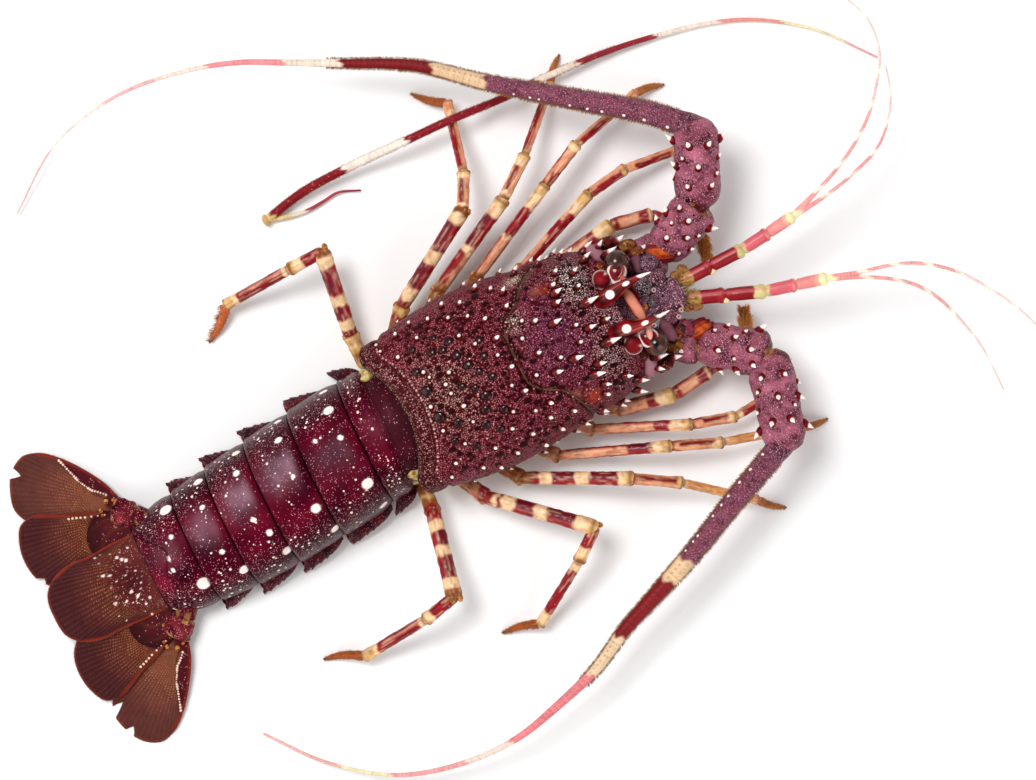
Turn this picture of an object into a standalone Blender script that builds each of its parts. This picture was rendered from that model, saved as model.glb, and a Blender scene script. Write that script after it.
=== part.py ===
"""A spiny lobster at life size, lying on its underside with legs and feelers spread.

Places are (left, forward, up) from the middle of the carapace's rear edge at floor level: the
animal's left is +X, its head points to -Y, up is +Z. The finished model is moved so that the
middle of its footprint is the origin.
"""

import math
import random

import bmesh
import bpy
import numpy as np

MM = 0.001
GAP = 0.0003  # left between pieces that touch
SHEAR_REACH = 2.4  # times its half-width: how far from a slanting joint a limb's skin follows the slant

# Carapace
CARAPACE_FRONT = 84 * MM
CARAPACE_REAR = -2.2 * MM
CARAPACE_FLOOR = 14 * MM  # underside of the shell, over the leg roots
CARAPACE_WIDEST = 26 * MM  # height at which the sides bulge most
REAR_SWEEP = ((0, 0), (12, 1.8), (20, 5), (24.5, 7.4), (28, 7), (31, 4.8))  # how far back the edge runs
POCKET_FRONT = 2.3 * MM  # the abdomen is tucked in as far as this
SHELL_SCALE = 0.94
CARAPACE_HALF_WIDTH = (
    (-14, 29.5), (0, 31), (12, 33), (27, 34.2), (45, 33),
    (57, 31), (66, 30.2), (76, 28.5), (84, 25.5)
)
CARAPACE_TOP = (
    (-14, 40), (0, 43.5), (12, 48), (27, 52), (38, 53),
    (44, 51.4), (50, 53.5), (62, 52.5), (74, 49), (84, 44)
)

# Abdomen
SOMITE_REARS = (-21.8, -43.7, -63.2, -80.8, -96.3, -115.6)
ABDOMEN_HALF_WIDTH = (
    (-120, 17), (-112, 19), (-105, 21.5), (-96, 22.5), (-80, 24.3),
    (-63, 25.2), (-44, 25.6), (-22, 25), (-13, 23.2), (2, 22)
)
ABDOMEN_TOP = (
    (-120, 15), (-112, 20), (-105, 25), (-96, 29), (-80, 33.5),
    (-63, 37), (-44, 39.6), (-22, 41), (-12, 40.4), (2, 38.5)
)
ABDOMEN_EDGE = (
    (-120, 5), (-112, 5.5), (-96, 6.5), (-80, 7.5), (-44, 8.5),
    (-22, 9.6), (-17, 10.5), (-13.5, 17.6), (-9, 18), (2, 18.2)
)
ABDOMEN_DRIFT = -10 * MM  # the abdomen curves this far to the right of the carapace's middle line
DRIFT_LENGTH = 120 * MM
PLEURON_OUT = (0, 28.8, 29, 28.6, 27.4, 25.4, 22.5)  # reach of each side tooth from the middle line
PLEURON_BACK = (0, 2.5, 0.5, 1.8, 1.6, 1.4, -5)  # how far each tooth points past its somite's rear

# Tail fan, outlines from the middle line of the fan, mirrored for the other side
FAN_MIDDLE = -10 * MM
TELSON_ROOT = ((15.6, -115.9), (-15.6, -115.9))
TELSON_OUTLINE = (
    (15.8, -126), (15.2, -136), (15.6, -143), (13.5, -151), (9, -156), (0, -157.6),
    (-9, -156), (-13.5, -151), (-15.6, -143), (-15.2, -136), (-15.8, -126)
)
INNER_ROOT = ((25.4, -119.6), (20.9, -122.6))
INNER_OUTLINE = (
    (30.4, -128.7), (34, -138.5), (38, -147.5), (37, -154), (31, -157.6),
    (23.5, -158.8), (16, -157.4), (10, -152), (12.5, -136)
)
OUTER_ROOT = ((30.75, -115.6), (26.45, -118.5))
OUTER_OUTLINE = (
    (36.5, -117.6), (45, -122.6), (53, -129), (59, -136.5), (60.4, -142),
    (57, -148.5), (50, -152.6), (43, -154), (36.5, -151), (31, -136)
)
BLADE_THICK = 1.4 * MM
BLADE_EDGE = 0.8 * MM
RAY_HEIGHT = 0.3 * MM
LAYER = 2.2 * MM  # from one overlapping blade to the next
FAN_LEVEL = -138 * MM  # behind this the fan lies flat
FAN_SLOPE = 0.2

# Legs, by pair from the front: root, lengths, half-thicknesses
LEG_PAIRS = (1, 2, 3, 4, 5)
HIP_FORWARD = {0: 62, 1: 47, 2: 31, 3: 16.5, 4: 2.5, 5: -9.5}
HIP_OUT = {0: 19, 1: 25, 2: 27, 3: 27.5, 4: 26.5, 5: 24}
COXA_FORWARD = {0: 64, 1: 45, 2: 31, 3: 18.5, 4: 6, 5: -4}
HIP_HEIGHT = 8.5 * MM
COXA_HEIGHT = 7 * MM
LEG_LENGTHS = {
    0: (15.5, 22, 15.8, 20, 10),
    1: (14.3, 37.5, 16.6, 26, 15),
    2: (15.3, 43, 19.4, 32.5, 13.5),
    3: (15.2, 42.3, 18.8, 32.5, 14),
    4: (16, 44, 14.2, 32, 16.5),
    5: (13.5, 34.3, 13.9, 32, 17.5),
}
LEG_THICKNESS = {
    0: (3.1, 3.2, 2.9, 2.4, 1.9),
    1: (2.8, 2.3, 2.3, 2.0, 1.5),
    2: (2.9, 2.3, 2.3, 1.9, 1.5),
    3: (3.1, 2.8, 2.4, 1.9, 1.5),
    4: (3.2, 3.1, 2.5, 2.1, 1.6),
    5: (3.2, 3.3, 2.6, 2.3, 1.7),
}
# The pose: for each length its heading from straight ahead, outwards, and its rise, in degrees
LEG_POSE = {
    ("left", 1): ((25, 10), (22, 9), (9, -6), (-5, -18), (6, 0)),
    ("left", 2): ((35, 13), (27, 11), (27, -6), (16, -21), (-7, 0)),
    ("left", 3): ((41, 14), (28, 13), (38, -6), (45, -24), (47, 0)),
    ("left", 4): ((48, 18), (31, 15), (63, -8), (77, -29), (137, 0)),
    ("left", 5): ((89, 19), (82, 21), (181, -12), (181, -28), (217, 0)),
    ("right", 1): ((46, 10), (23, 8), (16, -5), (-3, -20), (-95, 0)),
    ("right", 2): ((49, 13), (21, 10), (22, -6), (16, -19), (9, 0)),
    ("right", 3): ((56, 13), (26, 13), (31, -6), (39, -22), (42, 0)),
    ("right", 4): ((63, 14), (41, 16), (141, -13), (146, -27), (190, 0)),
    ("right", 5): ((95, 20), (101, 20), (167, -12), (173, -29), (200, 0)),
    ("left", 0): ((31, 7), (10, 3), (-11, 1), (-47, 0), (-103, -3)),
    ("right", 0): ((65, 8), (10, 2), (-7, 1), (-19, 0), (-70, -3)),
}
LEG_DEPTH = 1.05  # how much deeper than wide a leg is
TIP_HEIGHT = 0.25 * MM
TIP_FLAT = 1.5 * MM  # the last of a claw lies level on the floor

# Head
HEAD_TURN = -0.13  # the front of the head drifts this much to the right, per metre forward
HEAD_RINGS = (  # forward, half-width, floor, top
    (84.3, 17, 15, 37), (88, 12, 14.6, 34.5), (93, 6.6, 15, 36),
    (100, 5.6, 17, 36.5), (105.5, 6.2, 22, 36.5), (108.6, 6.4, 28, 36)
)
BLOCK_POWER = 0.7  # under 1 makes an oval section squarer
EYE_PLACE = (16.5, 91, 43.5)
EYE_RADIUS = 4.5 * MM
EYE_STALK = 2.7 * MM
EYE_FOOT = 4 * MM  # how deep the stalk's socket is sunk in the head
ANTENNULE_FOOT = 6 * MM
EYE_ROOT = (10, 88.8, 37.6)
HORN_ROUTE = ((8, 79, 44.5), (8.4, 84, 48.5), (8.3, 90, 52.5), (8, 95.5, 56), (7.7, 99.6, 59.5))
HORN_HALF_WIDTHS = (4.8, 4.3, 3.3, 2.1, 0.45)

# Feelers
ANTENNA_JOINTS = {  # root on the head, ends of the base, the arm and the wrist
    "left": ((15, 86, 21), (14.6, 94.5, 21), (13, 109, 24), (22.8, 128, 32), (48.3, 139, 38)),
    "right": ((-15.5, 86, 21), (-16, 94, 21), (-22.8, 106.5, 25), (-38.6, 127, 30), (-69.3, 118.4, 34.5)),
}
ANTENNA_HALF_WIDTHS = (7.4, 8.1, 8.5, 7.9, 4.6)
ANTENNA_FLATNESS = 0.84
WRIST_SOCKET = 7.5 * MM  # from the middle of the wrist's end to the root of the whip
FLAGELLUM_ROUTE = {
    "left": (
        (58, 129.2, 38), (76.2, 105.4, 37), (98.5, 76.1, 34), (113.8, 58, 32),
        (128.3, 31.5, 29), (138.1, 12.9, 26), (145.1, -0.6, 23.5), (152.8, -23.9, 18),
        (156, -51.2, 12), (150.7, -78.1, 7), (133.9, -103.5, 2.5)
    ),
    "right": (
        (-73.5, 109.4, 34.5), (-81.1, 92.3, 34), (-90.9, 72, 33), (-100, 50.8, 31),
        (-106.1, 36, 29), (-115.6, 18.3, 26), (-121.4, 1, 23), (-126.4, -18.8, 19),
        (-126.1, -44.2, 14), (-120.6, -65.5, 9), (-104.3, -88.9, 5), (-84.2, -106, 2.5)
    ),
}
FLAGELLUM_TAPER = (  # distance along, half-thickness
    (0, 4.4), (20, 4.05), (40, 3.7), (55, 3.4), (70, 2.9), (90, 2.35), (110, 1.9),
    (130, 1.55), (150, 1.2), (180, 0.95), (205, 0.75), (240, 0.5), (330, 0.3)
)
FLAGELLUM_SPLIT = 122 * MM
ANTENNULE_ROUTE = {
    "left": ((0, 110, 33), (0.4, 122, 34.5), (0.7, 135, 36), (2, 146, 37), (3.6, 156.8, 37.5)),
    "right": (
        (-6.8, 109.6, 33), (-11.5, 122, 34.5), (-16.8, 136, 36), (-19.6, 147, 37), (-22.3, 158, 37.5)
    ),
}
ANTENNULE_HALF_WIDTHS = (2.7, 2.6, 2.4, 2.3, 2.0)
ANTENNULE_FLAGELLA = {
    "left": (
        (
            (8, 168.9, 38), (12.7, 180.3, 37), (18.3, 190.1, 36), (26, 199.7, 35), (33.3, 205.9, 34),
            (41.1, 211.6, 32), (50.1, 214.6, 30), (57.7, 214.9, 28), (70.5, 210.4, 25)
        ),
        (
            (4.6, 167.7, 37.4), (5.6, 174, 36.4), (8.7, 186.4, 34), (12.8, 196.9, 31.5),
            (20.4, 205.3, 29), (28.5, 210.5, 27), (39.1, 214.2, 24)
        ),
    ),
    "right": (
        (
            (-25.8, 170.4, 38), (-28.2, 180.9, 37), (-31.4, 189.6, 36), (-35.2, 195.7, 35),
            (-42.4, 204, 33), (-52, 211.2, 31), (-62.5, 217.7, 28), (-74.5, 223, 25)
        ),
        (
            (-28, 170.7, 37), (-33.2, 179.9, 35), (-38.4, 186.5, 33), (-48.4, 193.6, 29),
            (-57.9, 197.3, 26), (-68.5, 200.4, 22), (-89.4, 201.8, 17)
        ),
    ),
}
LOOSE_FEELER_ROUTE = (
    (90.2, -19.2, 2.7), (93.4, -3, 5.2), (93.9, 16.4, 9.6), (93, 41.3, 14.6), (92.5, 60, 16.2),
    (91.6, 83.3, 12.4), (92.2, 95.4, 9.5), (91.9, 103.5, 8), (91.7, 112.8, 6.2), (90.4, 129.8, 4),
    (88.3, 144, 3), (82.9, 167.6, 2), (79, 177.6, 1.7), (65.4, 198.1, 1.4), (44.2, 216.4, 1.2)
)
LOOSE_FEELER_TAPER = ((0, 2.1), (60, 1.9), (120, 1.6), (165, 1.15), (200, 0.8), (235, 0.5), (270, 0.3))
LOOSE_FEELER_SPLIT = 108 * MM
LOOSE_CURL_ROUTE = (
    (90.2, -18.6, 2.6), (88.2, -12.5, 2.2), (86.8, -4, 1.9),
    (87.2, 3, 1.8), (87.9, 9, 1.6), (84.8, 17.9, 1.4)
)

COLOURS = {  # red, green, blue as they look on a screen
    "carapace": (0.33, 0.13, 0.18),
    "abdomen": (0.29, 0.04, 0.13),
    "feeler": (0.40, 0.20, 0.30),
    "leg": (0.62, 0.22, 0.18),
    "fan": (0.38, 0.19, 0.16),
    "eye": (0.07, 0.07, 0.08),
    "horn": (0.40, 0.05, 0.08),
    "membrane": (0.75, 0.62, 0.42),
}


def clear_scene():
    for obj in list(bpy.data.objects):
        bpy.data.objects.remove(obj, do_unlink=True)


def mm(rows):
    return np.array(rows, float) * MM


def world(points):
    """(left, forward, up) to Blender's X, Y, Z."""
    points = np.asarray(points, float)
    return np.stack([points[..., 0], -points[..., 1], points[..., 2]], axis=-1)


def unit(vectors):
    vectors = np.asarray(vectors, float)
    return vectors / np.linalg.norm(vectors, axis=-1, keepdims=True)


def direction(heading, rise, side=1):
    """The unit vector that points this many degrees outwards from straight ahead, and up."""
    level = math.cos(math.radians(rise))
    out = math.sin(math.radians(heading)) * level * side
    return np.array([out, math.cos(math.radians(heading)) * level, math.sin(math.radians(rise))])


def through(table, where):
    """A smooth curve through the table's rows of (place, value...), read at these places."""
    table = np.asarray(table, float)
    places, values = table[:, 0], table[:, 1:]
    slopes = np.gradient(values, places, axis=0)
    where = np.clip(np.asarray(where, float), places[0], places[-1])
    i = np.clip(np.searchsorted(places, where, side="right") - 1, 0, len(places) - 2)
    step = (places[i + 1] - places[i])[..., None]
    t = (where[..., None] - places[i][..., None]) / step
    return (
        (2 * t**3 - 3 * t**2 + 1) * values[i]
        + (t**3 - 2 * t**2 + t) * step * slopes[i]
        + (3 * t**2 - 2 * t**3) * values[i + 1]
        + (t**3 - t**2) * step * slopes[i + 1]
    )


def along(route, spacing):
    """Points about this far apart on a smooth curve through the route, with their distances along it."""
    route = np.asarray(route, float)
    chord = np.concatenate([[0], np.cumsum(np.linalg.norm(np.diff(route, axis=0), axis=1))])
    fine = np.linspace(0, chord[-1], 600)
    curve = through(np.column_stack([chord, route]), fine)
    length = np.concatenate([[0], np.cumsum(np.linalg.norm(np.diff(curve, axis=0), axis=1))])
    distances = np.linspace(0, length[-1], max(4, round(length[-1] / spacing) + 1))
    points = np.column_stack([np.interp(distances, length, curve[:, i]) for i in range(3)])
    return points, distances


def material(name):
    made = bpy.data.materials.get(name)
    if made is None:
        made = bpy.data.materials.new(name)
        made.use_nodes = True
        shader = made.node_tree.nodes["Principled BSDF"]
        red, green, blue = (c**2.2 for c in COLOURS[name])
        shader.inputs["Base Color"].default_value = (red, green, blue, 1)
        shader.inputs["Roughness"].default_value = 0.25 if name in ("eye", "horn", "abdomen") else 0.45
        shader.inputs["Metallic"].default_value = 0
    return made


def closed_object(name, points, faces, colour):
    """A mesh object from points as (left, forward, up) and faces, turned so that its faces point out."""
    mesh = bpy.data.meshes.new(name)
    mesh.from_pydata(world(points).tolist(), [], [list(map(int, f)) for f in faces])
    work = bmesh.new()
    work.from_mesh(mesh)
    bmesh.ops.recalc_face_normals(work, faces=work.faces)
    if work.calc_volume(signed=True) < 0:
        bmesh.ops.reverse_faces(work, faces=work.faces)
    work.to_mesh(mesh)
    work.free()
    mesh.shade_smooth()
    mesh.set_sharp_from_angle(angle=math.radians(40))
    mesh.materials.append(material(colour))
    obj = bpy.data.objects.new(name, mesh)
    bpy.context.scene.collection.objects.link(obj)
    return obj


def loft(name, rings, colour):
    """A closed body whose skin runs through rings of equally many points, with flat ends."""
    rings = np.asarray(rings, float)
    count, around = rings.shape[:2]
    index = np.arange(count * around).reshape(count, around)
    after = np.roll(index, -1, axis=1)
    sides = np.stack([index[:-1], after[:-1], after[1:], index[1:]], axis=-1).reshape(-1, 4)
    faces = [*sides.tolist(), index[0][::-1].tolist(), index[-1].tolist()]
    return closed_object(name, rings.reshape(-1, 3), faces, colour)


def tube_rings(path, half_widths, half_heights, sides, cuts=(None, None)):
    """Rings square to the path. A cut is the plane (point, normal) on which that end lies instead, and
    the rings near it are sheared towards it, less with distance, so that a bend stays smooth."""
    path = np.asarray(path, float)
    steps = unit(np.diff(path, axis=0))
    facing = unit(np.vstack([steps[:1], steps[:-1] + steps[1:], steps[-1:]]))
    across = unit(np.cross(facing, [0, 0, 1]))
    rise = np.cross(across, facing)
    angles = (np.arange(sides) + 0.5) * 2 * math.pi / sides
    wide = np.broadcast_to(half_widths, len(path))[:, None, None]
    high = np.broadcast_to(half_heights, len(path))[:, None, None]
    rings = (
        path[:, None]
        + across[:, None] * wide * np.cos(angles)[None, :, None]
        + rise[:, None] * high * np.sin(angles)[None, :, None]
    )
    run = np.concatenate([[0], np.cumsum(np.linalg.norm(np.diff(path, axis=0), axis=1))])
    sheared = rings.copy()
    for end, cut in zip((0, -1), cuts):
        if cut is not None:
            point, normal = cut
            line = facing[end]
            shift = ((point - rings[end]) @ normal) / (line @ normal)
            reach = min(SHEAR_REACH * wide[end, 0, 0], run[-1])
            weight = np.clip(1 - np.abs(run - run[end]) / reach, 0, 1)
            sheared += (weight[:, None] * shift)[..., None] * line
    return sheared


def joint_cut(point, before, after, piece):
    """The plane halfway round a bend, half the gap to this piece's side of it: -1 before, 1 after."""
    normal = unit(unit(before) + unit(after))
    return np.asarray(point) + normal * (piece * GAP / 2), normal


def fuse(body, pieces):
    """Joins the pieces to the body with one Boolean union, and keeps its largest closed surface."""
    group = bpy.data.collections.new("pieces")
    bpy.context.scene.collection.children.link(group)
    for piece in pieces:
        bpy.context.scene.collection.objects.unlink(piece)
        group.objects.link(piece)
    union = body.modifiers.new("union", "BOOLEAN")
    union.operation = "UNION"
    union.operand_type = "COLLECTION"
    union.collection = group
    union.solver = "EXACT"
    graph = bpy.context.evaluated_depsgraph_get()
    graph.update()
    joined = bpy.data.meshes.new_from_object(body.evaluated_get(graph))
    body.modifiers.clear()
    body.data = joined
    for piece in list(group.objects):
        bpy.data.objects.remove(piece, do_unlink=True)
    bpy.data.collections.remove(group)
    keep_largest(body)


def keep_largest(body):
    work = bmesh.new()
    work.from_mesh(body.data)
    left = set(work.verts)
    shells = []
    while left:
        shell, queue = set(), [left.pop()]
        while queue:
            vert = queue.pop()
            shell.add(vert)
            near = {edge.other_vert(vert) for edge in vert.link_edges} & left
            left -= near
            queue.extend(near)
        shells.append(shell)
    shells.sort(key=len)
    for shell in shells[:-1]:
        bmesh.ops.delete(work, geom=list(shell), context="VERTS")
    work.to_mesh(body.data)
    work.free()


def spine(root, lean, length, radius, sides=4):
    """A pointed spine whose root is sunk a third of its length below the place it grows from."""
    lean = unit(lean)
    across = unit(np.cross(lean, [0.3, 0.1, 1]))
    rise = np.cross(across, lean)
    angles = np.arange(sides) * 2 * math.pi / sides
    foot = np.asarray(root) - lean * length * 0.35
    ring = foot + radius * 1.25 * (np.outer(np.cos(angles), across) + np.outer(np.sin(angles), rise))
    points = np.vstack([ring, root + lean * length])
    faces = [[i, (i + 1) % sides, sides] for i in range(sides)] + [list(range(sides))[::-1]]
    return closed_object("spine", points, faces, "carapace")


def carapace_section(forward, angles, scale=1.0):
    """Points round the carapace at this place: a full arch above its widest height, tucked in below."""
    half = through(CARAPACE_HALF_WIDTH, forward / MM)[..., 0] * MM * scale
    top = through(CARAPACE_TOP, forward / MM)[..., 0] * MM
    cosine, sine = np.cos(angles), np.sin(angles)
    above = sine >= 0
    power = np.where(above, 0.9, 0.62)
    out = half * np.sign(cosine) * np.abs(cosine) ** power
    reach = np.where(above, top - CARAPACE_WIDEST, CARAPACE_WIDEST - CARAPACE_FLOOR) * scale
    up = CARAPACE_WIDEST + reach * np.sign(sine) * np.abs(sine) ** np.where(above, 0.9, 0.75)
    return out, up


def carapace_height(left, forward):
    half = through(CARAPACE_HALF_WIDTH, forward / MM)[..., 0] * MM
    top = through(CARAPACE_TOP, forward / MM)[..., 0] * MM
    cosine = np.clip(np.abs(left) / half, 0, 0.999) ** (1 / 0.9)
    return CARAPACE_WIDEST + (top - CARAPACE_WIDEST) * np.sqrt(1 - cosine**2) ** 0.9


def carapace_normal(left, forward):
    step = 0.5 * MM
    along_left = carapace_height(left + step, forward) - carapace_height(left - step, forward)
    along_forward = carapace_height(left, forward + step) - carapace_height(left, forward - step)
    return unit([-along_left / (2 * step), -along_forward / (2 * step), 1])


def carapace_rings(stations, around):
    """The shell's skin from its swept rear edge to its flat front, after the pocket for the abdomen."""
    angles = np.arange(around) * 2 * math.pi / around
    rings = []
    for share in stations:
        forward = CARAPACE_REAR + (CARAPACE_FRONT - CARAPACE_REAR) * share
        out, up = carapace_section(np.full(around, forward), angles)
        sweep = np.where(np.sin(angles) < 0, REAR_SWEEP[-1][1], through(REAR_SWEEP, np.abs(out) / MM)[:, 0])
        swept = forward - sweep * MM * (1 - share) ** 2
        out, up = carapace_section(swept, angles)
        rings.append(np.column_stack([out, swept, up]))
    edge = rings[0]
    out, up = carapace_section(edge[:, 1], angles, SHELL_SCALE)
    inner_edge = np.column_stack([out, edge[:, 1] + 0.4 * MM, up])
    inner_end = np.column_stack([out, np.full(around, POCKET_FRONT), up])
    return [inner_end, inner_edge, *rings]


# Spines of the carapace: forward, left, length, and the same on the right
PAIRED_SPINES = (
    (73.5, 8.3, 6), (61, 7.8, 4.6), (53.5, 10, 4.2), (47, 6.5, 3), (39, 10.8, 3.2), (68.5, 14, 4),
    (64, 17, 3.6), (46.5, 18.8, 4), (38.5, 19, 3), (73.5, 20.5, 4), (67, 22, 3.6), (48, 25, 3.6),
    (78.5, 12.5, 3.2), (56, 16, 3), (58, 24, 3.2), (80, 17, 3)
)
MIDLINE_SPINES = ((76.5, 3.2), (70.5, 3), (50.5, 3.2), (38.5, 3), (60, 2.4))
HIND_ROWS = (30, 21, 12, 4)  # forward place of each row behind the cervical groove
HIND_SPACING = 7.2
SIDE_SPINES = ((24, 3.4), (40, 3.6), (57, 3.8), (69, 4.2))  # low along each side
CORNER_SPINE = (24.8, 80.5, 31)  # the place of the spine at each front corner
CORNER_SPINE_LENGTH = 7 * MM
CORNER_SPINE_RADIUS = 1.9 * MM


def carapace_spines():
    draw = random.Random(11)
    spots = []
    for forward, left, length in PAIRED_SPINES:
        spots += [(side * left, forward, length) for side in (1, -1)]
    spots += [(draw.uniform(-0.8, 0.8), forward, length) for forward, length in MIDLINE_SPINES]
    for row, forward in enumerate(HIND_ROWS):
        for place in range(-3, 4):
            left = (place + 0.5 * (row % 2)) * HIND_SPACING + draw.uniform(-1, 1)
            if abs(left) < 26:
                spots.append((left, forward + draw.uniform(-1.2, 1.2), draw.uniform(2.2, 3)))
    pieces = []
    for left, forward, length in spots:
        left, forward, length = left * MM, forward * MM, length * MM
        root = np.array([left, forward, carapace_height(left, forward)])
        lean = 0.8 * np.array([0, 1, 0]) + 0.62 * carapace_normal(left, forward)
        sides = 5 if length > 3.8 * MM else 4
        pieces.append(spine(root, lean, length, length * 0.3, sides))
    for forward, length in SIDE_SPINES:
        for side in (1, -1):
            out, up = carapace_section(np.array([forward * MM]), np.array([0.12]))
            root = np.array([side * out[0], forward * MM, up[0]])
            pieces.append(spine(root, [side * 0.55, 0.85, 0.1], length * MM, 0.3 * length * MM))
    for side in (1, -1):
        root = mm(CORNER_SPINE) * [side, 1, 1]
        pieces.append(spine(root, [side * 0.2, 1, 0.15], CORNER_SPINE_LENGTH, CORNER_SPINE_RADIUS, 5))
    return pieces


def horn_root_plane(side):
    """Where each horn meets its socket on the carapace."""
    route = mm(HORN_ROUTE) * [side, 1, 1]
    return joint_cut(route[1], route[1] - route[0], route[2] - route[1], 0)


def build_carapace():
    stations = (0, 0.03, 0.08, 0.16, 0.25, 0.34, 0.43, 0.49, 0.535, 0.58, 0.66, 0.75, 0.83, 0.9, 0.96, 1)
    body = loft("carapace", carapace_rings(stations, 28), "carapace")
    pieces = carapace_spines()
    for side in (1, -1):
        route = mm(HORN_ROUTE)[:2] * [side, 1, 1]
        point, normal = horn_root_plane(side)
        root = np.vstack([route[0] - [0, 3 * MM, 4 * MM], route])
        half = np.array([4.9, 4.8, 4.3]) * MM
        cut = (point - normal * GAP / 2, normal)
        pieces.append(loft("socket", tube_rings(root, half, half * 0.9, 8, (None, cut)), "carapace"))
    fuse(body, pieces)


def build_horns():
    for side, word in ((1, "left"), (-1, "right")):
        route = mm(HORN_ROUTE)[1:] * [side, 1, 1]
        point, normal = horn_root_plane(side)
        half = mm(HORN_HALF_WIDTHS)[1:]
        cut = (point + normal * GAP / 2, normal)
        loft(f"horn_{word}", tube_rings(route, half, half * 0.9, 8, (cut, None)), "horn")


def build_eyes():
    for side, word in ((1, "left"), (-1, "right")):
        middle = mm(EYE_PLACE) * [side, 1, 1]
        root = mm(EYE_ROOT) * [side, 1, 1]
        line = unit(middle - root)
        start = root + line * GAP
        swell = np.array([-0.97, -0.8, -0.5, -0.1, 0.3, 0.66, 0.9, 0.985])
        stalk = np.linalg.norm(middle - start)
        stalk_places = start + np.outer([0, 0.45], line * (stalk - EYE_RADIUS))
        globe_places = middle + np.outer(swell, line * EYE_RADIUS)
        path = np.vstack([stalk_places, globe_places[1:]])
        globe = EYE_RADIUS * np.sqrt(1 - swell[1:] ** 2)
        half = np.concatenate([[2.6 * MM, 2.4 * MM], globe])
        loft(f"eye_{word}", tube_rings(path, half, half, 12, ((start, line), None)), "eye")


def head_middle(forward):
    return HEAD_TURN * np.maximum(forward - CARAPACE_FRONT, 0)


def build_head():
    rings = []
    angles = (np.arange(12) + 0.5) * 2 * math.pi / 12
    cosine, sine = np.cos(angles), np.sin(angles)
    for forward, half, floor, top in mm(HEAD_RINGS):
        out = half * np.sign(cosine) * np.abs(cosine) ** BLOCK_POWER
        up = (floor + top) / 2 + (top - floor) / 2 * np.sign(sine) * np.abs(sine) ** BLOCK_POWER
        rings.append(np.column_stack([out + head_middle(forward), np.full(12, forward), up]))
    body = loft("head_front", rings, "carapace")
    pieces = []
    for side, word in ((1, "left"), (-1, "right")):
        joints = mm(ANTENNA_JOINTS[word])
        half = mm(ANTENNA_HALF_WIDTHS)[:2] * 0.94
        cut = joint_cut(joints[1], joints[1] - joints[0], joints[2] - joints[1], -1)
        rear = (np.array([0, CARAPACE_FRONT + GAP, 0]), np.array([0, 1.0, 0]))
        rings = tube_rings(joints[:2], half, half * ANTENNA_FLATNESS, 12, (rear, cut))
        pieces.append(loft("socket", rings, "carapace"))
        eye, root = mm(EYE_PLACE) * [side, 1, 1], mm(EYE_ROOT) * [side, 1, 1]
        line = unit(eye - root)
        foot = np.vstack([root - line * EYE_FOOT, root])
        rings = tube_rings(foot, EYE_STALK, EYE_STALK, 12, (None, (root, line)))
        pieces.append(loft("socket", rings, "carapace"))
        route = mm(ANTENNULE_ROUTE[word])
        line = unit(route[1] - route[0])
        foot = np.vstack([route[0] - line * ANTENNULE_FOOT, route[0]])
        half = ANTENNULE_HALF_WIDTHS[0] * MM
        cut = (route[0] - line * GAP / 2, line)
        pieces.append(loft("socket", tube_rings(foot, half, half, 8, (None, cut)), "carapace"))
    fuse(body, pieces)


# A limb's length, thicker near its ends: share of the length, and of the half-thickness
SWELL = ((0, 0.8), (0.1, 1.0), (0.5, 0.95), (0.86, 1.04), (1, 0.82))


def limb_stations(joints, halves, first, last):
    """Places and half-thicknesses down the lengths of a limb, from joint number first to last."""
    places, thick = [], []
    for k in range(first, last):
        for share, swell in SWELL[:-1]:
            if share == 0 and k > 0:
                thick.append(min(halves[k - 1], halves[k]) * SWELL[-1][1])
            else:
                thick.append(halves[k] * swell)
            places.append(joints[k] + (joints[k + 1] - joints[k]) * share)
    places.append(joints[last])
    after = halves[last] if last < len(halves) else halves[-1]
    thick.append(min(halves[last - 1], after) * SWELL[-1][1])
    return np.array(places), np.array(thick)


def leg_joints(word, pair):
    """Hip, then the end of each length. A walking leg's claw dips until its tip is on the floor."""
    side = 1 if word == "left" else -1
    joints = [mm((side * HIP_OUT[pair], HIP_FORWARD[pair], HIP_HEIGHT / MM))]
    for number, (heading, rise) in enumerate(LEG_POSE[word, pair]):
        length = LEG_LENGTHS[pair][number] * MM
        if number == 4 and pair:
            rise = math.degrees(math.asin((TIP_HEIGHT - joints[-1][2]) / length))
        joints.append(joints[-1] + length * direction(heading, rise, side))
    return np.array(joints)


def coxa_path(word, pair):
    side = 1 if word == "left" else -1
    hip = leg_joints(word, pair)[0]
    return np.array([[side * 9 * MM, COXA_FORWARD[pair] * MM, COXA_HEIGHT], hip])


def claw(word, joints, halves):
    """The last length: it tapers and bows a little, and ends in a short flat that lies on the floor."""
    start, tip = joints[4], joints[5]
    level = unit((tip - start) * [1, 1, 0])
    foot = tip - level * TIP_FLAT
    shares = np.array([0.12, 0.45, 0.8])
    bow = np.cross(unit(foot - start), [0, 0, 1]) * (0.06 if word == "left" else -0.06)
    bent = np.outer(np.sin(shares * math.pi), bow * np.linalg.norm(foot - start))
    places = np.vstack([start + np.outer(shares, foot - start) + bent, foot, tip])
    return places, np.append(halves[4] * np.array([1.05, 0.9, 0.66]), [0.66 * MM, 0.5 * MM])


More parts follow.
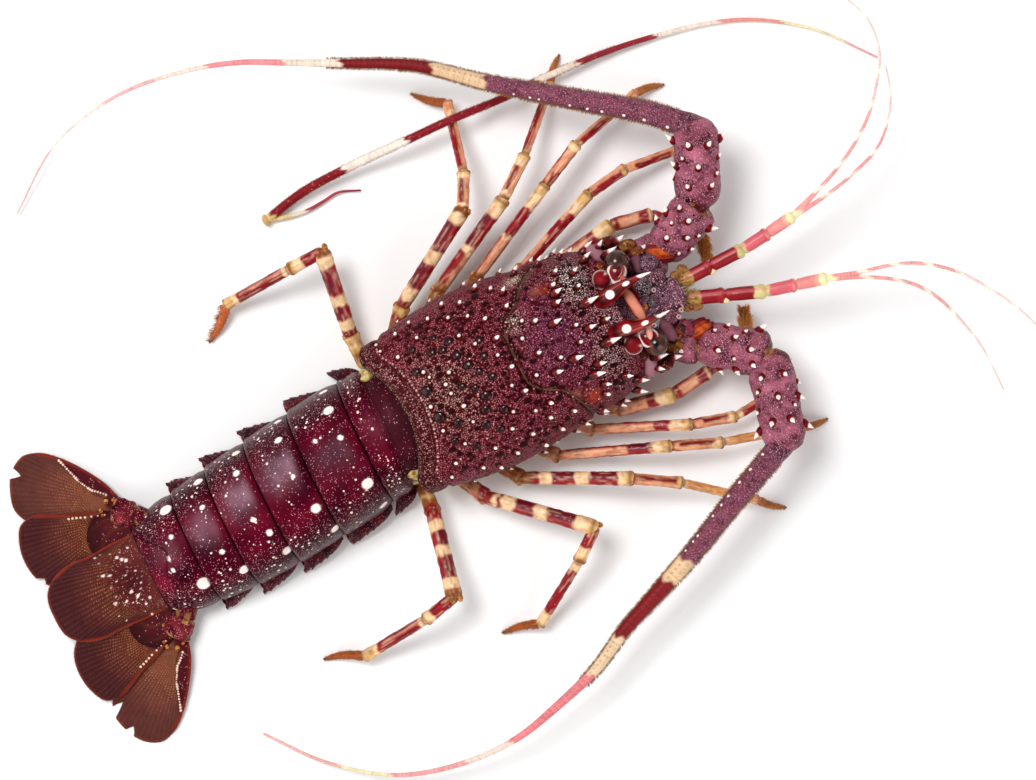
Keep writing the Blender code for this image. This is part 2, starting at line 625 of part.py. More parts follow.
def build_legs():
    for word in ("left", "right"):
        for pair in LEG_PAIRS:
            joints, halves = leg_joints(word, pair), mm(LEG_THICKNESS[pair])
            coxa = coxa_path(word, pair)
            hip = joint_cut(joints[0], coxa[1] - coxa[0], joints[1] - joints[0], 1)
            lines = joints[2] - joints[1], joints[3] - joints[2]
            places, thick = limb_stations(joints, halves, 0, 2)
            rings = tube_rings(places, thick, thick * LEG_DEPTH, 6, (hip, joint_cut(joints[2], *lines, -1)))
            loft(f"leg_{word}_{pair}_upper", rings, "leg")
            places, thick = limb_stations(joints, halves, 2, 4)
            tip_places, tip_thick = claw(word, joints, halves)
            places, thick = np.vstack([places, tip_places]), np.concatenate([thick, tip_thick])
            knee = joint_cut(joints[2], *lines, 1)
            rings = tube_rings(places, thick, thick * LEG_DEPTH, 6, (knee, None))
            rings[-2:, :, 2] = np.maximum(rings[-2:, :, 2], 0)
            loft(f"leg_{word}_{pair}_lower", rings, "leg")


def build_maxillipeds():
    """The leg-like mouth limbs that reach forward under the feelers."""
    for word in ("left", "right"):
        joints, halves = leg_joints(word, 0), mm(LEG_THICKNESS[0])
        coxa = coxa_path(word, 0)
        hip = joint_cut(joints[0], coxa[1] - coxa[0], joints[1] - joints[0], 1)
        places, thick = limb_stations(joints, halves, 0, 5)
        thick[-1] = 0.6 * MM
        loft(f"maxilliped_{word}", tube_rings(places, thick, thick, 6, (hip, None)), "leg")


THORAX_RINGS = (  # forward, half-width below, half-width above, floor
    (-10.5, 8, 17, 0), (-4, 13, 21, 0), (14, 12, 22, 0), (34, 9.5, 21, 0), (52, 6, 19, 0),
    (62, 3.5, 17, 0), (70, 4.5, 15.5, 3), (80, 6, 15, 5), (88, 5, 11, 8)
)
THORAX_TOP = CARAPACE_FLOOR - GAP
THORAX_WAIST = 9.5 * MM  # height at which the underside is widest
THORAX_BEVEL = (4 * MM, 2.2 * MM)
COXA_HALF_WIDTHS = (3.6, 4.1)  # at the root of each leg and at its thickest


def build_thorax():
    """The underside: a flat breast plate, the roots of the legs and the mouth."""
    rings = []
    for forward, below, above, floor in mm(THORAX_RINGS):
        half_section = (
            (above * 0.92, THORAX_TOP), (above, THORAX_WAIST),
            (below + THORAX_BEVEL[0], floor + THORAX_BEVEL[1]), (below, floor)
        )
        right_half = [(-out, up) for out, up in half_section[::-1]]
        rings.append([(out, forward, up) for out, up in (*half_section, *right_half)])
    body = loft("thorax", rings, "membrane")
    pieces = []
    for word in ("left", "right"):
        for pair in (0, *LEG_PAIRS):
            coxa, joints = coxa_path(word, pair), leg_joints(word, pair)
            cut = joint_cut(joints[0], coxa[1] - coxa[0], joints[1] - joints[0], -1)
            middle = coxa[0] + (coxa[1] - coxa[0]) * 0.72
            path = np.array([coxa[0], middle, coxa[1]])
            thick = mm((*COXA_HALF_WIDTHS, LEG_THICKNESS[pair][0] * SWELL[0][1]))
            rings = tube_rings(path, thick, thick * LEG_DEPTH, 6, (None, cut))
            pieces.append(loft("socket", rings, "membrane"))
    fuse(body, pieces)


def antenna_stations(start, end, first, last, rounded):
    """Places and half-widths down one length of a feeler's stem. A rounded end closes past its joint."""
    shares = np.array([0, 0.14, 0.5, 0.84, 1])
    swells = np.array([0.72, 0.97, 1, 1.03, 0.7])
    if rounded:
        shares, swells = np.append(shares, [1.1, 1.16]), np.append(swells, [0.62, 0.3])
        swells[4] = 0.95
    halves = first + (last - first) * np.minimum(shares, 1)
    return start + np.outer(shares, end - start), halves * swells


# Spines of a feeler's stem: share of the length, degrees round it from the outer side over the top, length
PEDUNCLE_SPINES = {
    "base": ((0.55, 150, 3), (0.6, 60, 3)),
    "arm": (
        (0.3, 75, 3.2), (0.5, 120, 3), (0.75, 95, 3.6), (0.6, 25, 3.6),
        (0.36, 8, 3.4), (0.8, 165, 4.4), (0.82, 55, 3.2)
    ),
    "wrist": (
        (0.25, 60, 3), (0.25, 125, 3), (0.5, 90, 3.2), (0.52, 20, 3.6),
        (0.78, 65, 3.6), (0.78, 120, 3.6), (0.84, 5, 4.4), (0.84, 175, 4.4)
    ),
}


def flagellum_root(word):
    """Where the whip leaves the side of the wrist's end, and its direction there."""
    joint = mm(ANTENNA_JOINTS[word])[-1]
    line = unit(mm(FLAGELLUM_ROUTE[word])[0] - joint)
    return joint + line * WRIST_SOCKET, line


def build_antennae():
    for word in ("left", "right"):
        joints = mm(ANTENNA_JOINTS[word])
        lines = np.diff(joints, axis=0)
        for number, name in enumerate(("base", "arm", "wrist"), start=1):
            build_stem_length(word, name, joints, lines, number)
        build_flagellum(word)


def build_stem_length(word, name, joints, lines, number):
    """One thick length of the feeler's stem, with its spines."""
    halves = mm(ANTENNA_HALF_WIDTHS)
    wrist = name == "wrist"
    start, end = joints[number], joints[number + 1]
    places, thick = antenna_stations(start, end, halves[number - 1], halves[number], wrist)
    before = joint_cut(joints[number], lines[number - 1], lines[number], 1)
    after = None if wrist else joint_cut(end, lines[number], lines[number + 1], -1)
    rings = tube_rings(places, thick, thick * ANTENNA_FLATNESS, 12, (before, after))
    body = loft(f"antenna_{word}_{name}", rings, "feeler")
    pieces = []
    if wrist:
        root, line = flagellum_root(word)
        foot = np.array([root - line * (WRIST_SOCKET + 2 * MM), root])
        half = FLAGELLUM_TAPER[0][1] * MM
        socket = tube_rings(foot, half, half, 7, (None, (root - line * GAP / 2, line)))
        pieces.append(loft("socket", socket, "feeler"))
    line = unit(lines[number])
    across = unit(np.cross(line, [0, 0, 1]))
    outwards = across if across[0] * start[0] > 0 else -across
    upwards = np.cross(across, line)
    for share, angle, length in PEDUNCLE_SPINES[name]:
        around = math.radians(angle)
        normal = outwards * math.cos(around) + upwards * math.sin(around)
        half = np.interp(share, (0, 1), (halves[number - 1], halves[number]))
        flat = math.hypot(math.cos(around), ANTENNA_FLATNESS * math.sin(around))
        root = start + lines[number] * share + normal * half * flat * 0.94
        pieces.append(spine(root, line * 0.8 + normal * 0.7, length * MM, 0.32 * length * MM))
    fuse(body, pieces)


def build_flagellum(word):
    """The long whip, in two lengths that meet face to face."""
    root, line = flagellum_root(word)
    points, distances = along(np.vstack([root, mm(FLAGELLUM_ROUTE[word])]), 9 * MM)
    half = through(FLAGELLUM_TAPER, distances / MM)[:, 0] * MM
    split = int(np.argmin(np.abs(distances - FLAGELLUM_SPLIT)))
    facing = points[split + 1] - points[split - 1]
    lengths = (
        (slice(0, split + 1), (root + line * GAP / 2, line), joint_cut(points[split], facing, facing, -1)),
        (slice(split, None), joint_cut(points[split], facing, facing, 1), None),
    )
    for number, (part, start, end) in enumerate(lengths, start=1):
        rings = tube_rings(points[part], half[part], half[part], 7, (start, end))
        loft(f"antenna_{word}_flagellum_{number}", rings, "feeler")


def build_antennules():
    for word in ("left", "right"):
        route = mm(ANTENNULE_ROUTE[word])
        half = mm(ANTENNULE_HALF_WIDTHS)
        line = unit(route[1] - route[0])
        last = unit(route[-1] - route[-2])
        shares = (0, 0.15, 0.85)
        swells = (0.85, 1, 1.05)
        places = [route[k] + (route[k + 1] - route[k]) * s for k in range(4) for s in shares] + [route[-1]]
        thick = np.array([half[k] * swell for k in range(4) for swell in swells] + [half[-1] * 0.9])
        cuts = ((route[0] + line * GAP / 2, line), (route[-1] - last * GAP / 2, last))
        loft(f"antennule_{word}_peduncle", tube_rings(places, thick, thick, 7, cuts), "feeler")
        branches = []
        for number, branch in enumerate(ANTENNULE_FLAGELLA[word]):
            points, distances = along(np.vstack([route[-1], mm(branch)]), 9 * MM)
            thin = np.interp(distances / distances[-1], (0, 0.05, 0.5, 1), (1.35, 1.1, 0.62, 0.25)) * MM
            cut = (route[-1] + last * GAP / 2, last)
            name = f"antennule_{word}_flagella" if number == 0 else "branch"
            branches.append(loft(name, tube_rings(points, thin, thin, 5, (cut, None)), "feeler"))
        fuse(branches[0], branches[1:])


def build_loose_feeler():
    """A shed feeler that lies across two legs, in two lengths, with a thin curl at its thick end."""
    points, distances = along(mm(LOOSE_FEELER_ROUTE), 9 * MM)
    half = through(LOOSE_FEELER_TAPER, distances / MM)[:, 0] * MM
    split = int(np.argmin(np.abs(distances - LOOSE_FEELER_SPLIT)))
    facing = points[split + 1] - points[split - 1]
    cut = joint_cut(points[split], facing, facing, -1)
    first, thick = points[: split + 1], half[: split + 1]
    body = loft("feeler_loose_1", tube_rings(first, thick, thick, 6, (None, cut)), "feeler")
    curl, run = along(mm(LOOSE_CURL_ROUTE), 6 * MM)
    thin = np.interp(run / run[-1], (0, 1), (0.95, 0.35)) * MM
    fuse(body, [loft("curl", tube_rings(curl, thin, thin, 5), "feeler")])
    cut = joint_cut(points[split], facing, facing, 1)
    second, thick = points[split:], half[split:]
    loft("feeler_loose_2", tube_rings(second, thick, thick, 6, (cut, None)), "feeler")


def abdomen_middle(forward):
    back = np.clip(-np.asarray(forward) / DRIFT_LENGTH, 0, 1)
    return ABDOMEN_DRIFT * np.sin(back * math.pi / 2) ** 1.3


def abdomen_ring(forward, around, lift=0.0):
    """A full arch over a shallow belly, drawn round the abdomen's drifting middle line."""
    half = through(ABDOMEN_HALF_WIDTH, np.array([forward / MM]))[0, 0] * MM
    top = through(ABDOMEN_TOP, np.array([forward / MM]))[0, 0] * MM + lift
    edge = through(ABDOMEN_EDGE, np.array([forward / MM]))[0, 0] * MM
    angles = np.linspace(0, math.pi, around)
    out = (half + lift * 0.6) * np.sign(np.cos(angles)) * np.abs(np.cos(angles)) ** 0.88
    up = edge + (top - edge) * np.sin(angles) ** 0.92
    belly = [(-0.86, -1.6), (-0.45, -2.4), (0.45, -2.4), (0.86, -1.6)]
    out = np.concatenate([out, [half * share for share, _ in belly]])
    up = np.concatenate([up, [edge + drop * MM for _, drop in belly]])
    return np.column_stack([out + abdomen_middle(forward), np.full(len(out), forward), up])


def pleuron(number, side, start, end):
    """A side plate's tooth, wide at its root in the somite, pointed outwards, down and back."""
    middle = float(abdomen_middle(end))
    half = through(ABDOMEN_HALF_WIDTH, np.array([end / MM]))[0, 0] * MM
    edge = through(ABDOMEN_EDGE, np.array([end / MM]))[0, 0] * MM
    tip = np.array([side * PLEURON_OUT[number] * MM, end - PLEURON_BACK[number] * MM, 2.4 * MM])
    length = start - end
    root_front = [side * (half - 3 * MM), start - 0.3 * length, edge + 3.5 * MM]
    root_rear = [side * (half - 3 * MM), end + 0.8 * MM, edge + 3.5 * MM]
    shoulder_out = half + 0.4 * (PLEURON_OUT[number] * MM - half)
    shoulder = [side * shoulder_out, start - 0.36 * length, edge - 0.5 * MM]
    heel = [side * (half + 0.2 * MM), end + 1.0 * MM, edge - 0.8 * MM]
    outline = np.array([root_front, shoulder, tip, heel, root_rear]) + [middle, 0, 0]
    inward = np.array([-side * 1.5 * MM, 0, -0.8 * MM])
    return loft("pleuron", [outline, outline + inward], "abdomen")


def swimmeret(side, start, end):
    """A rounded paddle under the somite, showing just past its side tooth."""
    middle = float(abdomen_middle(end))
    half = through(ABDOMEN_HALF_WIDTH, np.array([end / MM]))[0, 0] * MM
    root = np.array([middle + side * half * 0.72, (start + end) / 2, 7.5 * MM])
    reach = np.array([side * (half * 0.28 + 3.4 * MM), -0.5 * (start - end), -5.2 * MM])
    places = root + np.outer([0, 0.35, 0.75, 1], reach)
    rings = tube_rings(places, mm((2.6, 3.6, 3.2, 1)), mm((1.6, 1.3, 1.1, 0.5)), 8)
    return loft("paddle", rings, "abdomen")


def build_abdomen():
    """Six rings. Each begins low, where it slips under the one before, and is raised behind its groove."""
    start = POCKET_FRONT - GAP
    for number, rear in enumerate(SOMITE_REARS, start=1):
        end = rear * MM
        if number == 1:
            stations = (start, -6 * MM, -11 * MM, -12.4 * MM, -14 * MM, end)
            lifts = (0, 0, 0, -0.5, 0.5, 0.4)
        else:
            stations = [start + (end - start) * s for s in (0, 0.3, 0.36, 0.46, 0.82, 1)]
            lifts = (-0.5, 0, -0.35, 0.5, 0.6, 0.25)
        rings = [abdomen_ring(f, 15, lift * MM) for f, lift in zip(stations, lifts)]
        body = loft(f"somite_{number}", rings, "abdomen")
        pieces = []
        for side in (1, -1):
            if number < 6:
                pieces.append(pleuron(number, side, start if number > 1 else -10 * MM, end))
            if 2 <= number <= 5:
                pieces.append(swimmeret(side, start, end))
            if number == 6:
                pieces.append(uropod_socket(side))
        fuse(body, pieces)
        start = end - GAP
    return start


UROPOD_JOINTS = ((16, -108, 10), (21.5, -112.5, 8.6), (25.6, -118.8, 6.4))


def uropod_joints(side):
    joints = mm(UROPOD_JOINTS) * [side, 1, 1]
    return joints + [FAN_MIDDLE, 0, 0]


def uropod_socket(side):
    joints = uropod_joints(side)
    cut = joint_cut(joints[1], joints[1] - joints[0], joints[2] - joints[1], -1)
    rings = tube_rings(joints[:2], mm((4.4, 4.2)), mm((4, 3.8)), 8, (None, cut))
    return loft("socket", rings, "abdomen")


def build_uropod_bases():
    for side, word in ((1, "left"), (-1, "right")):
        joints = uropod_joints(side)
        start = joint_cut(joints[1], joints[1] - joints[0], joints[2] - joints[1], 1)
        end = joint_cut(joints[2], joints[2] - joints[1], joints[2] - joints[1], -1)
        places = joints[1] + np.outer([0, 0.25, 0.75, 1], joints[2] - joints[1])
        half = mm((4.2, 5, 5.7, 5.8))
        loft(f"uropod_{word}_base", tube_rings(places, half, half * 0.8, 10, (start, end)), "abdomen")


def fan_lift(forward):
    """The fan lies flat at its rear and climbs towards its root."""
    return FAN_SLOPE * np.maximum(forward - FAN_LEVEL, 0)


def blade(name, root, outline, side, level, rays, root_thickness, dome=0.0):
    """A fan blade: straight rays from its root line to its outline, every second one raised."""
    root, outline = mm(root), mm(outline)
    rim = np.vstack([root[0], outline, root[1]])
    chord = np.concatenate([[0], np.cumsum(np.linalg.norm(np.diff(rim, axis=0), axis=1))])
    places = np.linspace(chord[0], chord[-1], rays + 2)[1:-1]
    rim_points = through(np.column_stack([chord, rim]), places)
    starts = root[0] + np.outer((places - places[0]) / (places[-1] - places[0]), root[1] - root[0])
    shares = np.array([0, 0.3, 0.7, 1])
    plan = starts[:, None] + (rim_points - starts)[:, None] * shares[None, :, None]
    plan = plan * [side, 1] + [FAN_MIDDLE, 0]
    below = level + fan_lift(plan[..., 1])
    thick = np.interp(shares, (0, 0.3, 1), (root_thickness, BLADE_THICK, BLADE_EDGE))[None, :]
    crest = (np.arange(rays) % 2)[:, None] * RAY_HEIGHT * np.array([0, 1, 1, 0])[None, :]
    above = below + thick + crest + dome * np.array([1, 0.55, 0.1, 0])[None, :]
    return double_sheet(name, plan, below, above, "fan")


def double_sheet(name, plan, below, above, colour):
    """A closed body between two height fields on one grid, split into triangles alike on both faces."""
    rows, columns = plan.shape[:2]
    lower = np.concatenate([plan, below[..., None]], axis=-1).reshape(-1, 3)
    upper = np.concatenate([plan, above[..., None]], axis=-1).reshape(-1, 3)
    index = np.arange(rows * columns).reshape(rows, columns)
    a, b, c, d = index[:-1, :-1], index[1:, :-1], index[1:, 1:], index[:-1, 1:]
    halves = (np.stack([a, b, c], -1), np.stack([a, c, d], -1))
    triangles = np.concatenate([half.reshape(-1, 3) for half in halves])
    offset = rows * columns
    edge = np.concatenate([index[:, 0], index[-1, 1:], index[-2::-1, -1], index[0, -2:0:-1]])
    after = np.roll(edge, -1)
    walls = np.stack([edge, after, after + offset, edge + offset], -1)
    faces = [*(triangles[:, ::-1]).tolist(), *(triangles + offset).tolist(), *walls.tolist()]
    return closed_object(name, np.vstack([lower, upper]), faces, colour)


def build_tail_fan():
    blade("telson", TELSON_ROOT, TELSON_OUTLINE, 1, 2 * LAYER, 17, 3.4 * MM, 3.2 * MM)
    for side, word in ((1, "left"), (-1, "right")):
        blade(f"uropod_{word}_inner", INNER_ROOT, INNER_OUTLINE, side, LAYER, 15, 1.8 * MM)
        blade(f"uropod_{word}_outer", OUTER_ROOT, OUTER_OUTLINE, side, 0, 15, 1.8 * MM)


def settle():
    """Moves the whole model so that the middle of its footprint is the origin."""
    meshes = [obj.data for obj in bpy.data.objects if obj.type == "MESH"]
    places = []
    for mesh in meshes:
        points = np.empty(len(mesh.vertices) * 3)
        mesh.vertices.foreach_get("co", points)
        places.append(points.reshape(-1, 3))
    every = np.vstack(places)
    low, high = every.min(axis=0), every.max(axis=0)
    shift = np.array([-(low[0] + high[0]) / 2, -(low[1] + high[1]) / 2, -low[2]])
    for mesh, points in zip(meshes, places):
        mesh.vertices.foreach_set("co", (points + shift).ravel())
        mesh.update()


def main():
    clear_scene()
    build_carapace()
    build_horns()
    build_eyes()
    build_head()
    build_thorax()
    build_legs()
    build_maxillipeds()
    build_antennae()
    build_antennules()
    build_loose_feeler()
    build_abdomen()
    build_uropod_bases()
    build_tail_fan()
    settle()


main()
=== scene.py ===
"""A life-size spiny lobster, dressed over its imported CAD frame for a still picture.

Places in this file are millimetres (left, forward, up) from the middle of the carapace's rear edge at
floor level. place() turns them into the frame's metres.
"""

import math

import bpy
import numpy as np
from mathutils import Matrix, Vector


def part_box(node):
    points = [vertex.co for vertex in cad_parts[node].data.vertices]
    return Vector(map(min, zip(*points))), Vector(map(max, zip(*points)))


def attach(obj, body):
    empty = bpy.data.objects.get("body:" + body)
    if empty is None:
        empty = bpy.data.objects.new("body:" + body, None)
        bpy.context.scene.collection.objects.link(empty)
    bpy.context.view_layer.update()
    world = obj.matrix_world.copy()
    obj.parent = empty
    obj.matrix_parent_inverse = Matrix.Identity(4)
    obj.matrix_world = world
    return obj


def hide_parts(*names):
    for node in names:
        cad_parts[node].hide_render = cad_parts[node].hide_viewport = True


bl_info = {
    "name": "Spiny Lobster Model",
    "version": (1, 0, 0),
    "blender": (4, 5, 0),
    "location": "3D View > Sidebar > Lobster",
    "description": "Dresses the spiny lobster's solids with shell plates, spines, feelers, legs and tail fan",
    "category": "Add Mesh",
}

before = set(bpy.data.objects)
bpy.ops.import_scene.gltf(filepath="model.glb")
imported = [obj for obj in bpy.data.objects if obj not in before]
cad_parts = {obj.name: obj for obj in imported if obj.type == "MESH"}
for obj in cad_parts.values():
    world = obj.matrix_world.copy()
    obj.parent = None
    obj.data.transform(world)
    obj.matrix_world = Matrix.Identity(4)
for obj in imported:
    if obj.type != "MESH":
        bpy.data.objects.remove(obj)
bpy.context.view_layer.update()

FAN_MIDDLE = -10.0  # the tail fan's middle line, left of the carapace's
TELSON_REAR = 157.6
TELSON_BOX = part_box("telson")
SHIFT_LEFT = (TELSON_BOX[0].x + TELSON_BOX[1].x) * 500 - FAN_MIDDLE
SHIFT_BACK = TELSON_BOX[1].y * 1000 - TELSON_REAR


def place(points):
    """Body millimetres to metres: X = left + shift, Y = shift - forward, Z = up."""
    points = np.asarray(points, float)
    left, forward, up = points[..., 0], points[..., 1], points[..., 2]
    return np.stack([left + SHIFT_LEFT, SHIFT_BACK - forward, up], axis=-1) / 1000


def lin(colour):
    """An sRGB hex colour as linear red, green and blue; one that is linear already stays as it is."""
    if not isinstance(colour, str):
        return np.asarray(colour, float)
    values = np.array([int(colour[i : i + 2], 16) for i in (1, 3, 5)]) / 255
    return np.where(values <= 0.04045, values / 12.92, ((values + 0.055) / 1.055) ** 2.4)


def unit(vectors):
    """Each vector divided by its length."""
    vectors = np.asarray(vectors, float)
    return vectors / np.maximum(np.linalg.norm(vectors, axis=-1, keepdims=True), 1e-9)


def smooth(low, high, value):
    """0 at low, 1 at high, and 3t² - 2t³ between."""
    t = np.clip((np.asarray(value, float) - low) / (high - low), 0, 1)
    return t * t * (3 - 2 * t)


def mix(first, second, share):
    """first·(1 - share) + second·share, for two colours with a share at each point."""
    share = np.asarray(share, float)[..., None]
    return lin(first) * (1 - share) + lin(second) * share


def through(table, where):
    """Cubic Hermite curve through the table's rows of (place, value...), read at these places."""
    table = np.asarray(table, float)
    places, values = table[:, 0], table[:, 1:]
    slopes = np.gradient(values, places, axis=0)
    where = np.clip(np.asarray(where, float), places[0], places[-1])
    i = np.clip(np.searchsorted(places, where, side="right") - 1, 0, len(places) - 2)
    step = (places[i + 1] - places[i])[..., None]
    t = (where[..., None] - places[i][..., None]) / step
    found = (
        (2 * t**3 - 3 * t**2 + 1) * values[i]
        + (t**3 - 2 * t**2 + t) * step * slopes[i]
        + (3 * t**2 - 2 * t**3) * values[i + 1]
        + (t**3 - t**2) * step * slopes[i + 1]
    )
    return found[..., 0] if values.shape[1] == 1 else found


def run_along(points):
    """The distance run along a line at each of its points, starting from 0."""
    return np.concatenate([[0], np.cumsum(np.linalg.norm(np.diff(points, axis=0), axis=1))])


def along(route, spacing):
    """Points about this far apart on a smooth curve through the route, with their distances along it."""
    route = np.asarray(route, float)
    chord = run_along(route)
    fine = np.linspace(0, chord[-1], 900)
    curve = through(np.column_stack([chord, route]), fine)
    length = run_along(curve)
    distances = np.linspace(0, length[-1], max(4, round(length[-1] / spacing) + 1))
    points = np.column_stack([np.interp(distances, length, curve[:, i]) for i in range(3)])
    return points, distances


WAVES = 12  # sines in a ripple


def ripple(points, size, seed):
    """Smooth noise from about -1 to 1: the sum of sines along seeded random directions, size mm apart."""
    draw = np.random.default_rng(seed)
    lines = unit(draw.normal(size=(WAVES, 3))) * (2 * math.pi / size) * draw.uniform(0.6, 1.4, (WAVES, 1))
    phases = draw.uniform(0, 2 * math.pi, WAVES)
    return np.sin(points @ lines.T + phases).sum(axis=-1) * (1 / math.sqrt(WAVES))


def marbled(grid, first, second, size, seed):
    """Two colours run into each other: their share is 0.5 + 0.5·ripple."""
    return mix(first, second, 0.5 + 0.5 * ripple(grid, size, seed))


def stained(grid, first, second, size, seed, low, high):
    """The second colour as stains in the first: none where the ripple is under low, full over high."""
    return mix(first, second, smooth(low, high, ripple(grid, size, seed)))


PALE_DOT = lin("#c69a9a")

SIDES = ((1, "left"), (-1, "right"))


class Shape:
    """One closed surface in body millimetres, with the colour and the marks of each point."""

    def __init__(self, points, quads, tris, tint, dot=PALE_DOT, fleck=0.0, spot=0.0, uv=None):
        count = len(points)
        corners = np.vstack([quads[:, :3], quads[:, [0, 2, 3]], tris])
        around = place(points) - place(points).mean(axis=0)
        a, b, c = (around[corners[:, i]] for i in range(3))
        inside_out = (np.cross(a, b) * c).sum() < 0
        self.points = points
        self.quads = quads[:, ::-1] if inside_out else quads
        self.tris = tris[:, ::-1] if inside_out else tris
        self.tint = np.broadcast_to(tint, (count, 3))
        self.dot = np.broadcast_to(dot, (count, 3))
        self.fleck = np.broadcast_to(fleck, count)
        self.spot = np.broadcast_to(spot, count)
        self.uv = uv


def with_ends(mark, rows, columns):
    """A grid's marks, a row per point, then the mean of each end row for the points that close it."""
    mark = lin(mark)
    if mark.ndim == 0 or (mark.ndim == 1 and mark.shape == (3,)):
        return mark
    last = mark.shape[2:] if mark.ndim == 3 else ()
    full = np.broadcast_to(mark, (rows, columns, *last))
    return np.concatenate(
        [full.reshape(rows * columns, *last), full[:1].mean(axis=1), full[-1:].mean(axis=1)]
    )


def grid_faces(rows, columns):
    """Quads of a grid whose columns run all the way round, and the fans that close its two end rows."""
    index = np.arange(rows * columns).reshape(rows, columns)
    after = np.roll(index, -1, axis=1)
    quads = np.stack([index[:-1], after[:-1], after[1:], index[1:]], axis=-1).reshape(-1, 4)
    first = np.full(columns, rows * columns)
    top = np.stack([after[0], index[0], first], axis=-1)
    bottom = np.stack([index[-1], after[-1], first + 1], axis=-1)
    return quads, np.vstack([top, bottom])


def surface(grid, tint, dot=PALE_DOT, fleck=0.0, spot=0.0, uv=None):
    """A closed surface on a grid whose columns run all the way round; a fan closes each end row."""
    rows, columns = grid.shape[:2]
    marks = [with_ends(mark, rows, columns) for mark in (grid, tint, dot, fleck, spot)]
    uvs = None if uv is None else with_ends(uv, rows, columns)
    return Shape(marks[0], *grid_faces(rows, columns), *marks[1:], uv=uvs)


def leaf(upper, lower, tints, dot, fleck, spot, uv=None):
    """A thin closed plate between two grids alike: each row runs out on top and back below."""

    def double(mark):
        mark = lin(mark)
        if mark.ndim < 2:
            return mark
        return np.concatenate([mark, mark[:, ::-1]], axis=1)

    grid = np.concatenate([upper, lower[:, ::-1]], axis=1)
    uvs = None if uv is None else double(uv)
    return surface(grid, double(tints), double(dot), double(fleck), double(spot), uvs)


def outward_normals(grid):
    """Unit normals of a grid whose columns wrap, from the cross product of its two differences."""
    down = np.gradient(grid, axis=0)
    across = np.roll(grid, -1, axis=1) - np.roll(grid, 1, axis=1)
    normal = unit(np.cross(down, across))
    centre = grid.mean(axis=1, keepdims=True)
    return normal * np.sign(((grid - centre) * normal).sum())


def lumpy(grid, height, size, seed):
    """The grid moved along its normals by height·ripple."""
    return grid + outward_normals(grid) * (height * ripple(grid, size, seed))[..., None]


def ring_frame(path):
    """Along, sideways and upward unit vectors at each point of a path."""
    steps = unit(np.diff(path, axis=0))
    facing = unit(np.vstack([steps[:1], steps[:-1] + steps[1:], steps[-1:]]))
    across = unit(np.cross(facing, [0, 0, 1]))
    return facing, across, np.cross(across, facing)


def tube(path, wide, high, sides):
    """Rings square to a path: path + across·wide·cos a + rise·high·sin a. Returns grid and angles."""
    _, across, rise = ring_frame(path)
    angles = np.arange(sides) * 2 * math.pi / sides
    wide = np.broadcast_to(wide, (len(path), sides)) if np.ndim(wide) == 2 else np.asarray(wide)[:, None]
    high = np.broadcast_to(high, (len(path), sides)) if np.ndim(high) == 2 else np.asarray(high)[:, None]
    grid = (
        path[:, None]
        + across[:, None] * (wide * np.cos(angles))[..., None]
        + rise[:, None] * (high * np.sin(angles))[..., None]
    )
    return grid, angles


def ball(centre, axes, rows, columns):
    """An ellipsoid: centre + cos p·cos t·axis 0 + cos p·sin t·axis 1 + sin p·axis 2. Grid, p and t."""
    axes = np.asarray(axes, float)
    p = np.linspace(-1.5, 1.5, rows)[:, None]
    t = np.arange(columns)[None] * 2 * math.pi / columns
    around = (np.cos(p) * np.cos(t), np.cos(p) * np.sin(t), np.sin(p) * np.ones_like(t))
    grid = np.asarray(centre, float) + sum(share[..., None] * axis for share, axis in zip(around, axes))
    return grid, p * np.ones_like(t), t * np.ones_like(p)


def axes_along(line, long, wide, high):
    """Axes for ball(): its poles lie along the line, wide across it and high above it."""
    line = unit(line)
    across = unit(np.cross(line, [0.01, 0.02, 1]))
    return np.array([across * wide, np.cross(across, line) * high, line * long])


ASKEW = (0.31, 0.17, 0.93)  # a direction that no thorn has


def thorns(roots, leans, lengths, widths, profile, colours, sides, bends=None, uvs=None):
    """Many pointed bodies: root + length·(lean·s + bend·s²), round which the width is width·profile(s).
    The profile's rows are (s, share of the width), the colours one, one per row, or one per thorn and row."""
    roots = np.atleast_2d(np.asarray(roots, float))
    count = len(roots)
    leans = np.broadcast_to(unit(leans), (count, 3))
    lengths = np.broadcast_to(np.asarray(lengths, float), count)
    widths = np.broadcast_to(np.asarray(widths, float), count)
    bends = np.zeros((count, 3)) if bends is None else np.broadcast_to(bends, (count, 3))
    shares, factors = np.asarray(profile, float).T
    across = unit(np.cross(leans, ASKEW))
    rise = np.cross(across, leans)
    run = lengths[:, None] * shares
    sway = lengths[:, None] * np.clip(shares, 0, None) ** 2
    line = roots[:, None] + leans[:, None] * run[..., None] + bends[:, None] * sway[..., None]
    angles = np.arange(sides) * 2 * math.pi / sides
    ring = across[:, None] * np.cos(angles)[:, None] + rise[:, None] * np.sin(angles)[:, None]
    grid = line[:, :, None] + ring[:, None] * (widths[:, None] * factors)[..., None, None]
    rows = len(shares)
    points = np.concatenate([grid.reshape(count, -1, 3), line[:, :1], line[:, -1:]], axis=1).reshape(-1, 3)
    quads, tris = grid_faces(rows, sides)
    steps = (np.arange(count) * (rows * sides + 2))[:, None, None]
    colours = np.broadcast_to(lin(colours), (count, rows, 3))
    tint = np.repeat(colours, sides, axis=1)
    tint = np.concatenate([tint, colours[:, :1], colours[:, -1:]], axis=1).reshape(-1, 3)
    uv = None
    if uvs is not None:
        patch = np.stack(
            np.meshgrid(np.linspace(0, 1, sides), np.linspace(0, 1, rows)), axis=-1
        ).reshape(-1, 2)
        patch = np.vstack([patch, [[0.5, 0], [0.5, 1]]]) * TUFT_PATCH
        uv = (np.asarray(uvs)[:, None] + patch[None]).reshape(-1, 2)
    return Shape(points, (quads + steps).reshape(-1, 4), (tris + steps).reshape(-1, 3), tint, uv=uv)


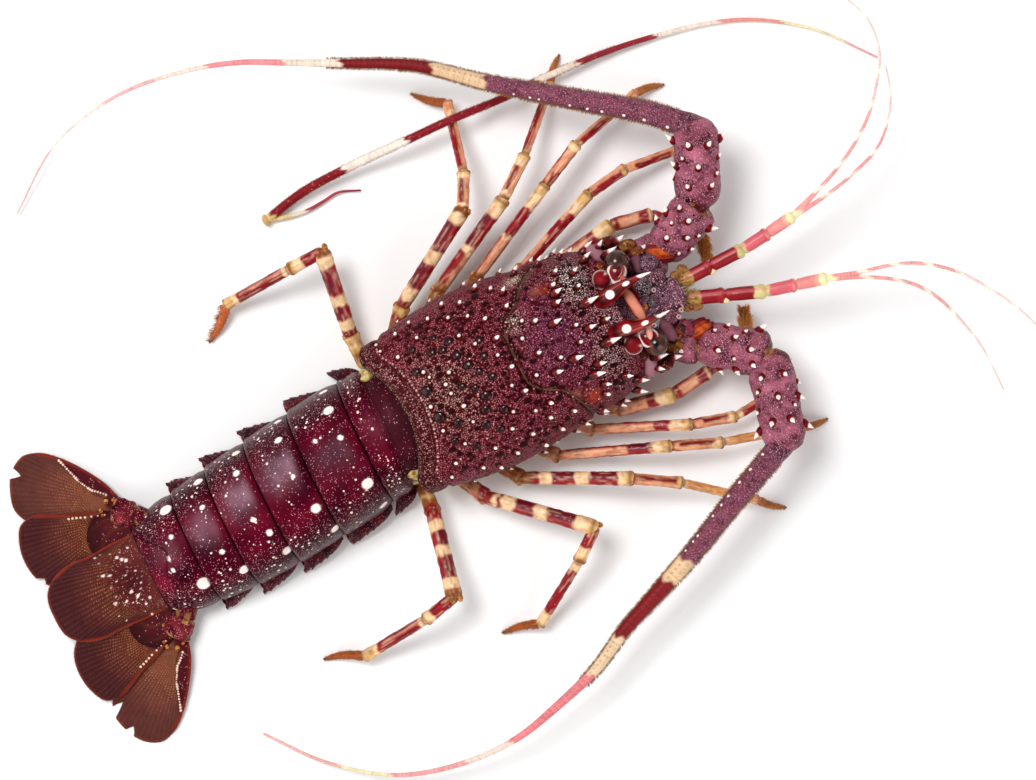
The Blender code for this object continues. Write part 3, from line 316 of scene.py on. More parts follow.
TUFT_PATCH = 0.003  # each bristle's own patch of the map for baking, at its root's place

# Share of a spine's length, share of its width: the foot is sunk, then a bulb runs out to a point
SPINE = (
    (-0.3, 0.9), (0, 1.0), (0.16, 1.0), (0.3, 0.93), (0.42, 0.8), (0.5, 0.68), (0.58, 0.58), (0.72, 0.42),
    (0.86, 0.24), (0.95, 0.11), (0.99, 0.04)
)
# The same for the short ones, which end in a round cap
STUD = (
    (-0.3, 0.9), (0, 1.0), (0.2, 0.97), (0.38, 0.84), (0.5, 0.7), (0.66, 0.62), (0.82, 0.5), (0.93, 0.33),
    (0.99, 0.12)
)
BEAD = ((-0.6, 0.9), (0, 1), (0.35, 0.93), (0.65, 0.74), (0.88, 0.45), (0.97, 0.2))
# A flat lens set in the shell
LENS = ((-0.6, 1), (0, 1), (0.16, 0.86), (0.28, 0.55), (0.33, 0.2))
BRISTLE = ((-0.1, 1), (0.5, 0.78), (1, 0.12))


def spine_colours(tip_from, profile=SPINE):
    """Dark red glass at the foot, a brighter shoulder, and an ivory point, by share of the length."""
    shares = np.array([row[0] for row in profile])
    colours = mix("#2c0306", "#7c070c", smooth(0.0, tip_from, shares))
    return mix(colours, "#fff3ec", smooth(tip_from - 0.02, tip_from + 0.08, shares))


def make(name, shapes, material, nodes=(), map_name="OFBake"):
    """Joins the shapes into one mesh object that rides on the body and stands for its nodes."""
    starts = np.cumsum([0] + [len(shape.points) for shape in shapes])
    quads = np.vstack([shape.quads + start for shape, start in zip(shapes, starts)])
    tris = np.vstack([shape.tris + start for shape, start in zip(shapes, starts)])
    points = place(np.vstack([shape.points for shape in shapes]))
    mesh = bpy.data.meshes.new(name)
    mesh.vertices.add(len(points))
    mesh.vertices.foreach_set("co", points.astype(np.float32).ravel())
    corners = np.concatenate([quads.ravel(), tris.ravel()])
    sizes = np.concatenate([np.full(len(quads), 4), np.full(len(tris), 3)])
    mesh.loops.add(len(corners))
    mesh.loops.foreach_set("vertex_index", corners.astype(np.int32))
    mesh.polygons.add(len(sizes))
    mesh.polygons.foreach_set("loop_start", (np.cumsum(sizes) - sizes).astype(np.int32))
    mesh.polygons.foreach_set("use_smooth", np.ones(len(sizes), bool))
    mesh.update(calc_edges=True)
    for mark in ("tint", "dot"):
        colour = np.vstack([getattr(shape, mark) for shape in shapes])
        colour = np.column_stack([np.clip(colour, 0, 1), np.ones(len(colour))]).astype(np.float32)
        mesh.attributes.new(mark, "FLOAT_COLOR", "POINT").data.foreach_set("color", colour.ravel())
    for mark in ("fleck", "spot"):
        value = np.concatenate([getattr(shape, mark) for shape in shapes]).astype(np.float32)
        mesh.attributes.new(mark, "FLOAT", "POINT").data.foreach_set("value", value)
    if shapes[0].uv is not None:
        uvs = np.vstack([shape.uv for shape in shapes])[corners].astype(np.float32)
        mesh.uv_layers.new(name=map_name).data.foreach_set("uv", uvs.ravel())
    if mesh.validate():
        raise RuntimeError(f"{name} has faces that Blender can't keep")
    mesh.materials.append(material)
    obj = bpy.data.objects.new(name, mesh)
    bpy.context.scene.collection.objects.link(obj)
    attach(obj, "root")
    if nodes:
        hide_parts(*nodes)
    return obj


def node(tree, kind, inputs=None, **settings):
    """Adds one shader node with its settings; an input is a value, a socket, or a node whose first output
    is linked."""
    made = tree.nodes.new("ShaderNode" + kind)
    for key, value in settings.items():
        setattr(made, key, value)
    for key, value in (inputs or {}).items():
        if isinstance(value, bpy.types.Node):
            value = value.outputs[0]
        if isinstance(value, bpy.types.NodeSocket):
            tree.links.new(value, made.inputs[key])
        else:
            made.inputs[key].default_value = value
    return made


def row_dots(tree, strength):
    """Dots in rows along a blade's rays: cos 2πu + cos(2πv/0.95 + 2.4·round u + noise), where u counts the
    rows and v is the distance from the root in millimetres."""
    map_point = node(tree, "SeparateXYZ", {0: node(tree, "UVMap", uv_map="FanRows").outputs[0]})
    row = node(tree, "Math", {0: map_point, 1: 2 * math.pi}, operation="MULTIPLY")
    wave = node(tree, "Math", {0: row}, operation="COSINE")
    number = node(tree, "Math", {0: map_point}, operation="ROUND")
    where = node(tree, "TexCoord").outputs["Object"]
    unrest = node(tree, "TexNoise", {"Vector": where, "Scale": 420.0, "Detail": 1.0})
    shift = node(tree, "Math", {0: unrest, 1: 14.0}, operation="MULTIPLY")
    shift = node(tree, "Math", {0: number, 1: 2.4, 2: shift}, operation="MULTIPLY_ADD")
    phase = node(
        tree, "Math", {0: map_point.outputs[1], 1: 2 * math.pi / 0.95, 2: shift}, operation="MULTIPLY_ADD"
    )
    beat = node(tree, "Math", {0: phase}, operation="COSINE")
    total = node(tree, "Math", {0: wave, 1: beat}, operation="ADD")
    bright = node(
        tree, "MapRange",
        {"Value": unrest, "From Min": 0.35, "From Max": 0.65, "To Min": 0.3, "To Max": 1.0}
    )
    dots = node(tree, "MapRange", {"Value": total, "From Min": 0.6, "From Max": 1.6, "To Max": bright})
    return node(tree, "Math", {0: dots, 1: strength}, operation="MULTIPLY").outputs[0]


def shell_finish(
    name, rough, granule, relief, size=0.62, coat=0.0, gloss=0.1, spot=2.8, grain=0.12, packed=False,
    rows=False, glow="#ffffff"
):
    """Chitin coloured by the piece's own tint, with pale granules in as many cells as its fleck says, and
    larger round spots in as many as its spot says. Granule and spot are the cells' widths in millimetres,
    size a granule's radius in cells, relief its height. Voronoi: a dot where distance < radius, or, where
    packed, wherever the cells' edge is further than 0.35 of size, so that the dark net between them shows.
    With rows, gold dots in rows stand for the spots, as strong as the piece's spot says."""
    found = bpy.data.materials.get(name)
    if found:
        return found
    material = bpy.data.materials.new(name)
    material.use_nodes = True
    tree = material.node_tree
    shader = tree.nodes["Principled BSDF"]
    where = node(tree, "TexCoord").outputs["Object"]
    tint = node(tree, "Attribute", attribute_name="tint").outputs["Color"]
    dot = node(tree, "Attribute", attribute_name="dot").outputs["Color"]
    fleck = node(tree, "Attribute", attribute_name="fleck").outputs["Fac"]
    many = node(tree, "Attribute", attribute_name="spot").outputs["Fac"]

    layers = []
    for cell, share, base, extra, soft in (
        (granule, fleck, size * 0.8, size * 0.35, 0.12), (spot, many, 0.08, 0.12, 0.03)
    ):
        if rows and layers:
            layers.append(row_dots(tree, many))
            break
        cells = node(tree, "TexVoronoi", {"Vector": where, "Scale": 1000 / cell})
        luck = node(tree, "SeparateColor", {0: cells.outputs["Color"]})
        kept = node(tree, "Math", {0: luck, 1: share}, operation="LESS_THAN")
        if packed and not layers:
            edges = node(
                tree, "TexVoronoi", {"Vector": where, "Scale": 1000 / cell}, feature="DISTANCE_TO_EDGE"
            )
            over = node(tree, "Math", {0: edges.outputs["Distance"], 1: size * 0.35}, operation="SUBTRACT")
        else:
            girth = node(tree, "Math", {0: luck.outputs[1], 1: extra, 2: base}, operation="MULTIPLY_ADD")
            over = node(tree, "Math", {0: girth, 1: cells.outputs["Distance"]}, operation="SUBTRACT")
        inside = node(tree, "MapRange", {"Value": over, "From Min": 0.0, "From Max": soft})
        layer = node(tree, "Math", {0: inside, 1: kept}, operation="MULTIPLY")
        layers.append(layer.outputs[0])
        if len(layers) == 1:
            pale = node(tree, "MapRange", {"Value": luck.outputs[2], "To Min": 0.6, "To Max": 1.25})
            dot = node(tree, "VectorMath", {0: dot, "Scale": pale}, operation="SCALE").outputs[0]
    granules, spots = layers

    cloud = node(tree, "TexNoise", {"Vector": where, "Scale": 220.0, "Detail": 3.0})
    shade = node(tree, "MapRange", {"Value": cloud, "To Min": 0.65, "To Max": 1.35})
    fine = node(tree, "TexNoise", {"Vector": where, "Scale": 2600.0, "Detail": 2.0})
    finer = node(tree, "MapRange", {"Value": fine, "To Min": 1 - grain * 2, "To Max": 1 + grain * 2})
    both = node(tree, "Math", {0: shade, 1: finer}, operation="MULTIPLY")
    mottled = node(tree, "VectorMath", {0: tint, "Scale": both}, operation="SCALE")
    dotted = node(tree, "Mix", {0: granules, 6: mottled, 7: dot}, data_type="RGBA")
    ivory = (*lin("#a87c50" if rows else "#f6e4dc"), 1)
    spotted = node(tree, "Mix", {0: spots, 6: dotted.outputs[2], 7: ivory}, data_type="RGBA")
    tree.links.new(spotted.outputs[2], shader.inputs["Base Color"])

    roughness = node(tree, "MapRange", {"Value": cloud, "To Min": rough[0], "To Max": rough[1]})
    tree.links.new(roughness.outputs[0], shader.inputs["Roughness"])
    raised = node(tree, "Math", {0: granules, 1: relief}, operation="MULTIPLY")
    rolling = node(
        tree, "Math", {0: fine, 1: grain * 0.25, 2: raised}, operation="MULTIPLY_ADD"
    )
    bump = node(tree, "Bump", {"Height": rolling, "Strength": 1.0, "Distance": 0.001})
    tree.links.new(bump.outputs[0], shader.inputs["Normal"])
    shader.inputs["IOR"].default_value = 1.55
    shader.inputs["Specular IOR Level"].default_value = gloss
    shader.inputs["Specular Tint"].default_value = (*lin(glow), 1)
    shader.inputs["Coat Weight"].default_value = coat
    shader.inputs["Coat Roughness"].default_value = 0.12
    shader.inputs["Coat IOR"].default_value = 1.4
    return material


# Carapace

CARAPACE_FRONT = 84.0
CARAPACE_REAR = -2.2
CARAPACE_FLOOR = 14.0
CARAPACE_WIDEST = 26.0
REAR_SWEEP = ((0, 0), (12, 1.8), (20, 5), (24.5, 7.4), (28, 7), (31, 4.8))
POCKET_FRONT = 2.3
CARAPACE_HALF_WIDTH = (
    (-14, 29.5), (0, 31), (12, 33), (27, 34.2), (45, 33), (57, 31), (66, 30.2), (76, 28.5), (84, 25.5)
)
CARAPACE_TOP = (
    (-14, 40), (0, 43.5), (12, 48), (27, 52), (38, 53), (44, 51.4), (50, 53.5), (62, 52.5), (74, 49),
    (84, 44)
)
CERVICAL_GROOVE = (
    (29, 62), (26, 57), (20, 51.5), (15.4, 45.6), (10.8, 43), (4, 42.6), (-4, 42.6),
    (-8.9, 43), (-13.1, 45.8), (-15.6, 50), (-18, 53.5), (-22, 56), (-28, 59), (-31, 60.5)
)
MARGINAL_GROOVE = 6.5  # ahead of the rear edge
RIM_GROOVE = 1.5
# Spines of the shell: left, forward, length
SHELL_SPINES = (
    (27.7, 20.1, 2.4), (27.8, 33.2, 2.6), (24.6, 49.6, 3.4), (27.5, 45.6, 2.6), (19.0, 48.4, 3.4),
    (18.6, 38.8, 2.8), (10.7, 39.6, 3.2), (12.1, 31.8, 2.4), (17.3, 27.8, 2.2), (-0.9, 39.8, 3.2),
    (6.4, 48.4, 2.8), (10.0, 55.0, 3.2), (12.1, 50.7, 2.4), (27.9, 7.0, 2.6), (27.7, -1.4, 1.8),
    (25.0, -0.9, 1.6), (29.6, 13.2, 2.2), (20.1, 4.4, 2.6), (11.2, 10.6, 2.6), (8.7, 11.5, 1.6),
    (7.1, 18.9, 2.8), (3.7, 16.0, 2.8), (0.0, 16.2, 2.4), (-1.1, 7.5, 2.8), (-6.0, 18.5, 3.2),
    (-10.7, 40.4, 3.2), (-7.0, 37.0, 2.0), (5.0, 37.2, 2.2), (-0.7, 51.3, 3.4), (-18.5, 47.5, 3.2),
    (-18.8, 40.5, 2.2), (-10.8, 7.6, 2.4), (15.7, 66.7, 4.2), (12.4, 65.0, 3.6), (6.4, 61.6, 4.6),
    (-0.6, 72.0, 4.0), (-0.5, 78.2, 3.4), (-8.2, 63.0, 4.8), (-13.6, 69.7, 4.2), (-21.1, 68.4, 3.4),
    (-9.7, 54.6, 4.2), (18.7, 66.5, 3.2), (-7.5, 47.2, 2.8), (-24.7, 53.5, 2.8), (-29.9, 70.7, 3.6),
    (7.8, 76.6, 5.8), (-8.2, 77.6, 5.8), (-16.4, 67.5, 5.0), (25.4, 84.2, 5.0), (22.6, 82.0, 4.2),
    (20.0, 75.7, 3.4), (-24.5, 67.1, 3.0), (-21.8, 76.6, 3.6), (-25.2, 81.0, 4.4), (-28.4, 79.6, 4.6),
    (14.6, 74.5, 2.6), (-3.8, 66.2, 2.4), (2.4, 67.4, 2.6), (22.8, 69.5, 3.0), (-5.6, 57.3, 2.6),
    (-20.8, 30.4, 2.6), (-15.6, 33.4, 2.2), (-25.6, 36.2, 2.8), (-23.2, 44.6, 2.8), (-28.6, 46.8, 3.0),
    (-29.4, 28.2, 2.6), (-24.4, 21.8, 2.4), (-28.8, 14.6, 2.4), (-18.4, 12.6, 2.2), (-23.2, 6.4, 2.4),
    (-27.0, 2.6, 2.2), (-12.6, 18.8, 2.0), (23.4, 13.6, 2.2), (22.2, 33.6, 2.2), (24.8, 27.0, 2.2),
    (30.6, 40.6, 3.0), (30.2, 27.0, 2.8), (29.4, 56.6, 3.6), (-31.2, 38.6, 3.0), (-31.4, 20.4, 2.8),
    (-30.4, 55.4, 3.4), (28.6, 66.0, 3.8), (-28.9, 63.6, 3.6), (27.6, 74.4, 3.6)
)
# Dark hollows: left, forward, half-width across, half-width along
HOLLOWS = (
    (11.7, 23.5, 1.7, 1.7), (16.8, 15.7, 1.4, 1.7), (6.5, 25.8, 1.5, 1.9), (-6.4, 26.8, 1.4, 2.4),
    (-11.0, 24.5, 1.4, 2.0), (-10.8, 13.3, 1.7, 1.8), (-15.9, 22.1, 1.4, 1.9), (17.6, 23.1, 1.3, 1.8),
    (13.0, 33.4, 1.2, 1.5), (15.7, 19.7, 1.2, 1.6), (12.7, 7.4, 1.3, 1.7), (-1.3, 32.1, 1.2, 1.6),
    (4.8, 7.9, 1.9, 2.3), (-5.9, 7.9, 2.0, 2.3), (-2.1, 24.5, 1.1, 1.4), (6.9, 32.5, 1.3, 1.5),
    (0.4, 20.4, 1.1, 1.4), (-13.8, 30.6, 1.3, 1.8), (-19.6, 26.2, 1.3, 1.7), (-21.4, 15.6, 1.3, 1.6),
    (2.6, 28.4, 1.1, 1.3), (20.8, 9.6, 1.2, 1.5), (21.4, 18.6, 1.1, 1.4), (-16.4, 9.2, 1.2, 1.4)
)

# Soft patches of the shell's ground colour: left, forward, half-width, half-length, colour, strength
SHELL_PATCHES = (
    (0, 18, 14, 14, "#380509", 0.85), (2, 62, 17, 13, "#430c22", 1.0), (0, 52, 12, 8, "#430a1e", 0.7),
    (14, 74, 9, 6, "#25060c", 0.95), (-13, 74, 9, 6, "#25060c", 0.95), (0, 81, 9, 6, "#4a1722", 0.9),
    (18.6, 72.5, 6, 5, "#180506", 1.0), (13.5, 47, 3.2, 2.6, "#5c3c30", 0.7),
    (8, 10, 12, 4, "#420f10", 0.6),
    (19, 63.8, 1.5, 3.4, "#98300f", 0.9), (19.9, 59.4, 1.5, 1.8, "#a05a44", 0.7),
    (-23.6, 62.6, 2.4, 3.0, "#a4340f", 0.9), (-20.4, 56.2, 1.8, 1.7, "#9a6238", 0.8),
    (24.5, 60, 2, 3, "#2a080b", 0.8), (8, 45.6, 9, 1.8, "#5f2f30", 0.4),
)
# The same for the granules on it
GRANULE_PATCHES = (
    (0, 14, 16, 13, "#c09288", 0.95), (2, 60, 17, 15, "#9e5a72", 0.9), (14, 74, 9, 6, "#d6aca8", 0.95),
    (-13, 74, 9, 6, "#d6aca8", 0.95), (0, 81, 9, 6, "#e2b2b6", 0.95), (18.6, 72.5, 6, 5, "#ecd6ce", 1.0),
    (13.5, 47, 3.6, 3, "#e4d4c4", 1.0),
)
# Where few granules stand: left, forward, half-width, half-length
SMOOTH_PATCHES = ((19, 63.8, 1.8, 4.0), (-23.6, 62.4, 2.4, 3.0))


def carapace_section(forward, angles, scale=1.0):
    """A full arch over the widest height, a tuck below: out = half·|cos a|ⁿ, up = widest + reach·|sin a|ᵐ."""
    half = through(CARAPACE_HALF_WIDTH, forward) * scale
    top = through(CARAPACE_TOP, forward)
    cosine, sine = np.cos(angles), np.sin(angles)
    above = sine >= 0
    out = half * np.sign(cosine) * np.abs(cosine) ** np.where(above, 0.9, 0.62)
    reach = np.where(above, top - CARAPACE_WIDEST, CARAPACE_WIDEST - CARAPACE_FLOOR) * scale
    up = CARAPACE_WIDEST + reach * np.sign(sine) * np.abs(sine) ** np.where(above, 0.9, 0.75)
    return out, up


def carapace_height(left, forward):
    """Height of the shell's arch over a place: widest + reach·√(1 - |left/half|^(2/0.9))^0.9."""
    half, top = through(CARAPACE_HALF_WIDTH, forward), through(CARAPACE_TOP, forward)
    cosine = np.clip(np.abs(left) / half, 0, 0.999) ** (1 / 0.9)
    return CARAPACE_WIDEST + (top - CARAPACE_WIDEST) * np.sqrt(1 - cosine**2) ** 0.9


def carapace_normal(left, forward):
    """Unit normal of the height field: (-dh/dleft, -dh/dforward, 1)."""
    step = 0.4
    across = carapace_height(left + step, forward) - carapace_height(left - step, forward)
    ahead = carapace_height(left, forward + step) - carapace_height(left, forward - step)
    slopes = [-across / (2 * step), -ahead / (2 * step), np.ones_like(across)]
    return unit(np.stack(slopes, axis=-1))


def line_distance(left, forward, line):
    """Distance in plan from each point to a smooth line, the least over its segments."""
    line = np.asarray(line, float)
    fine = through(np.column_stack([np.arange(len(line)), line]), np.linspace(0, len(line) - 1, 60))
    points = np.stack([left, forward], axis=-1)
    best = np.full(left.shape, 1e9)
    for a, b in zip(fine[:-1], fine[1:]):
        t = np.clip(((points - a) @ (b - a)) / ((b - a) @ (b - a)), 0, 1)
        best = np.minimum(best, np.linalg.norm(points - a - t[..., None] * (b - a), axis=-1))
    return best


def oval_cover(left, forward, ovals, grow=1.0, soft=0.25):
    """1 inside each oval (left, forward, half-width, half-length), falling to 0 at its edge; the greatest."""
    cover = np.zeros(left.shape)
    for x, y, wide, long in ovals:
        reach = np.hypot((left - x) / (wide * grow), (forward - y) / (long * grow))
        cover = np.maximum(cover, 1 - smooth(1 - soft, 1 + soft, reach))
    return cover


def blobs(left, forward, base, patches):
    """A colour painted over by soft oval patches: each one's share is strength·exp(-distance²)."""
    for x, y, wide, long, colour, strength in patches:
        reach = ((left - x) / wide) ** 2 + ((forward - y) / long) ** 2
        base = mix(base, colour, strength * np.exp(-reach))
    return base


def rear_distance(left, forward):
    """How far a place lies ahead of the shell's swept rear edge."""
    return forward - CARAPACE_REAR + through(REAR_SWEEP, np.abs(left))


def spine_roots(spines):
    """Where each shell spine grows from, its lean and its bend: the long ones lean and bend forward more."""
    left, forward, length = np.asarray(spines, float).T
    lean = 0.4 + 0.22 * np.maximum(length - 2.4, 0)
    forward = forward - lean * 0.6 * length
    normal = carapace_normal(left, forward)
    roots = np.stack([left, forward, carapace_height(left, forward)], axis=-1)
    ahead = np.array([0, 1.0, 0])
    return roots, unit(normal + ahead * lean[:, None]), length, ahead * (0.3 * lean[:, None])


def small_bumps():
    """Seeded glossy bumps between the listed spines: left, forward, half-width, half-length."""
    draw = np.random.default_rng(7)
    taken = [(s[0], s[1] - 0.7, 1.5) for s in SHELL_SPINES] + [(h[0], h[1], 1.9) for h in HOLLOWS]
    taken += [(27, 54.4, 4), (19, 63, 4.5), (-22.5, 60.5, 5)]
    found = []
    for _ in range(1500):
        left, forward = draw.uniform(-31, 31), draw.uniform(6, 80)
        radius = 0.45 + 0.75 * draw.random() ** 2
        ahead = rear_distance(np.array(left), np.array(forward))
        if ahead < 8.5 or abs(left) > 29 - max(forward - 60, 0) * 0.2:
            continue
        if forward > 46 and draw.random() < 0.8:
            continue
        if all(math.hypot(left - x, forward - y) > gap + radius for x, y, gap in taken):
            taken.append((left, forward, radius + 0.25))
            found.append((left, forward, radius * 0.85, radius * 1.15))
    return found


def carapace_looks(left, forward, up, bumps, ground, granule):
    """Colour, dot colour and granule share of the shell at each point, region by region."""
    base = np.broadcast_to(lin(ground), (*left.shape, 3))
    dot = np.broadcast_to(lin(granule), (*left.shape, 3))
    high = smooth(33, 39, up)
    base = blobs(left, forward, base, SHELL_PATCHES)
    pale = np.exp(-(((left - 27.0) / 1.8) ** 2) - ((forward - 54.4) / 3.6) ** 2) * high
    base = mix(base, "#8a5a4c", pale)
    dot = mix(blobs(left, forward, dot, GRANULE_PATCHES), "#f2e4d2", pale)
    fleck = 0.94 + 0.1 * ripple(np.stack([left, forward, up], -1), 9, 3)
    for x, y, wide, long in SMOOTH_PATCHES:
        fleck = fleck * (1 - 0.7 * np.exp(-(((left - x) / wide) ** 2) - ((forward - y) / long) ** 2))
    groove = line_distance(left, forward, CERVICAL_GROOVE)
    # painted shade: a dark band along the cervical groove, either side of its thin tan line
    base = mix(base, "#1c0406", 0.85 * np.exp(-(((groove - 0.2) / 1.0) ** 2)))
    base = mix(base, "#6e4a38", 0.8 * (1 - smooth(0.1, 0.38, np.abs(groove - 0.1))))
    fleck = fleck * (1 - 0.9 * np.exp(-((groove / 1.0) ** 2)))
    rear = rear_distance(left, forward)
    rim = 1 - smooth(MARGINAL_GROOVE - 1.2, MARGINAL_GROOVE - 0.6, rear)
    rim = rim * smooth(RIM_GROOVE, RIM_GROOVE + 0.5, rear)
    base, dot = mix(base, "#3c080e", rim), mix(dot, "#9c6a68", rim)
    tan = 1 - smooth(0.2, 0.5, np.abs(rear - MARGINAL_GROOVE))
    tan = np.clip(tan + 0.8 * (1 - smooth(0.1, 0.3, np.abs(rear - RIM_GROOVE))), 0, 1)
    base = mix(base, "#3a1814", tan * 0.7)
    fleck = fleck * (1 - 0.4 * rim) * (1 - tan)
    edge = 1 - smooth(0.6, 1.4, rear)
    base, dot = mix(base, "#2a120e", edge), mix(dot, "#8c7060", edge)
    feet = [(x, y - 0.3 * n, 0.3 * n + 0.4, 0.36 * n + 0.5) for x, y, n in SHELL_SPINES]
    glass = oval_cover(left, forward, feet)
    lenses = np.maximum(oval_cover(left, forward, bumps, 1.15), oval_cover(left, forward, HOLLOWS, 1.1))
    base = mix(mix(base, "#340307", glass), "#220204", lenses * high)
    fleck = fleck * (1 - np.maximum(glass, lenses) * high)
    on_top = smooth(15, 21, up)
    return mix("#5e2420", base, on_top), dot, np.clip(fleck, 0, 1.1) * (0.4 + 0.6 * on_top)


def build_carapace(look, ground, granule):
    """The shell: rings of carapace_section swept back at the rear edge, moved along their normals by the
    grooves (-depth·exp(-(d/w)²)), the hollows and the bumps; rows run from the pocket to the front."""
    angles = np.concatenate([np.linspace(0, math.pi, 268), np.linspace(math.pi, 2 * math.pi, 52)[1:-1]])
    shares = np.linspace(0, 1, 246)[:, None]
    forward = CARAPACE_REAR + (CARAPACE_FRONT - CARAPACE_REAR) * shares + 0 * angles
    out, up = carapace_section(forward, angles)
    sweep = np.where(np.sin(angles) < -1e-9, REAR_SWEEP[-1][1], through(REAR_SWEEP, np.abs(out)))
    forward = forward - sweep * (1 - shares) ** 2
    out, up = carapace_section(forward, angles)
    grid = np.stack([out, forward, up], axis=-1)
    bumps = small_bumps()
    groove = line_distance(out, forward, CERVICAL_GROOVE)
    rear = rear_distance(out, forward)
    relief = -1.1 * np.exp(-((groove / 1.1) ** 2)) + 0.5 * np.exp(-(((groove - 2.2) / 1.1) ** 2))
    relief += -0.9 * np.exp(-(((rear - MARGINAL_GROOVE) / 0.9) ** 2))
    relief += -0.35 * np.exp(-(((rear - RIM_GROOVE) / 0.5) ** 2))
    relief += -0.8 * oval_cover(out, forward, HOLLOWS, 1.05, 0.5)
    relief += 0.45 * oval_cover(out, forward, bumps, 1.0, 0.6)
    relief += 0.07 * ripple(grid, 2.4, 5) + 0.12 * ripple(grid, 6.5, 6)
    fade = smooth(CARAPACE_FLOOR + 1, CARAPACE_WIDEST, up)
    fade = fade * smooth(0, 0.02, shares) * smooth(1, 0.985, shares)
    grid = grid + outward_normals(grid) * (relief * fade)[..., None]
    tint, dot, fleck = carapace_looks(out, forward, up, bumps, ground, granule)

    def inner(place_forward, scale):
        place_forward = np.broadcast_to(place_forward, angles.shape)
        at, high = carapace_section(place_forward, angles, scale)
        return np.stack([at, place_forward, high], axis=-1)

    before = [inner(POCKET_FRONT, 0.94), inner(grid[0, :, 1] + 0.4, 0.94), inner(grid[0, :, 1], 0.975)]
    after = [inner(84.4, 0.975), inner(84.3, 0.94), inner(82.6, 0.9), inner(82.2, 0.5)]
    grid = np.concatenate([before, grid, after])

    def lined(mark, behind, ahead):
        ends = (np.broadcast_to(end, (count, *mark.shape[1:])) for end, count in ((behind, 3), (ahead, 4)))
        first, last = ends
        return np.concatenate([first, mark, last])

    tint = lined(tint, lin("#8c5a4a"), lin("#5a2a22"))
    shapes = [surface(grid, tint, lined(dot, dot[:1], dot[-1:]), lined(fleck, 0, 0))]
    make("carapace_shell", shapes, look, ["carapace"])


# Thorns along each side of the shell: forward, length
SIDE_THORNS = ((8, 2.2), (22, 2.6), (36, 3.0), (50, 3.2), (62, 3.6), (71, 4))


def shell_lenses():
    """Glassy dark lenses: one in each hollow, one on each bump."""
    glass = [(x, y, 0.56 * (a + b), "#2e0205") for x, y, a, b in HOLLOWS]
    glass += [(x, y, 0.5 * (a + b), "#58070d") for x, y, a, b in small_bumps()]
    left, forward, sizes = np.array([row[:3] for row in glass]).T
    shade = np.array([0.35, 0.4, 0.7, 1.0, 1.0])[None, :, None]
    dark = np.array([lin(row[3]) for row in glass])[:, None] * shade
    seats = np.stack([left, forward, carapace_height(left, forward) - 0.25 * sizes], -1)
    return thorns(seats, carapace_normal(left, forward), sizes * 0.95, sizes, LENS, dark, 10)


def shell_beads():
    """Pink beads in rows along the rear rim, and paler ones scattered over the shell, at seeded places."""
    draw = np.random.default_rng(3)
    beads = np.empty((0, 2))
    for row, count in BEAD_ROWS:
        at = np.linspace(-27, 27, count) + draw.uniform(-0.4, 0.4, count)
        line = row + draw.normal(0, 0.12, count) + CARAPACE_REAR - through(REAR_SWEEP, np.abs(at))
        beads = np.vstack([beads, np.stack([at, line], -1)])
    left, forward = beads.T
    big = BEAD_ROWS[0][1]
    sizes = np.concatenate([draw.uniform(0.26, 0.5, big), draw.uniform(0.12, 0.28, len(left) - big)])
    roots = np.stack([left, forward, carapace_height(left, forward)], -1)
    rows = thorns(roots, carapace_normal(left, forward), sizes * 0.7, sizes, BEAD, "#dba8a0", 8)
    left, forward = draw.uniform(-29, 29, LOOSE_BEADS), draw.uniform(7, 80, LOOSE_BEADS)
    keep = (rear_distance(left, forward) > 8) & (oval_cover(left, forward, HOLLOWS, 1.2) < 0.1)
    left, forward = left[keep], forward[keep]
    sizes = draw.uniform(0.2, 0.4, len(left))
    pale = mix("#a4686a", "#e6c2b8", draw.random((len(left), 1)) ** 2 * np.ones(len(BEAD)))
    roots = np.stack([left, forward, carapace_height(left, forward) - 0.05], -1)
    return rows, thorns(roots, carapace_normal(left, forward), sizes * 0.7, sizes, BEAD, pale, 6)


LOOSE_BEADS = 420
# Rows of beads along the rear rim: distance ahead of the edge, count; the first row's are the big ones
BEAD_ROWS = ((MARGINAL_GROOVE + 1.1, 40), (2.7, 34), (3.7, 40), (4.6, 34))


def build_shell_spines(look, scale):
    """Spines: dark glassy bulbs that bend forward into ivory points, short ones with round caps; glassy dark
    lenses in the hollows and on the bumps; small pale beads between them; and thorns along both sides."""
    roots, leans, lengths, bend = spine_roots(SHELL_SPINES)
    wide = (0.23 * lengths + 0.42) * scale
    short = lengths < 3.3
    shapes = []
    for chosen, profile, tip, cut in ((short, STUD, 0.5, 0.8), (~short, SPINE, 0.52, 1.0)):
        colours = spine_colours(tip, profile)
        long = lengths[chosen] * scale * cut
        shapes.append(
            thorns(roots[chosen], leans[chosen], long, wide[chosen], profile, colours, 12, bend[chosen])
        )
    shapes += [shell_lenses(), *shell_beads()]
    for side, _ in SIDES:
        at = np.array(SIDE_THORNS)
        for depth, turn, inset in ((25.5, 0.0, 0.2), (20.5, 5.5, 1.2)):
            forward = at[:, 0] + turn
            out = side * (through(CARAPACE_HALF_WIDTH, forward) - inset)
            roots = np.stack([out, forward, np.full(len(at), depth)], -1)
            leans = [side * 0.6, 0.75, 0.2]
            shapes.append(thorns(roots, leans, at[:, 1], 0.3 * at[:, 1], SPINE, spine_colours(0.45), 8))
        root = [side * 24.8, 80.5, 31]
        shapes.append(thorns([root], [side * 0.2, 1, 0.15], 7, 1.9, SPINE, spine_colours(0.5), 12))
    make("carapace_spines", shapes, look)


# Head

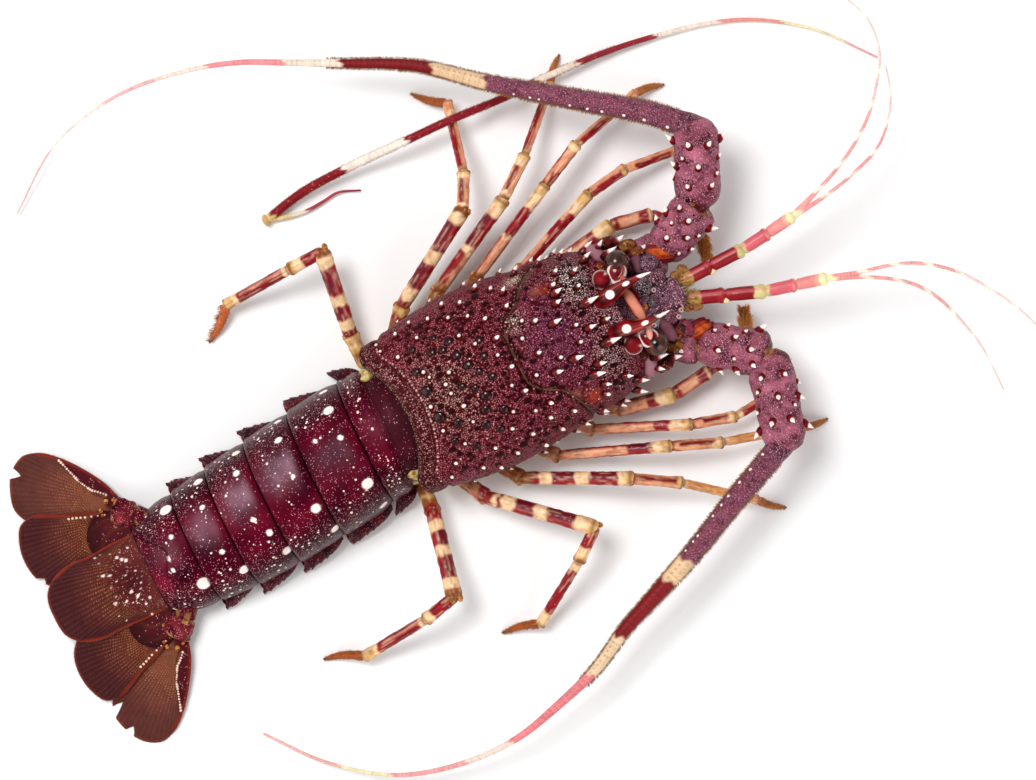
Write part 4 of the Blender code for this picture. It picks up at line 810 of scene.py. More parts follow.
HEAD_TURN = -0.13
HEAD_RINGS = (
    (84.3, 17, 15, 37), (88, 12, 14.6, 34.5), (93, 6.6, 15, 36), (100, 5.6, 17, 36.5),
    (105.5, 6.2, 22, 36.5), (108.6, 6.4, 28, 36)
)
EYE_PLACE = (16.5, 91, 43.5)
EYE_RADIUS = 4.5
EYE_ROOT = (10, 88.8, 37.6)
HORN_HALF_HEIGHTS = (4.5, 4.2, 2.9, 1.4, 0.3)
HORN_ROUTE = ((6.2, 79, 43.5), (6.9, 83.5, 48), (7.8, 89, 52.3), (8.0, 94.5, 56), (7.7, 99.6, 59.5))
HORN_HALF_WIDTHS = (3.4, 3.2, 2.0, 1.0, 0.22)


def head_middle(forward):
    """The head turns a little aside: its middle line shifts in proportion to the way ahead of the shell."""
    return HEAD_TURN * np.maximum(forward - CARAPACE_FRONT, 0)


def build_horns(look):
    """Each horn: rings along its rising route, taller than wide, with a keel on top; dark red glass, two
    ivory blobs, a thin pale keel and an ivory point."""
    for side, word in SIDES:
        path, run = along(np.array(HORN_ROUTE) * [side, 1, 1], 0.2)
        share = run / run[-1]
        marks = np.linspace(0, 1, 5)
        wide = through(np.column_stack([marks, HORN_HALF_WIDTHS]), share)
        high = through(np.column_stack([marks, HORN_HALF_HEIGHTS]), share)
        angles = np.arange(72) * 2 * math.pi / 72
        keel = np.exp(-(((angles - math.pi / 2 + side * 0.5) / 0.08) ** 2))
        grid, _ = tube(path, wide[:, None] * np.ones(72), high[:, None] * (1 + 0.05 * keel), 72)
        tint = mix("#4a0407", "#8f0f10", 0.45 + 0.5 * ripple(grid, 6, 4))
        tint = mix(tint, "#c9705a", 0.7 * keel * smooth(0.15, 0.3, share)[:, None])
        tint = mix(tint, "#fff4ea", smooth(0.79, 0.83, share[:, None] + 0.03 * np.cos(angles)))
        for where, size, long in ((0.23, 1.75, 1.0), (0.56, 0.85, 1.7)):
            spot = path[int(where * (len(path) - 1))]
            reach = np.hypot(grid[..., 0] - spot[0], (grid[..., 1] - spot[1]) / long)
            tint = mix(tint, "#fff2ec", (1 - smooth(size * 0.88, size, reach)) * (grid[..., 2] > spot[2]))
        make(f"horn_{word}_glassy", [surface(grid, tint)], look, [f"horn_{word}"])


def build_eyes(look, radius, brown):
    """Each eye: a globe on a short stalk, half under a red heart-shaped hood whose rim is ivory. The hood is
    a ball whose top sinks: up - 1.5·smooth(p), and whose plan is drawn out to a point by cos t."""
    for side, word in SIDES:
        middle, root = np.array([EYE_PLACE, EYE_ROOT]) * [side, 1, 1]
        line = unit(middle - root)
        grid, p, _ = ball(middle, axes_along(line, radius, radius, radius), 48, 60)
        tint = mix("#200c08", brown, 0.4 + 0.35 * ripple(grid, 3.5, 2))
        shapes = [surface(grid, mix(tint, "#3a1512", 1 - smooth(-1.1, -0.75, p)))]
        path, run = along(np.array([root - line, root, root + line * 2.2, middle - line * 1.6]), 0.35)
        half = through(((0, 2.8), (1.0, 2.8), (2.2, 2.2), (4, 3.0), (9, 3.4)), run)
        grid, _ = tube(path, half, half, 24)
        shapes.append(surface(grid, marbled(grid, "#5e1416", "#a06050", 4, 8)))
        inward = np.array([-side * 0.8, -0.6, 0.0]) * 3.9
        outward = np.array([side * 0.6, -0.8, 0.0]) * 3.7
        grid, p, t = ball([side * 13.4, 89.4, 45.4], [inward, outward, [0, 0, 3.3]], 46, 64)
        point = 0.34 * np.clip(np.cos(t), 0, 1) ** 4 - 0.12 * np.clip(-np.cos(t), 0, 1) ** 6
        grid = grid + inward * (point * np.cos(p))[..., None]
        grid[..., 2] -= 1.5 * smooth(0.62, 1.2, p)
        rim = smooth(-0.05, 0.1, p) * (1 - smooth(0.62, 0.74, p - 0.12 * np.cos(t)))
        tint = mix("#8c0d18", "#5a070d", smooth(0.75, 1.3, p) * (0.5 + 0.5 * np.cos(t)))
        tint = mix(mix(tint, "#6a0c12", 1 - smooth(-0.2, 0.0, p)), "#f0dcd4", rim)
        shapes.append(surface(grid, tint))
        make(f"eye_{word}_globe", shapes, look, [f"eye_{word}"])


def build_head(look):
    """The front of the head: a plate through HEAD_RINGS with squared ovals, the sockets of eyes, feelers
    and antennules, domes, nodules and folded membranes."""
    rows = np.linspace(84.3, 108.6, 60)
    table = np.array(HEAD_RINGS)
    half, floor, top = (np.interp(rows, table[:, 0], table[:, i])[:, None] for i in (1, 2, 3))
    angles = np.arange(72) * 2 * math.pi / 72
    cosine, sine = np.cos(angles), np.sin(angles)
    out = half * np.sign(cosine) * np.abs(cosine) ** 0.7 + head_middle(rows)[:, None]
    up = (floor + top) / 2 + (top - floor) / 2 * np.sign(sine) * np.abs(sine) ** 0.7
    grid = np.stack([out, rows[:, None] + 0 * out, up], -1)
    grid = lumpy(grid, 0.35, 4.5, 9)
    tint = marbled(grid, "#4b2032", "#69384c", 6, 3)
    shapes = [surface(grid, tint, "#b08a98", 0.9)]
    for side, word in SIDES:
        shapes += head_side(side, word)
    shapes += head_domes() + head_bars() + head_grains()
    make("head_front_shell", shapes, look, ["head_front"])


def rounded_bar(start, end, half, colours, lift=0.8, sides=28):
    """A smooth bar that swells in the middle, the first colour at its sides and the second on top; the paler
    top is painted light and the darker sides painted shade.
    """
    start, end = np.array(start, float), np.array(end, float)
    path, run = along(np.array([start, (start + end) / 2 + [0, 0, lift], end]), 0.3)
    wide = half * through(((0, 0.35), (0.12, 0.8), (0.5, 1.0), (0.88, 0.8), (1, 0.35)), run / run[-1])
    grid, angles = tube(path, wide, wide * 0.8, sides)
    # painted light and shade: the top takes the paler colour, the sides the darker one
    share = smooth(0.2, 0.95, np.sin(angles))[None] * np.ones((len(path), 1))
    return surface(grid, mix(lin(colours[0]), lin(colours[1]), share))


def head_domes():
    """Granular domes on the plate between the antennules: balls moved by seeded lumps."""
    shapes = []
    for centre, axes, colour, dot, fleck in (
        ((4.6, 95.8, 36.6), (3.8, 3.7, 4.0), "#2c1c24", "#bfa9ae", 1.0),
        ((-2.4, 96.3, 36.6), (1.8, 1.8, 2.6), "#56484c", "#a89a9c", 0.8),
        ((-1.2, 100.6, 34.6), (4.4, 4.2, 3.2), "#4f2034", "#b38a9c", 1.0),
        ((5.6, 101.4, 33.4), (3.4, 4.6, 3.0), "#542434", "#b58a98", 1.0),
        ((-8.6, 101.0, 33.2), (4.2, 4.0, 3.2), "#55202e", "#b3808c", 0.9),
        ((-16.2, 103.6, 31.0), (3.4, 3.2, 2.6), "#7e3040", "#a85a66", 0.5),
        ((11.4, 101.2, 33.6), (3.4, 4.2, 3.2), "#5d3044", "#a98796", 0.9),
        ((-2.6, 92.4, 39.0), (1.1, 2.3, 1.6), "#a0602a", "#d8a860", 0.2),
    ):
        grid, _, _ = ball(centre, np.diag(axes), 28, 36)
        grid = lumpy(grid, 0.28, 2.2, 7)
        tint = stained(grid, colour, "#1d0a10", 3.2, 9, 0.1, 1.0)
        shapes.append(surface(grid, tint, dot, fleck))
    return shapes


def head_bars():
    """The smooth bars between the horns and beside the eyes."""
    bars = (
        ((6.4, 89.2, 42.5), (-7.0, 90.8, 42.8), 2.0, ("#a3240c", "#da8a70")),
        ((-7.6, 91.2, 47.0), (-14.2, 89.6, 48.6), 1.25, ("#9c2a20", "#e2a08e")),
        ((7.6, 91.2, 47.0), (11.4, 89.8, 47.6), 1.0, ("#7a1510", "#b85e4c")),
        ((-9.6, 97.0, 33.9), (-18.4, 98.2, 32.4), 2.4, ("#3c1620", "#764654")),
        ((9.2, 97.4, 33.9), (16.4, 98.6, 32.4), 2.2, ("#3c1620", "#704250")),
        ((1.0, 93.0, 37.4), (8.6, 92.6, 37.2), 1.0, ("#3c0408", "#7c0c12")),
    )
    return [rounded_bar(*bar) for bar in bars]


def head_grains():
    """Pale beads scattered over the plate, and three ringed ones."""
    draw = np.random.default_rng(12)
    forward = draw.uniform(92, 107, 70)
    left = head_middle(forward) + draw.uniform(-6.5, 6.5, 70)
    roots = np.stack([left, forward, 36.2 + draw.uniform(-0.4, 1.0, 70)], -1)
    sizes = draw.uniform(0.15, 0.42, 70)
    shapes = [thorns(roots, [0, 0.1, 1], sizes, sizes, BEAD, "#cf9fa6", 8)]
    rings = np.array([(1.6, 99.0, 38.2), (-9.4, 105.0, 35.6), (-11.2, 103.2, 35.4), (-10.2, 93.4, 39.4)])
    shapes.append(thorns(rings, [0, 0, 1], 1.0, 0.95, BEAD, "#e9bcc0", 12))
    shapes.append(thorns(rings + [0, 0, 0.5], [0, 0, 1], 0.75, 0.5, BEAD, "#7a3a48", 12))
    return shapes


# Knobs round the eye's socket: out, forward, up, half-sizes, colour, seed
HEAD_KNOBS = (
    (20.6, 97.6, 29.0, (2.7, 3.6, 2.8), "#8a5424", 5), (17.6, 85.0, 37.0, (2.4, 2.8, 3.2), "#74241a", 6),
    (16.6, 99.6, 31.6, (2.3, 3.2, 2.5), "#7c3a20", 7), (25.0, 91.0, 29.5, (2.4, 4.0, 3.6), "#5e1618", 8),
    (21.0, 84.6, 27.0, (5.2, 5.0, 7.0), "#5a1a1a", 9),
)
# Cushions round the root of an antennule: out, forward and up from it
ANTENNULE_CUSHIONS = (
    (0, -2.5, -1.5), (2.2, -1.2, -1.5), (0.5, 0.8, -0.6), (3.4, 2.0, -2.5), (1.0, 3.0, -0.4)
)
# The red folds' middle, heading and half-length on each side, and each fold's shift aside and colour
FOLD_PLACE = {
    1: ((13.2, 107.6, 30.4), (-0.44, 0.9, 0), 7.4), -1: ((-19.0, 108.8, 31.0), (0.1, 0.99, 0), 5.6)
}
RED_FOLDS = ((-2.7, "#5c0c12"), (-1.3, "#a5300f"), (0.2, "#c9571f"), (1.6, "#8a1c12"), (2.9, "#a8683a"))


def feeler_root(word):
    """The root of a feeler in the head: a barrel, its half-width 7.4·swell(share), moved by lumps."""
    joints = np.array(ANTENNA_JOINTS[word], float)
    line = unit(joints[1] - joints[0])
    path, run = along(np.array([joints[0] - line * 2.5, joints[0], joints[1] + line * 1.5]), 0.5)
    swell = through(((0, 0.55), (0.2, 0.9), (0.6, 1.02), (0.85, 1.0), (1, 0.6)), run / run[-1])
    half = ANTENNA_HALF_WIDTHS[0] * swell
    grid, _ = tube(path, half, half * 0.9, 56)
    grid = lumpy(grid, 0.3, 5, 11)
    return surface(grid, marbled(grid, "#4b2030", "#6e3a4c", 7, 12), "#93687a", 0.9)


def red_folds(side):
    """Soft folds beside the feeler's root: long flat balls side by side, each sunk by 0.22·shift²."""
    centre, heading, long = FOLD_PLACE[side]
    aside = np.cross(heading, [0, 0, 1])
    shapes = []
    for shift, colour in RED_FOLDS:
        spot = np.array(centre) + aside * shift * side - [0, 0, 0.22 * shift**2]
        grid, p, _ = ball(spot, axes_along(heading, long - 0.7 * abs(shift), 1.4, 0.55), 30, 18)
        tint = mix(colour, "#5c100f", smooth(0.1, 1.2, np.abs(p)))
        shapes.append(surface(grid, mix(tint, "#3a0a0c", 0.5 * smooth(-0.2, 1, ripple(grid, 2.4, 5)))))
    return shapes


def eye_foot(side):
    """The socket that an eye's stalk stands in: a short tube that narrows towards the eye."""
    eye, root = np.array([EYE_PLACE, EYE_ROOT]) * [side, 1, 1]
    line = unit(eye - root)
    path, run = along(np.array([root - line * 4, root - line * 1.5, root + line * 0.6]), 0.4)
    half = through(((0, 3.8), (2, 3.6), (4.6, 2.9)), run)
    grid, _ = tube(path, half, half, 28)
    return surface(grid, marbled(grid, "#6a2a22", "#9a5a3a", 3, 4), fleck=0.2)


def eye_dome(side):
    """The dark red dome behind an eye, a ball with a pale rim at p = 0.36 and one pale stroke; its red is
    painted darker towards its foot and brighter towards its top on one side, as painted shade and light.
    """
    axes = [[side * 3.9, 0.4, -0.6], [-side * 0.6, 3.6, 0.2], [0.3 * side, -0.4, 3.0]]
    grid, p, t = ball([side * 13.0, 83.4, 45.6], axes, 40, 56)
    rim = np.exp(-(((p - 0.36) / 0.17) ** 2)) * smooth(0.1, 0.5, np.abs(np.cos(t + 0.5)))
    stroke = np.exp(-(((t - 0.9) / 0.16) ** 2) - (((p - 0.75) / 0.22) ** 2))
    # painted shade and light: the red darkens towards the dome's foot and brightens towards its top on one
    # side
    tint = mix("#2e0206", "#760912", smooth(0.3, 1.2, p + 0.3 * np.cos(t)))
    return surface(grid, mix(tint, "#e3c1b8", np.clip(rim * 0.9 + stroke, 0, 1)))


def head_side(side, word):
    """One side's forms, from the feeler's root and its red folds to the thorns beside the eye."""
    shapes = [feeler_root(word), *red_folds(side), eye_foot(side), eye_dome(side)]
    shapes.append(
        rounded_bar([side * 19.4, 87.6, 36.5], [side * 26.4, 84.4, 33.0], 2.5, ("#4a1015", "#96666e"))
    )
    for out, forward, up, axes, colour, seed in HEAD_KNOBS:
        grid, _, _ = ball((side * out, forward, up), np.diag(axes), 22, 28)
        grid = lumpy(grid, 0.2, 2.6, seed)
        shapes.append(
            surface(grid, stained(grid, colour, "#4a0f12", 3.4, seed + 3, -0.4, 0.9), "#b08a52", 0.18)
        )
    foot = np.array(ANTENNULE_ROUTE[word][0], float)
    for out, forward, up in ANTENNULE_CUSHIONS:
        grid, _, _ = ball(foot + (side * out, forward, up), np.diag((2.5, 2.4, 2.3)), 20, 26)
        grid = lumpy(grid, 0.16, 2.2, 5)
        shapes.append(
            surface(grid, stained(grid, "#9c6c38", "#6e1c18", 3.5, 6, -0.2, 0.8), "#c4ac74", 0.25)
        )
    lengths = np.array([5.6, 4.0, 4.6])
    roots = np.array([(20.6, 88.6, 40.5), (24.4, 87.2, 36.0), (23.6, 94.0, 32.5)]) * [side, 1, 1]
    leans = np.array([(0.2, 0.8, 0.45), (0.5, 0.7, 0.3), (0.25, 0.9, 0.2)]) * [side, 1, 1]
    shapes.append(thorns(roots, leans, lengths, 0.28 * lengths, SPINE, spine_colours(0.4), 12))
    return shapes


# Feelers

ANTENNA_JOINTS = {
    "left": ((15, 86, 21), (14.6, 94.5, 21), (13, 109, 24), (22.8, 128, 32), (48.3, 139, 38)),
    "right": ((-15.5, 86, 21), (-16, 94, 21), (-22.8, 106.5, 25), (-38.6, 127, 30), (-69.3, 118.4, 34.5)),
}
ANTENNA_HALF_WIDTHS = (7.4, 8.1, 8.5, 7.9, 4.6)
ANTENNA_FLATNESS = 0.84
WRIST_SOCKET = 7.5
FLAGELLUM_ROUTE = {
    "left": (
        (58, 129.2, 38), (76.2, 105.4, 37), (98.5, 76.1, 34), (113.8, 58, 32),
        (128.3, 31.5, 29), (138.1, 12.9, 26), (145.1, -0.6, 23.5), (152.8, -23.9, 18),
        (156, -51.2, 12), (150.7, -78.1, 7), (133.9, -103.5, 2.5)
    ),
    "right": (
        (-73.5, 109.4, 34.5), (-81.1, 92.3, 34), (-90.9, 72, 33), (-100, 50.8, 31),
        (-106.1, 36, 29), (-115.6, 18.3, 26), (-121.4, 1, 23), (-126.4, -18.8, 19),
        (-126.1, -44.2, 14), (-120.6, -65.5, 9), (-104.3, -88.9, 5), (-84.2, -106, 2.5)
    ),
}
FLAGELLUM_TAPER = (
    (0, 4.4), (20, 4.05), (40, 3.7), (55, 3.4), (70, 2.9), (90, 2.35), (110, 1.9),
    (130, 1.55), (150, 1.2), (180, 0.95), (205, 0.75), (240, 0.5), (330, 0.3)
)
FLAGELLUM_BANDS = {
    "left": (
        (0, "#743444"), (72.5, "#e3bf97"), (93, "#76131a"), (127, "#efd9c6"), (148.5, "#e88d90"),
        (178.5, "#ecd0c4"), (200, "#eab0ae"), (222, "#f2dcd2"), (250, "#ebbab6")
    ),
    "right": (
        (0, "#743444"), (50, "#e3bf97"), (60.5, "#801a20"), (88, "#e8c9a4"), (106, "#e58286"),
        (146, "#efd6c8"), (165, "#e9a19e"), (195, "#ecdcb4"), (215, "#e6aaa4")
    ),
}
ANTENNULE_ROUTE = {
    "left": ((0, 110, 33), (0.4, 122, 34.5), (0.7, 135, 36), (2, 146, 37), (3.6, 156.8, 37.5)),
    "right": ((-6.8, 109.6, 33), (-11.5, 122, 34.5), (-16.8, 136, 36), (-19.6, 147, 37), (-22.3, 158, 37.5)),
}
ANTENNULE_HALF_WIDTHS = (2.7, 2.6, 2.4, 2.3, 2.0)
ANTENNULE_FLAGELLA = {
    "left": (
        ((8, 168.9, 38), (12.7, 180.3, 37), (18.3, 190.1, 36), (26, 199.7, 35), (33.3, 205.9, 34),
         (41.1, 211.6, 32), (50.1, 214.6, 30), (57.7, 214.9, 28), (70.5, 210.4, 25)),
        ((4.6, 167.7, 37.4), (5.6, 174, 36.4), (8.7, 186.4, 34), (12.8, 196.9, 31.5), (20.4, 205.3, 29),
         (28.5, 210.5, 27), (39.1, 214.2, 24)),
    ),
    "right": (
        ((-25.8, 170.4, 38), (-28.2, 180.9, 37), (-31.4, 189.6, 36), (-35.2, 195.7, 35), (-42.4, 204, 33),
         (-52, 211.2, 31), (-62.5, 217.7, 28), (-74.5, 223, 25)),
        ((-28, 170.7, 37), (-33.2, 179.9, 35), (-38.4, 186.5, 33), (-48.4, 193.6, 29), (-57.9, 197.3, 26),
         (-68.5, 200.4, 22), (-89.4, 201.8, 17)),
    ),
}
LOOSE_FEELER_ROUTE = (
    (90.2, -19.2, 2.7), (93.4, -3, 5.2), (93.9, 16.4, 9.6), (93, 41.3, 14.6), (92.5, 60, 16.2),
    (91.6, 83.3, 12.4), (92.2, 95.4, 9.5), (91.9, 103.5, 8), (91.7, 112.8, 6.2), (90.4, 129.8, 4),
    (88.3, 144, 3), (82.9, 167.6, 2), (79, 177.6, 1.7), (65.4, 198.1, 1.4), (44.2, 216.4, 1.2)
)
LOOSE_FEELER_TAPER = ((0, 1.7), (60, 1.55), (120, 1.3), (165, 0.98), (200, 0.7), (235, 0.46), (270, 0.28))
LOOSE_BANDS = (
    (0, "#d9bd7c"), (3, "#7d141b"), (36, "#efe2d4"), (62.5, "#80171f"), (117, "#efdccb"),
    (134.5, "#942a32"), (166, "#efddd0"), (191, "#e6978c"), (215, "#efdcb4"), (240, "#e5a49e")
)
LOOSE_CURL_ROUTE = (
    (90.2, -18.6, 2.6), (88.2, -12.5, 2.2), (86.8, -4, 1.9), (87.2, 3, 1.8), (87.9, 9, 1.6),
    (84.8, 17.9, 1.4)
)
CURL_BANDS = ((0, "#dfc88c"), (9, "#efe2cd"), (15, "#a8414c"), (30, "#85303a"))


def bands(where, table, soft):
    """Colours that change at the table's places, each change spread over soft."""
    where = np.asarray(where, float)
    colour = np.broadcast_to(lin(table[0][1]), (*where.shape, 3))
    for start, text in table[1:]:
        colour = mix(colour, text, smooth(start - soft / 2, start + soft / 2, where))
    return colour


WHIP_FLATNESS = 0.94


def whip(route, taper, table, spacing, sides, ring=1.15):
    """A ringed lash: radius = taper·(0.97 + 0.06·|sin(π·run/ring)|^0.6), a swell for each ring of the
    feeler, with wavy colour bands and a dark groove between rings."""
    path, run = along(route, spacing)
    half = through(taper, run)
    swell = 1 + 0.06 * np.abs(np.sin(math.pi * run / ring)) ** 0.6 - 0.03
    half = half * swell
    half[:2] *= (0.6, 0.95)
    half[-2:] *= (0.8, 0.35)
    grid, angles = tube(path, half, half * WHIP_FLATNESS, sides)
    tint = bands(run[:, None] + 0.9 * np.sin(2 * angles) + 0.5 * np.sin(5 * angles + 1), table, 1.6)
    groove = 1 - smooth(0.0, 0.35, np.abs(np.sin(math.pi * run / ring)))
    tint = tint * (1 - 0.22 * groove[:, None, None])
    return grid, tint, run, half, angles, path


def bristle_rows(path, run, half, places, reach, thin, colours, seed, lean=0.35, lift=0.85):
    """Bristles beside a lash: roots at the given angles round it, leaning towards its tip."""
    draw = np.random.default_rng(seed)
    facing, across, rise = ring_frame(path)
    shapes, uvs = [], []
    for angle, start, end, per_mm in places:
        count = int((end - start) * per_mm)
        at = draw.uniform(start, end, count)
        row = np.clip(np.searchsorted(run, at), 1, len(run) - 1)
        turn = math.radians(angle) + draw.normal(0, 0.16, count)
        out = across[row] * np.cos(turn)[:, None] + rise[row] * np.sin(turn)[:, None]
        roots = path[row] + out * (half[row] * 0.93)[:, None]
        leans = out * lift + facing[row] * (lean + draw.normal(0, 0.18, count))[:, None]
        shapes.append((roots, leans, reach * draw.uniform(0.6, 1.15, count)))
        uvs.append(np.column_stack([(turn / (2 * math.pi)) % 0.99, at / run[-1] * 0.99]))
    roots, leans, lengths = (np.concatenate(part) for part in zip(*shapes))
    return thorns(roots, leans, lengths, thin, BRISTLE, colours, 3, uvs=np.vstack(uvs), bends=[0, 0, 0.05])


def bristle_colours(root="#6e3f1e", tip="#b98a52"):
    """One colour for each row of a bristle, from its root to its tip."""
    return mix(root, tip, np.array([max(row[0], 0) for row in BRISTLE]))


def flagellum_route(word):
    """A whip's route from the wrist's socket, and the direction in which it leaves the wrist."""
    joint = np.array(ANTENNA_JOINTS[word][-1], float)
    route = np.array(FLAGELLUM_ROUTE[word], float)
    line = unit(route[0] - joint)
    root = joint + line * WRIST_SOCKET
    return np.vstack([root, route]), line


WHIP_BEADS = (3, 12, 20, 28, 33.5, 40, 51.5, 55, 61)  # white beads along the left whip's root


def build_flagella(look, hair, hair_scale):
    """The two long whips: whip() along each route, blotched on the purple root and dashed beyond it, with
    white beads in a row along the root and fine bristles down both edges."""
    for side, word in SIDES:
        route, line = flagellum_route(word)
        route = np.vstack([route[0] - line * 0.6, route[1:]])
        grid, tint, run, half, angles, path = whip(route, FLAGELLUM_TAPER, FLAGELLUM_BANDS[word], 0.34, 26)
        purple = FLAGELLUM_BANDS[word][1][0]
        edge = np.exp(-((np.cos(angles) ** 2 - 1) ** 2) / 0.02)
        edge = edge * (1 - smooth(purple + 60, purple + 75, run))[:, None]
        tint = mix(tint, "#6e4226", 0.55 * edge)
        blotch = smooth(0.3, 1.0, ripple(grid, 4.5, 17)) * (1 - smooth(purple - 2, purple, run))[:, None]
        tint = mix(tint, "#4a1c30", 0.7 * blotch)
        dashes = np.clip(np.sin(run * 2 * math.pi / 2.1) * 2 + 0.4, 0, 1)
        dashes *= smooth(purple, purple + 1, run) * (1 - smooth(purple + 80, purple + 90, run))
        lines = np.exp(-(((angles - 1.9) / 0.1) ** 2)) + np.exp(-(((angles - 1.3) / 0.1) ** 2))
        tint = mix(tint, "#6b452c", 0.5 * dashes[:, None] * np.clip(lines, 0, 1))
        fleck = 0.95 * (1 - smooth(purple - 1, purple, run))[:, None]
        shapes = [surface(grid, tint, "#9c6c80", fleck)]
        spots = np.array(WHIP_BEADS) * (1.0 if side > 0 else 0.78)
        row = np.searchsorted(run, spots)
        _, across, rise = ring_frame(path)
        turn = math.radians(38)
        out = across[row] * side * math.cos(turn) + rise[row] * math.sin(turn)
        roots = path[row] + out * (half[row] * 0.93)[:, None]
        shapes.append(thorns(roots, out, 0.5, np.linspace(0.75, 0.5, len(spots)), BEAD, "#fbe9e4", 8))
        nodes = [f"antenna_{word}_flagellum_1", f"antenna_{word}_flagellum_2"]
        make(f"flagellum_{word}", shapes, look, nodes)
        places = [(angle, 0, purple + 60, 4.6) for angle in (0, 12, -14, 180, 168, 194)]
        fringe = bristle_rows(path, run, half, places, 1.25 * hair_scale, 0.09, bristle_colours(), 21)
        make(f"flagellum_{word}_bristles", [fringe], hair)


PEDUNCLE_SPINES = {
    "base": ((0.55, 150, 3), (0.6, 60, 3)),
    "arm": (
        (0.3, 75, 3.2), (0.5, 120, 3), (0.75, 95, 3.6), (0.6, 25, 3.6), (0.36, 8, 3.4), (0.8, 165, 4.4),
        (0.82, 55, 3.2), (0.2, 130, 2.0), (0.55, 60, 2.0), (0.35, 155, 2.6), (0.62, 145, 2.2)
    ),
    "wrist": (
        (0.25, 60, 3), (0.25, 125, 3), (0.5, 90, 3.2), (0.52, 20, 3.6), (0.78, 65, 3.6), (0.78, 120, 3.6),
        (0.84, 5, 4.4), (0.84, 175, 4.4), (0.4, 145, 2.2), (0.62, 160, 2.4), (0.35, 5, 2.6), (0.62, 45, 2.0)
    ),
}


def build_stems(look, rose):
    """The thick stems of the two feelers, three lengths each with their spines, bosses and sockets."""
    for _, word in SIDES:
        for number, name in enumerate(("base", "arm", "wrist"), start=1):
            shapes = stem_length(word, name, number, rose)
            make(f"antenna_{word}_{name}_shell", shapes, look, [f"antenna_{word}_{name}"])


STEM_BEADS = 34
# Half-width of a stem's length along it, up to where its end begins
STEM_SWELL = ((-0.05, 0.5), (0.02, 0.78), (0.14, 0.97), (0.5, 1.0), (0.84, 1.03))


def whip_socket(word):
    """The collar on the wrist that a whip grows from."""
    route, line = flagellum_route(word)
    path, run = along(route[0] - np.outer((WRIST_SOCKET + 2, 3, 0.2), line), 0.5)
    wide = through(((0, 4.6), (5, 4.9), (8, 4.6), (9.4, 4.45)), run)
    grid, _ = tube(path, wide, wide * 0.95, 44)
    return surface(grid, marbled(grid, "#4a1f30", "#6e3a4c", 4, 3), "#a98090", 0.7)


def stem_length(word, name, number, rose):
    """One length: half-width = mean·swell(share), rounded off at both joints, moved by seeded lumps."""
    joints = np.array(ANTENNA_JOINTS[word], float)
    start, end = joints[number], joints[number + 1]
    line = end - start
    wrist = name == "wrist"
    share = np.linspace(-0.05, 1.14 if wrist else 1.03, 110)
    first, second = ANTENNA_HALF_WIDTHS[number - 1], ANTENNA_HALF_WIDTHS[number]
    halves = first + (second - first) * np.clip(share, 0, 1)
    ends = ((1, 0.95), (1.1, 0.62), (1.14, 0.3)) if wrist else ((0.96, 0.9), (1.03, 0.55))
    half = halves * through(STEM_SWELL + ends, share)
    path = start + line * share[:, None]
    grid, _ = tube(path, half, half * ANTENNA_FLATNESS, 84)
    bumps = 0.16 * ripple(grid, 6.5, number) + 0.08 * ripple(grid, 2.2, number + 5)
    grid = grid + outward_normals(grid) * bumps[..., None]
    tint = marbled(grid, "#682a3a", rose, 8, number + 2)
    tint = mix(tint, "#36101c", 0.6 * smooth(0.2, 1.0, ripple(grid, 5, number + 9)))
    ends = 1 - smooth(-0.02, 0.12, share[:, None]) + smooth(0.94, 1.0, share[:, None]) * (not wrist)
    ends = np.clip(ends, 0, 1)
    tint = mix(tint, "#4a0d14", ends * 0.85)
    tint = mix(tint, "#9a6a32", ends * smooth(0.2, 0.8, ripple(grid, 4, number + 4)))
    shapes = [surface(grid, tint, "#b67c8c", 0.8 - 0.5 * ends)]
    if wrist:
        shapes.append(whip_socket(word))
    axis = unit(line)
    across = unit(np.cross(axis, [0, 0, 1]))
    outwards = across if across[0] * start[0] > 0 else -across
    upwards = np.cross(across, axis)

    def seats(shares, turns, lift):
        normals = outwards * np.cos(turns) + upwards * np.sin(turns)
        flat = np.hypot(np.cos(turns), ANTENNA_FLATNESS * np.sin(turns))
        return start + line * shares + normals * (first + (second - first) * shares) * flat * lift, normals

    shares, turns, lengths = np.array(PEDUNCLE_SPINES[name], float).T
    roots, normals = seats(shares[:, None], np.radians(turns)[:, None], 0.95)
    leans = axis * 0.4 + normals * 0.9
    widths = 0.28 * lengths + 0.5
    shapes.append(thorns(roots, leans, lengths * 0.92, widths, SPINE, spine_colours(0.52), 12, axis * 0.3))
    draw = np.random.default_rng(40 + number)
    shares, turns = draw.uniform(0.1, 0.92, STEM_BEADS)[:, None], draw.uniform(0.1, 3.0, STEM_BEADS)[:, None]
    sizes = draw.uniform(0.15, 0.45, STEM_BEADS)
    roots, normals = seats(shares, turns, 0.985)
    colours = mix("#3a0a12", "#d3a3ac", (draw.random((STEM_BEADS, 1)) > 0.45) * np.ones(len(BEAD)))
    shapes.append(thorns(roots, normals, sizes, sizes, BEAD, colours, 8))
    return shapes


def build_root_bristles(hair):
    """Golden hair round the roots of the antennules, leaning outwards along them."""
    for word in ("left", "right"):
        route = np.array(ANTENNULE_ROUTE[word], float)
        back = route[0] - unit(route[1] - route[0]) * 3
        path, run = along(np.array([back, route[0], route[0] * 0.7 + route[1] * 0.3]), 0.3)
        half = through(((0, 3.6), (3, 3.0), (run[-1], 2.5)), run)
        places = [(angle, 0.4, run[-1] - 0.3, 1.6) for angle in range(0, 360, 20)]
        colours = bristle_colours("#8a5a22", "#d8b070")
        shape = bristle_rows(path, run, half, places, 2.0, 0.1, colours, 33, 0.9, 0.55)
        make(f"antennule_{word}_bristles", [shape], hair)


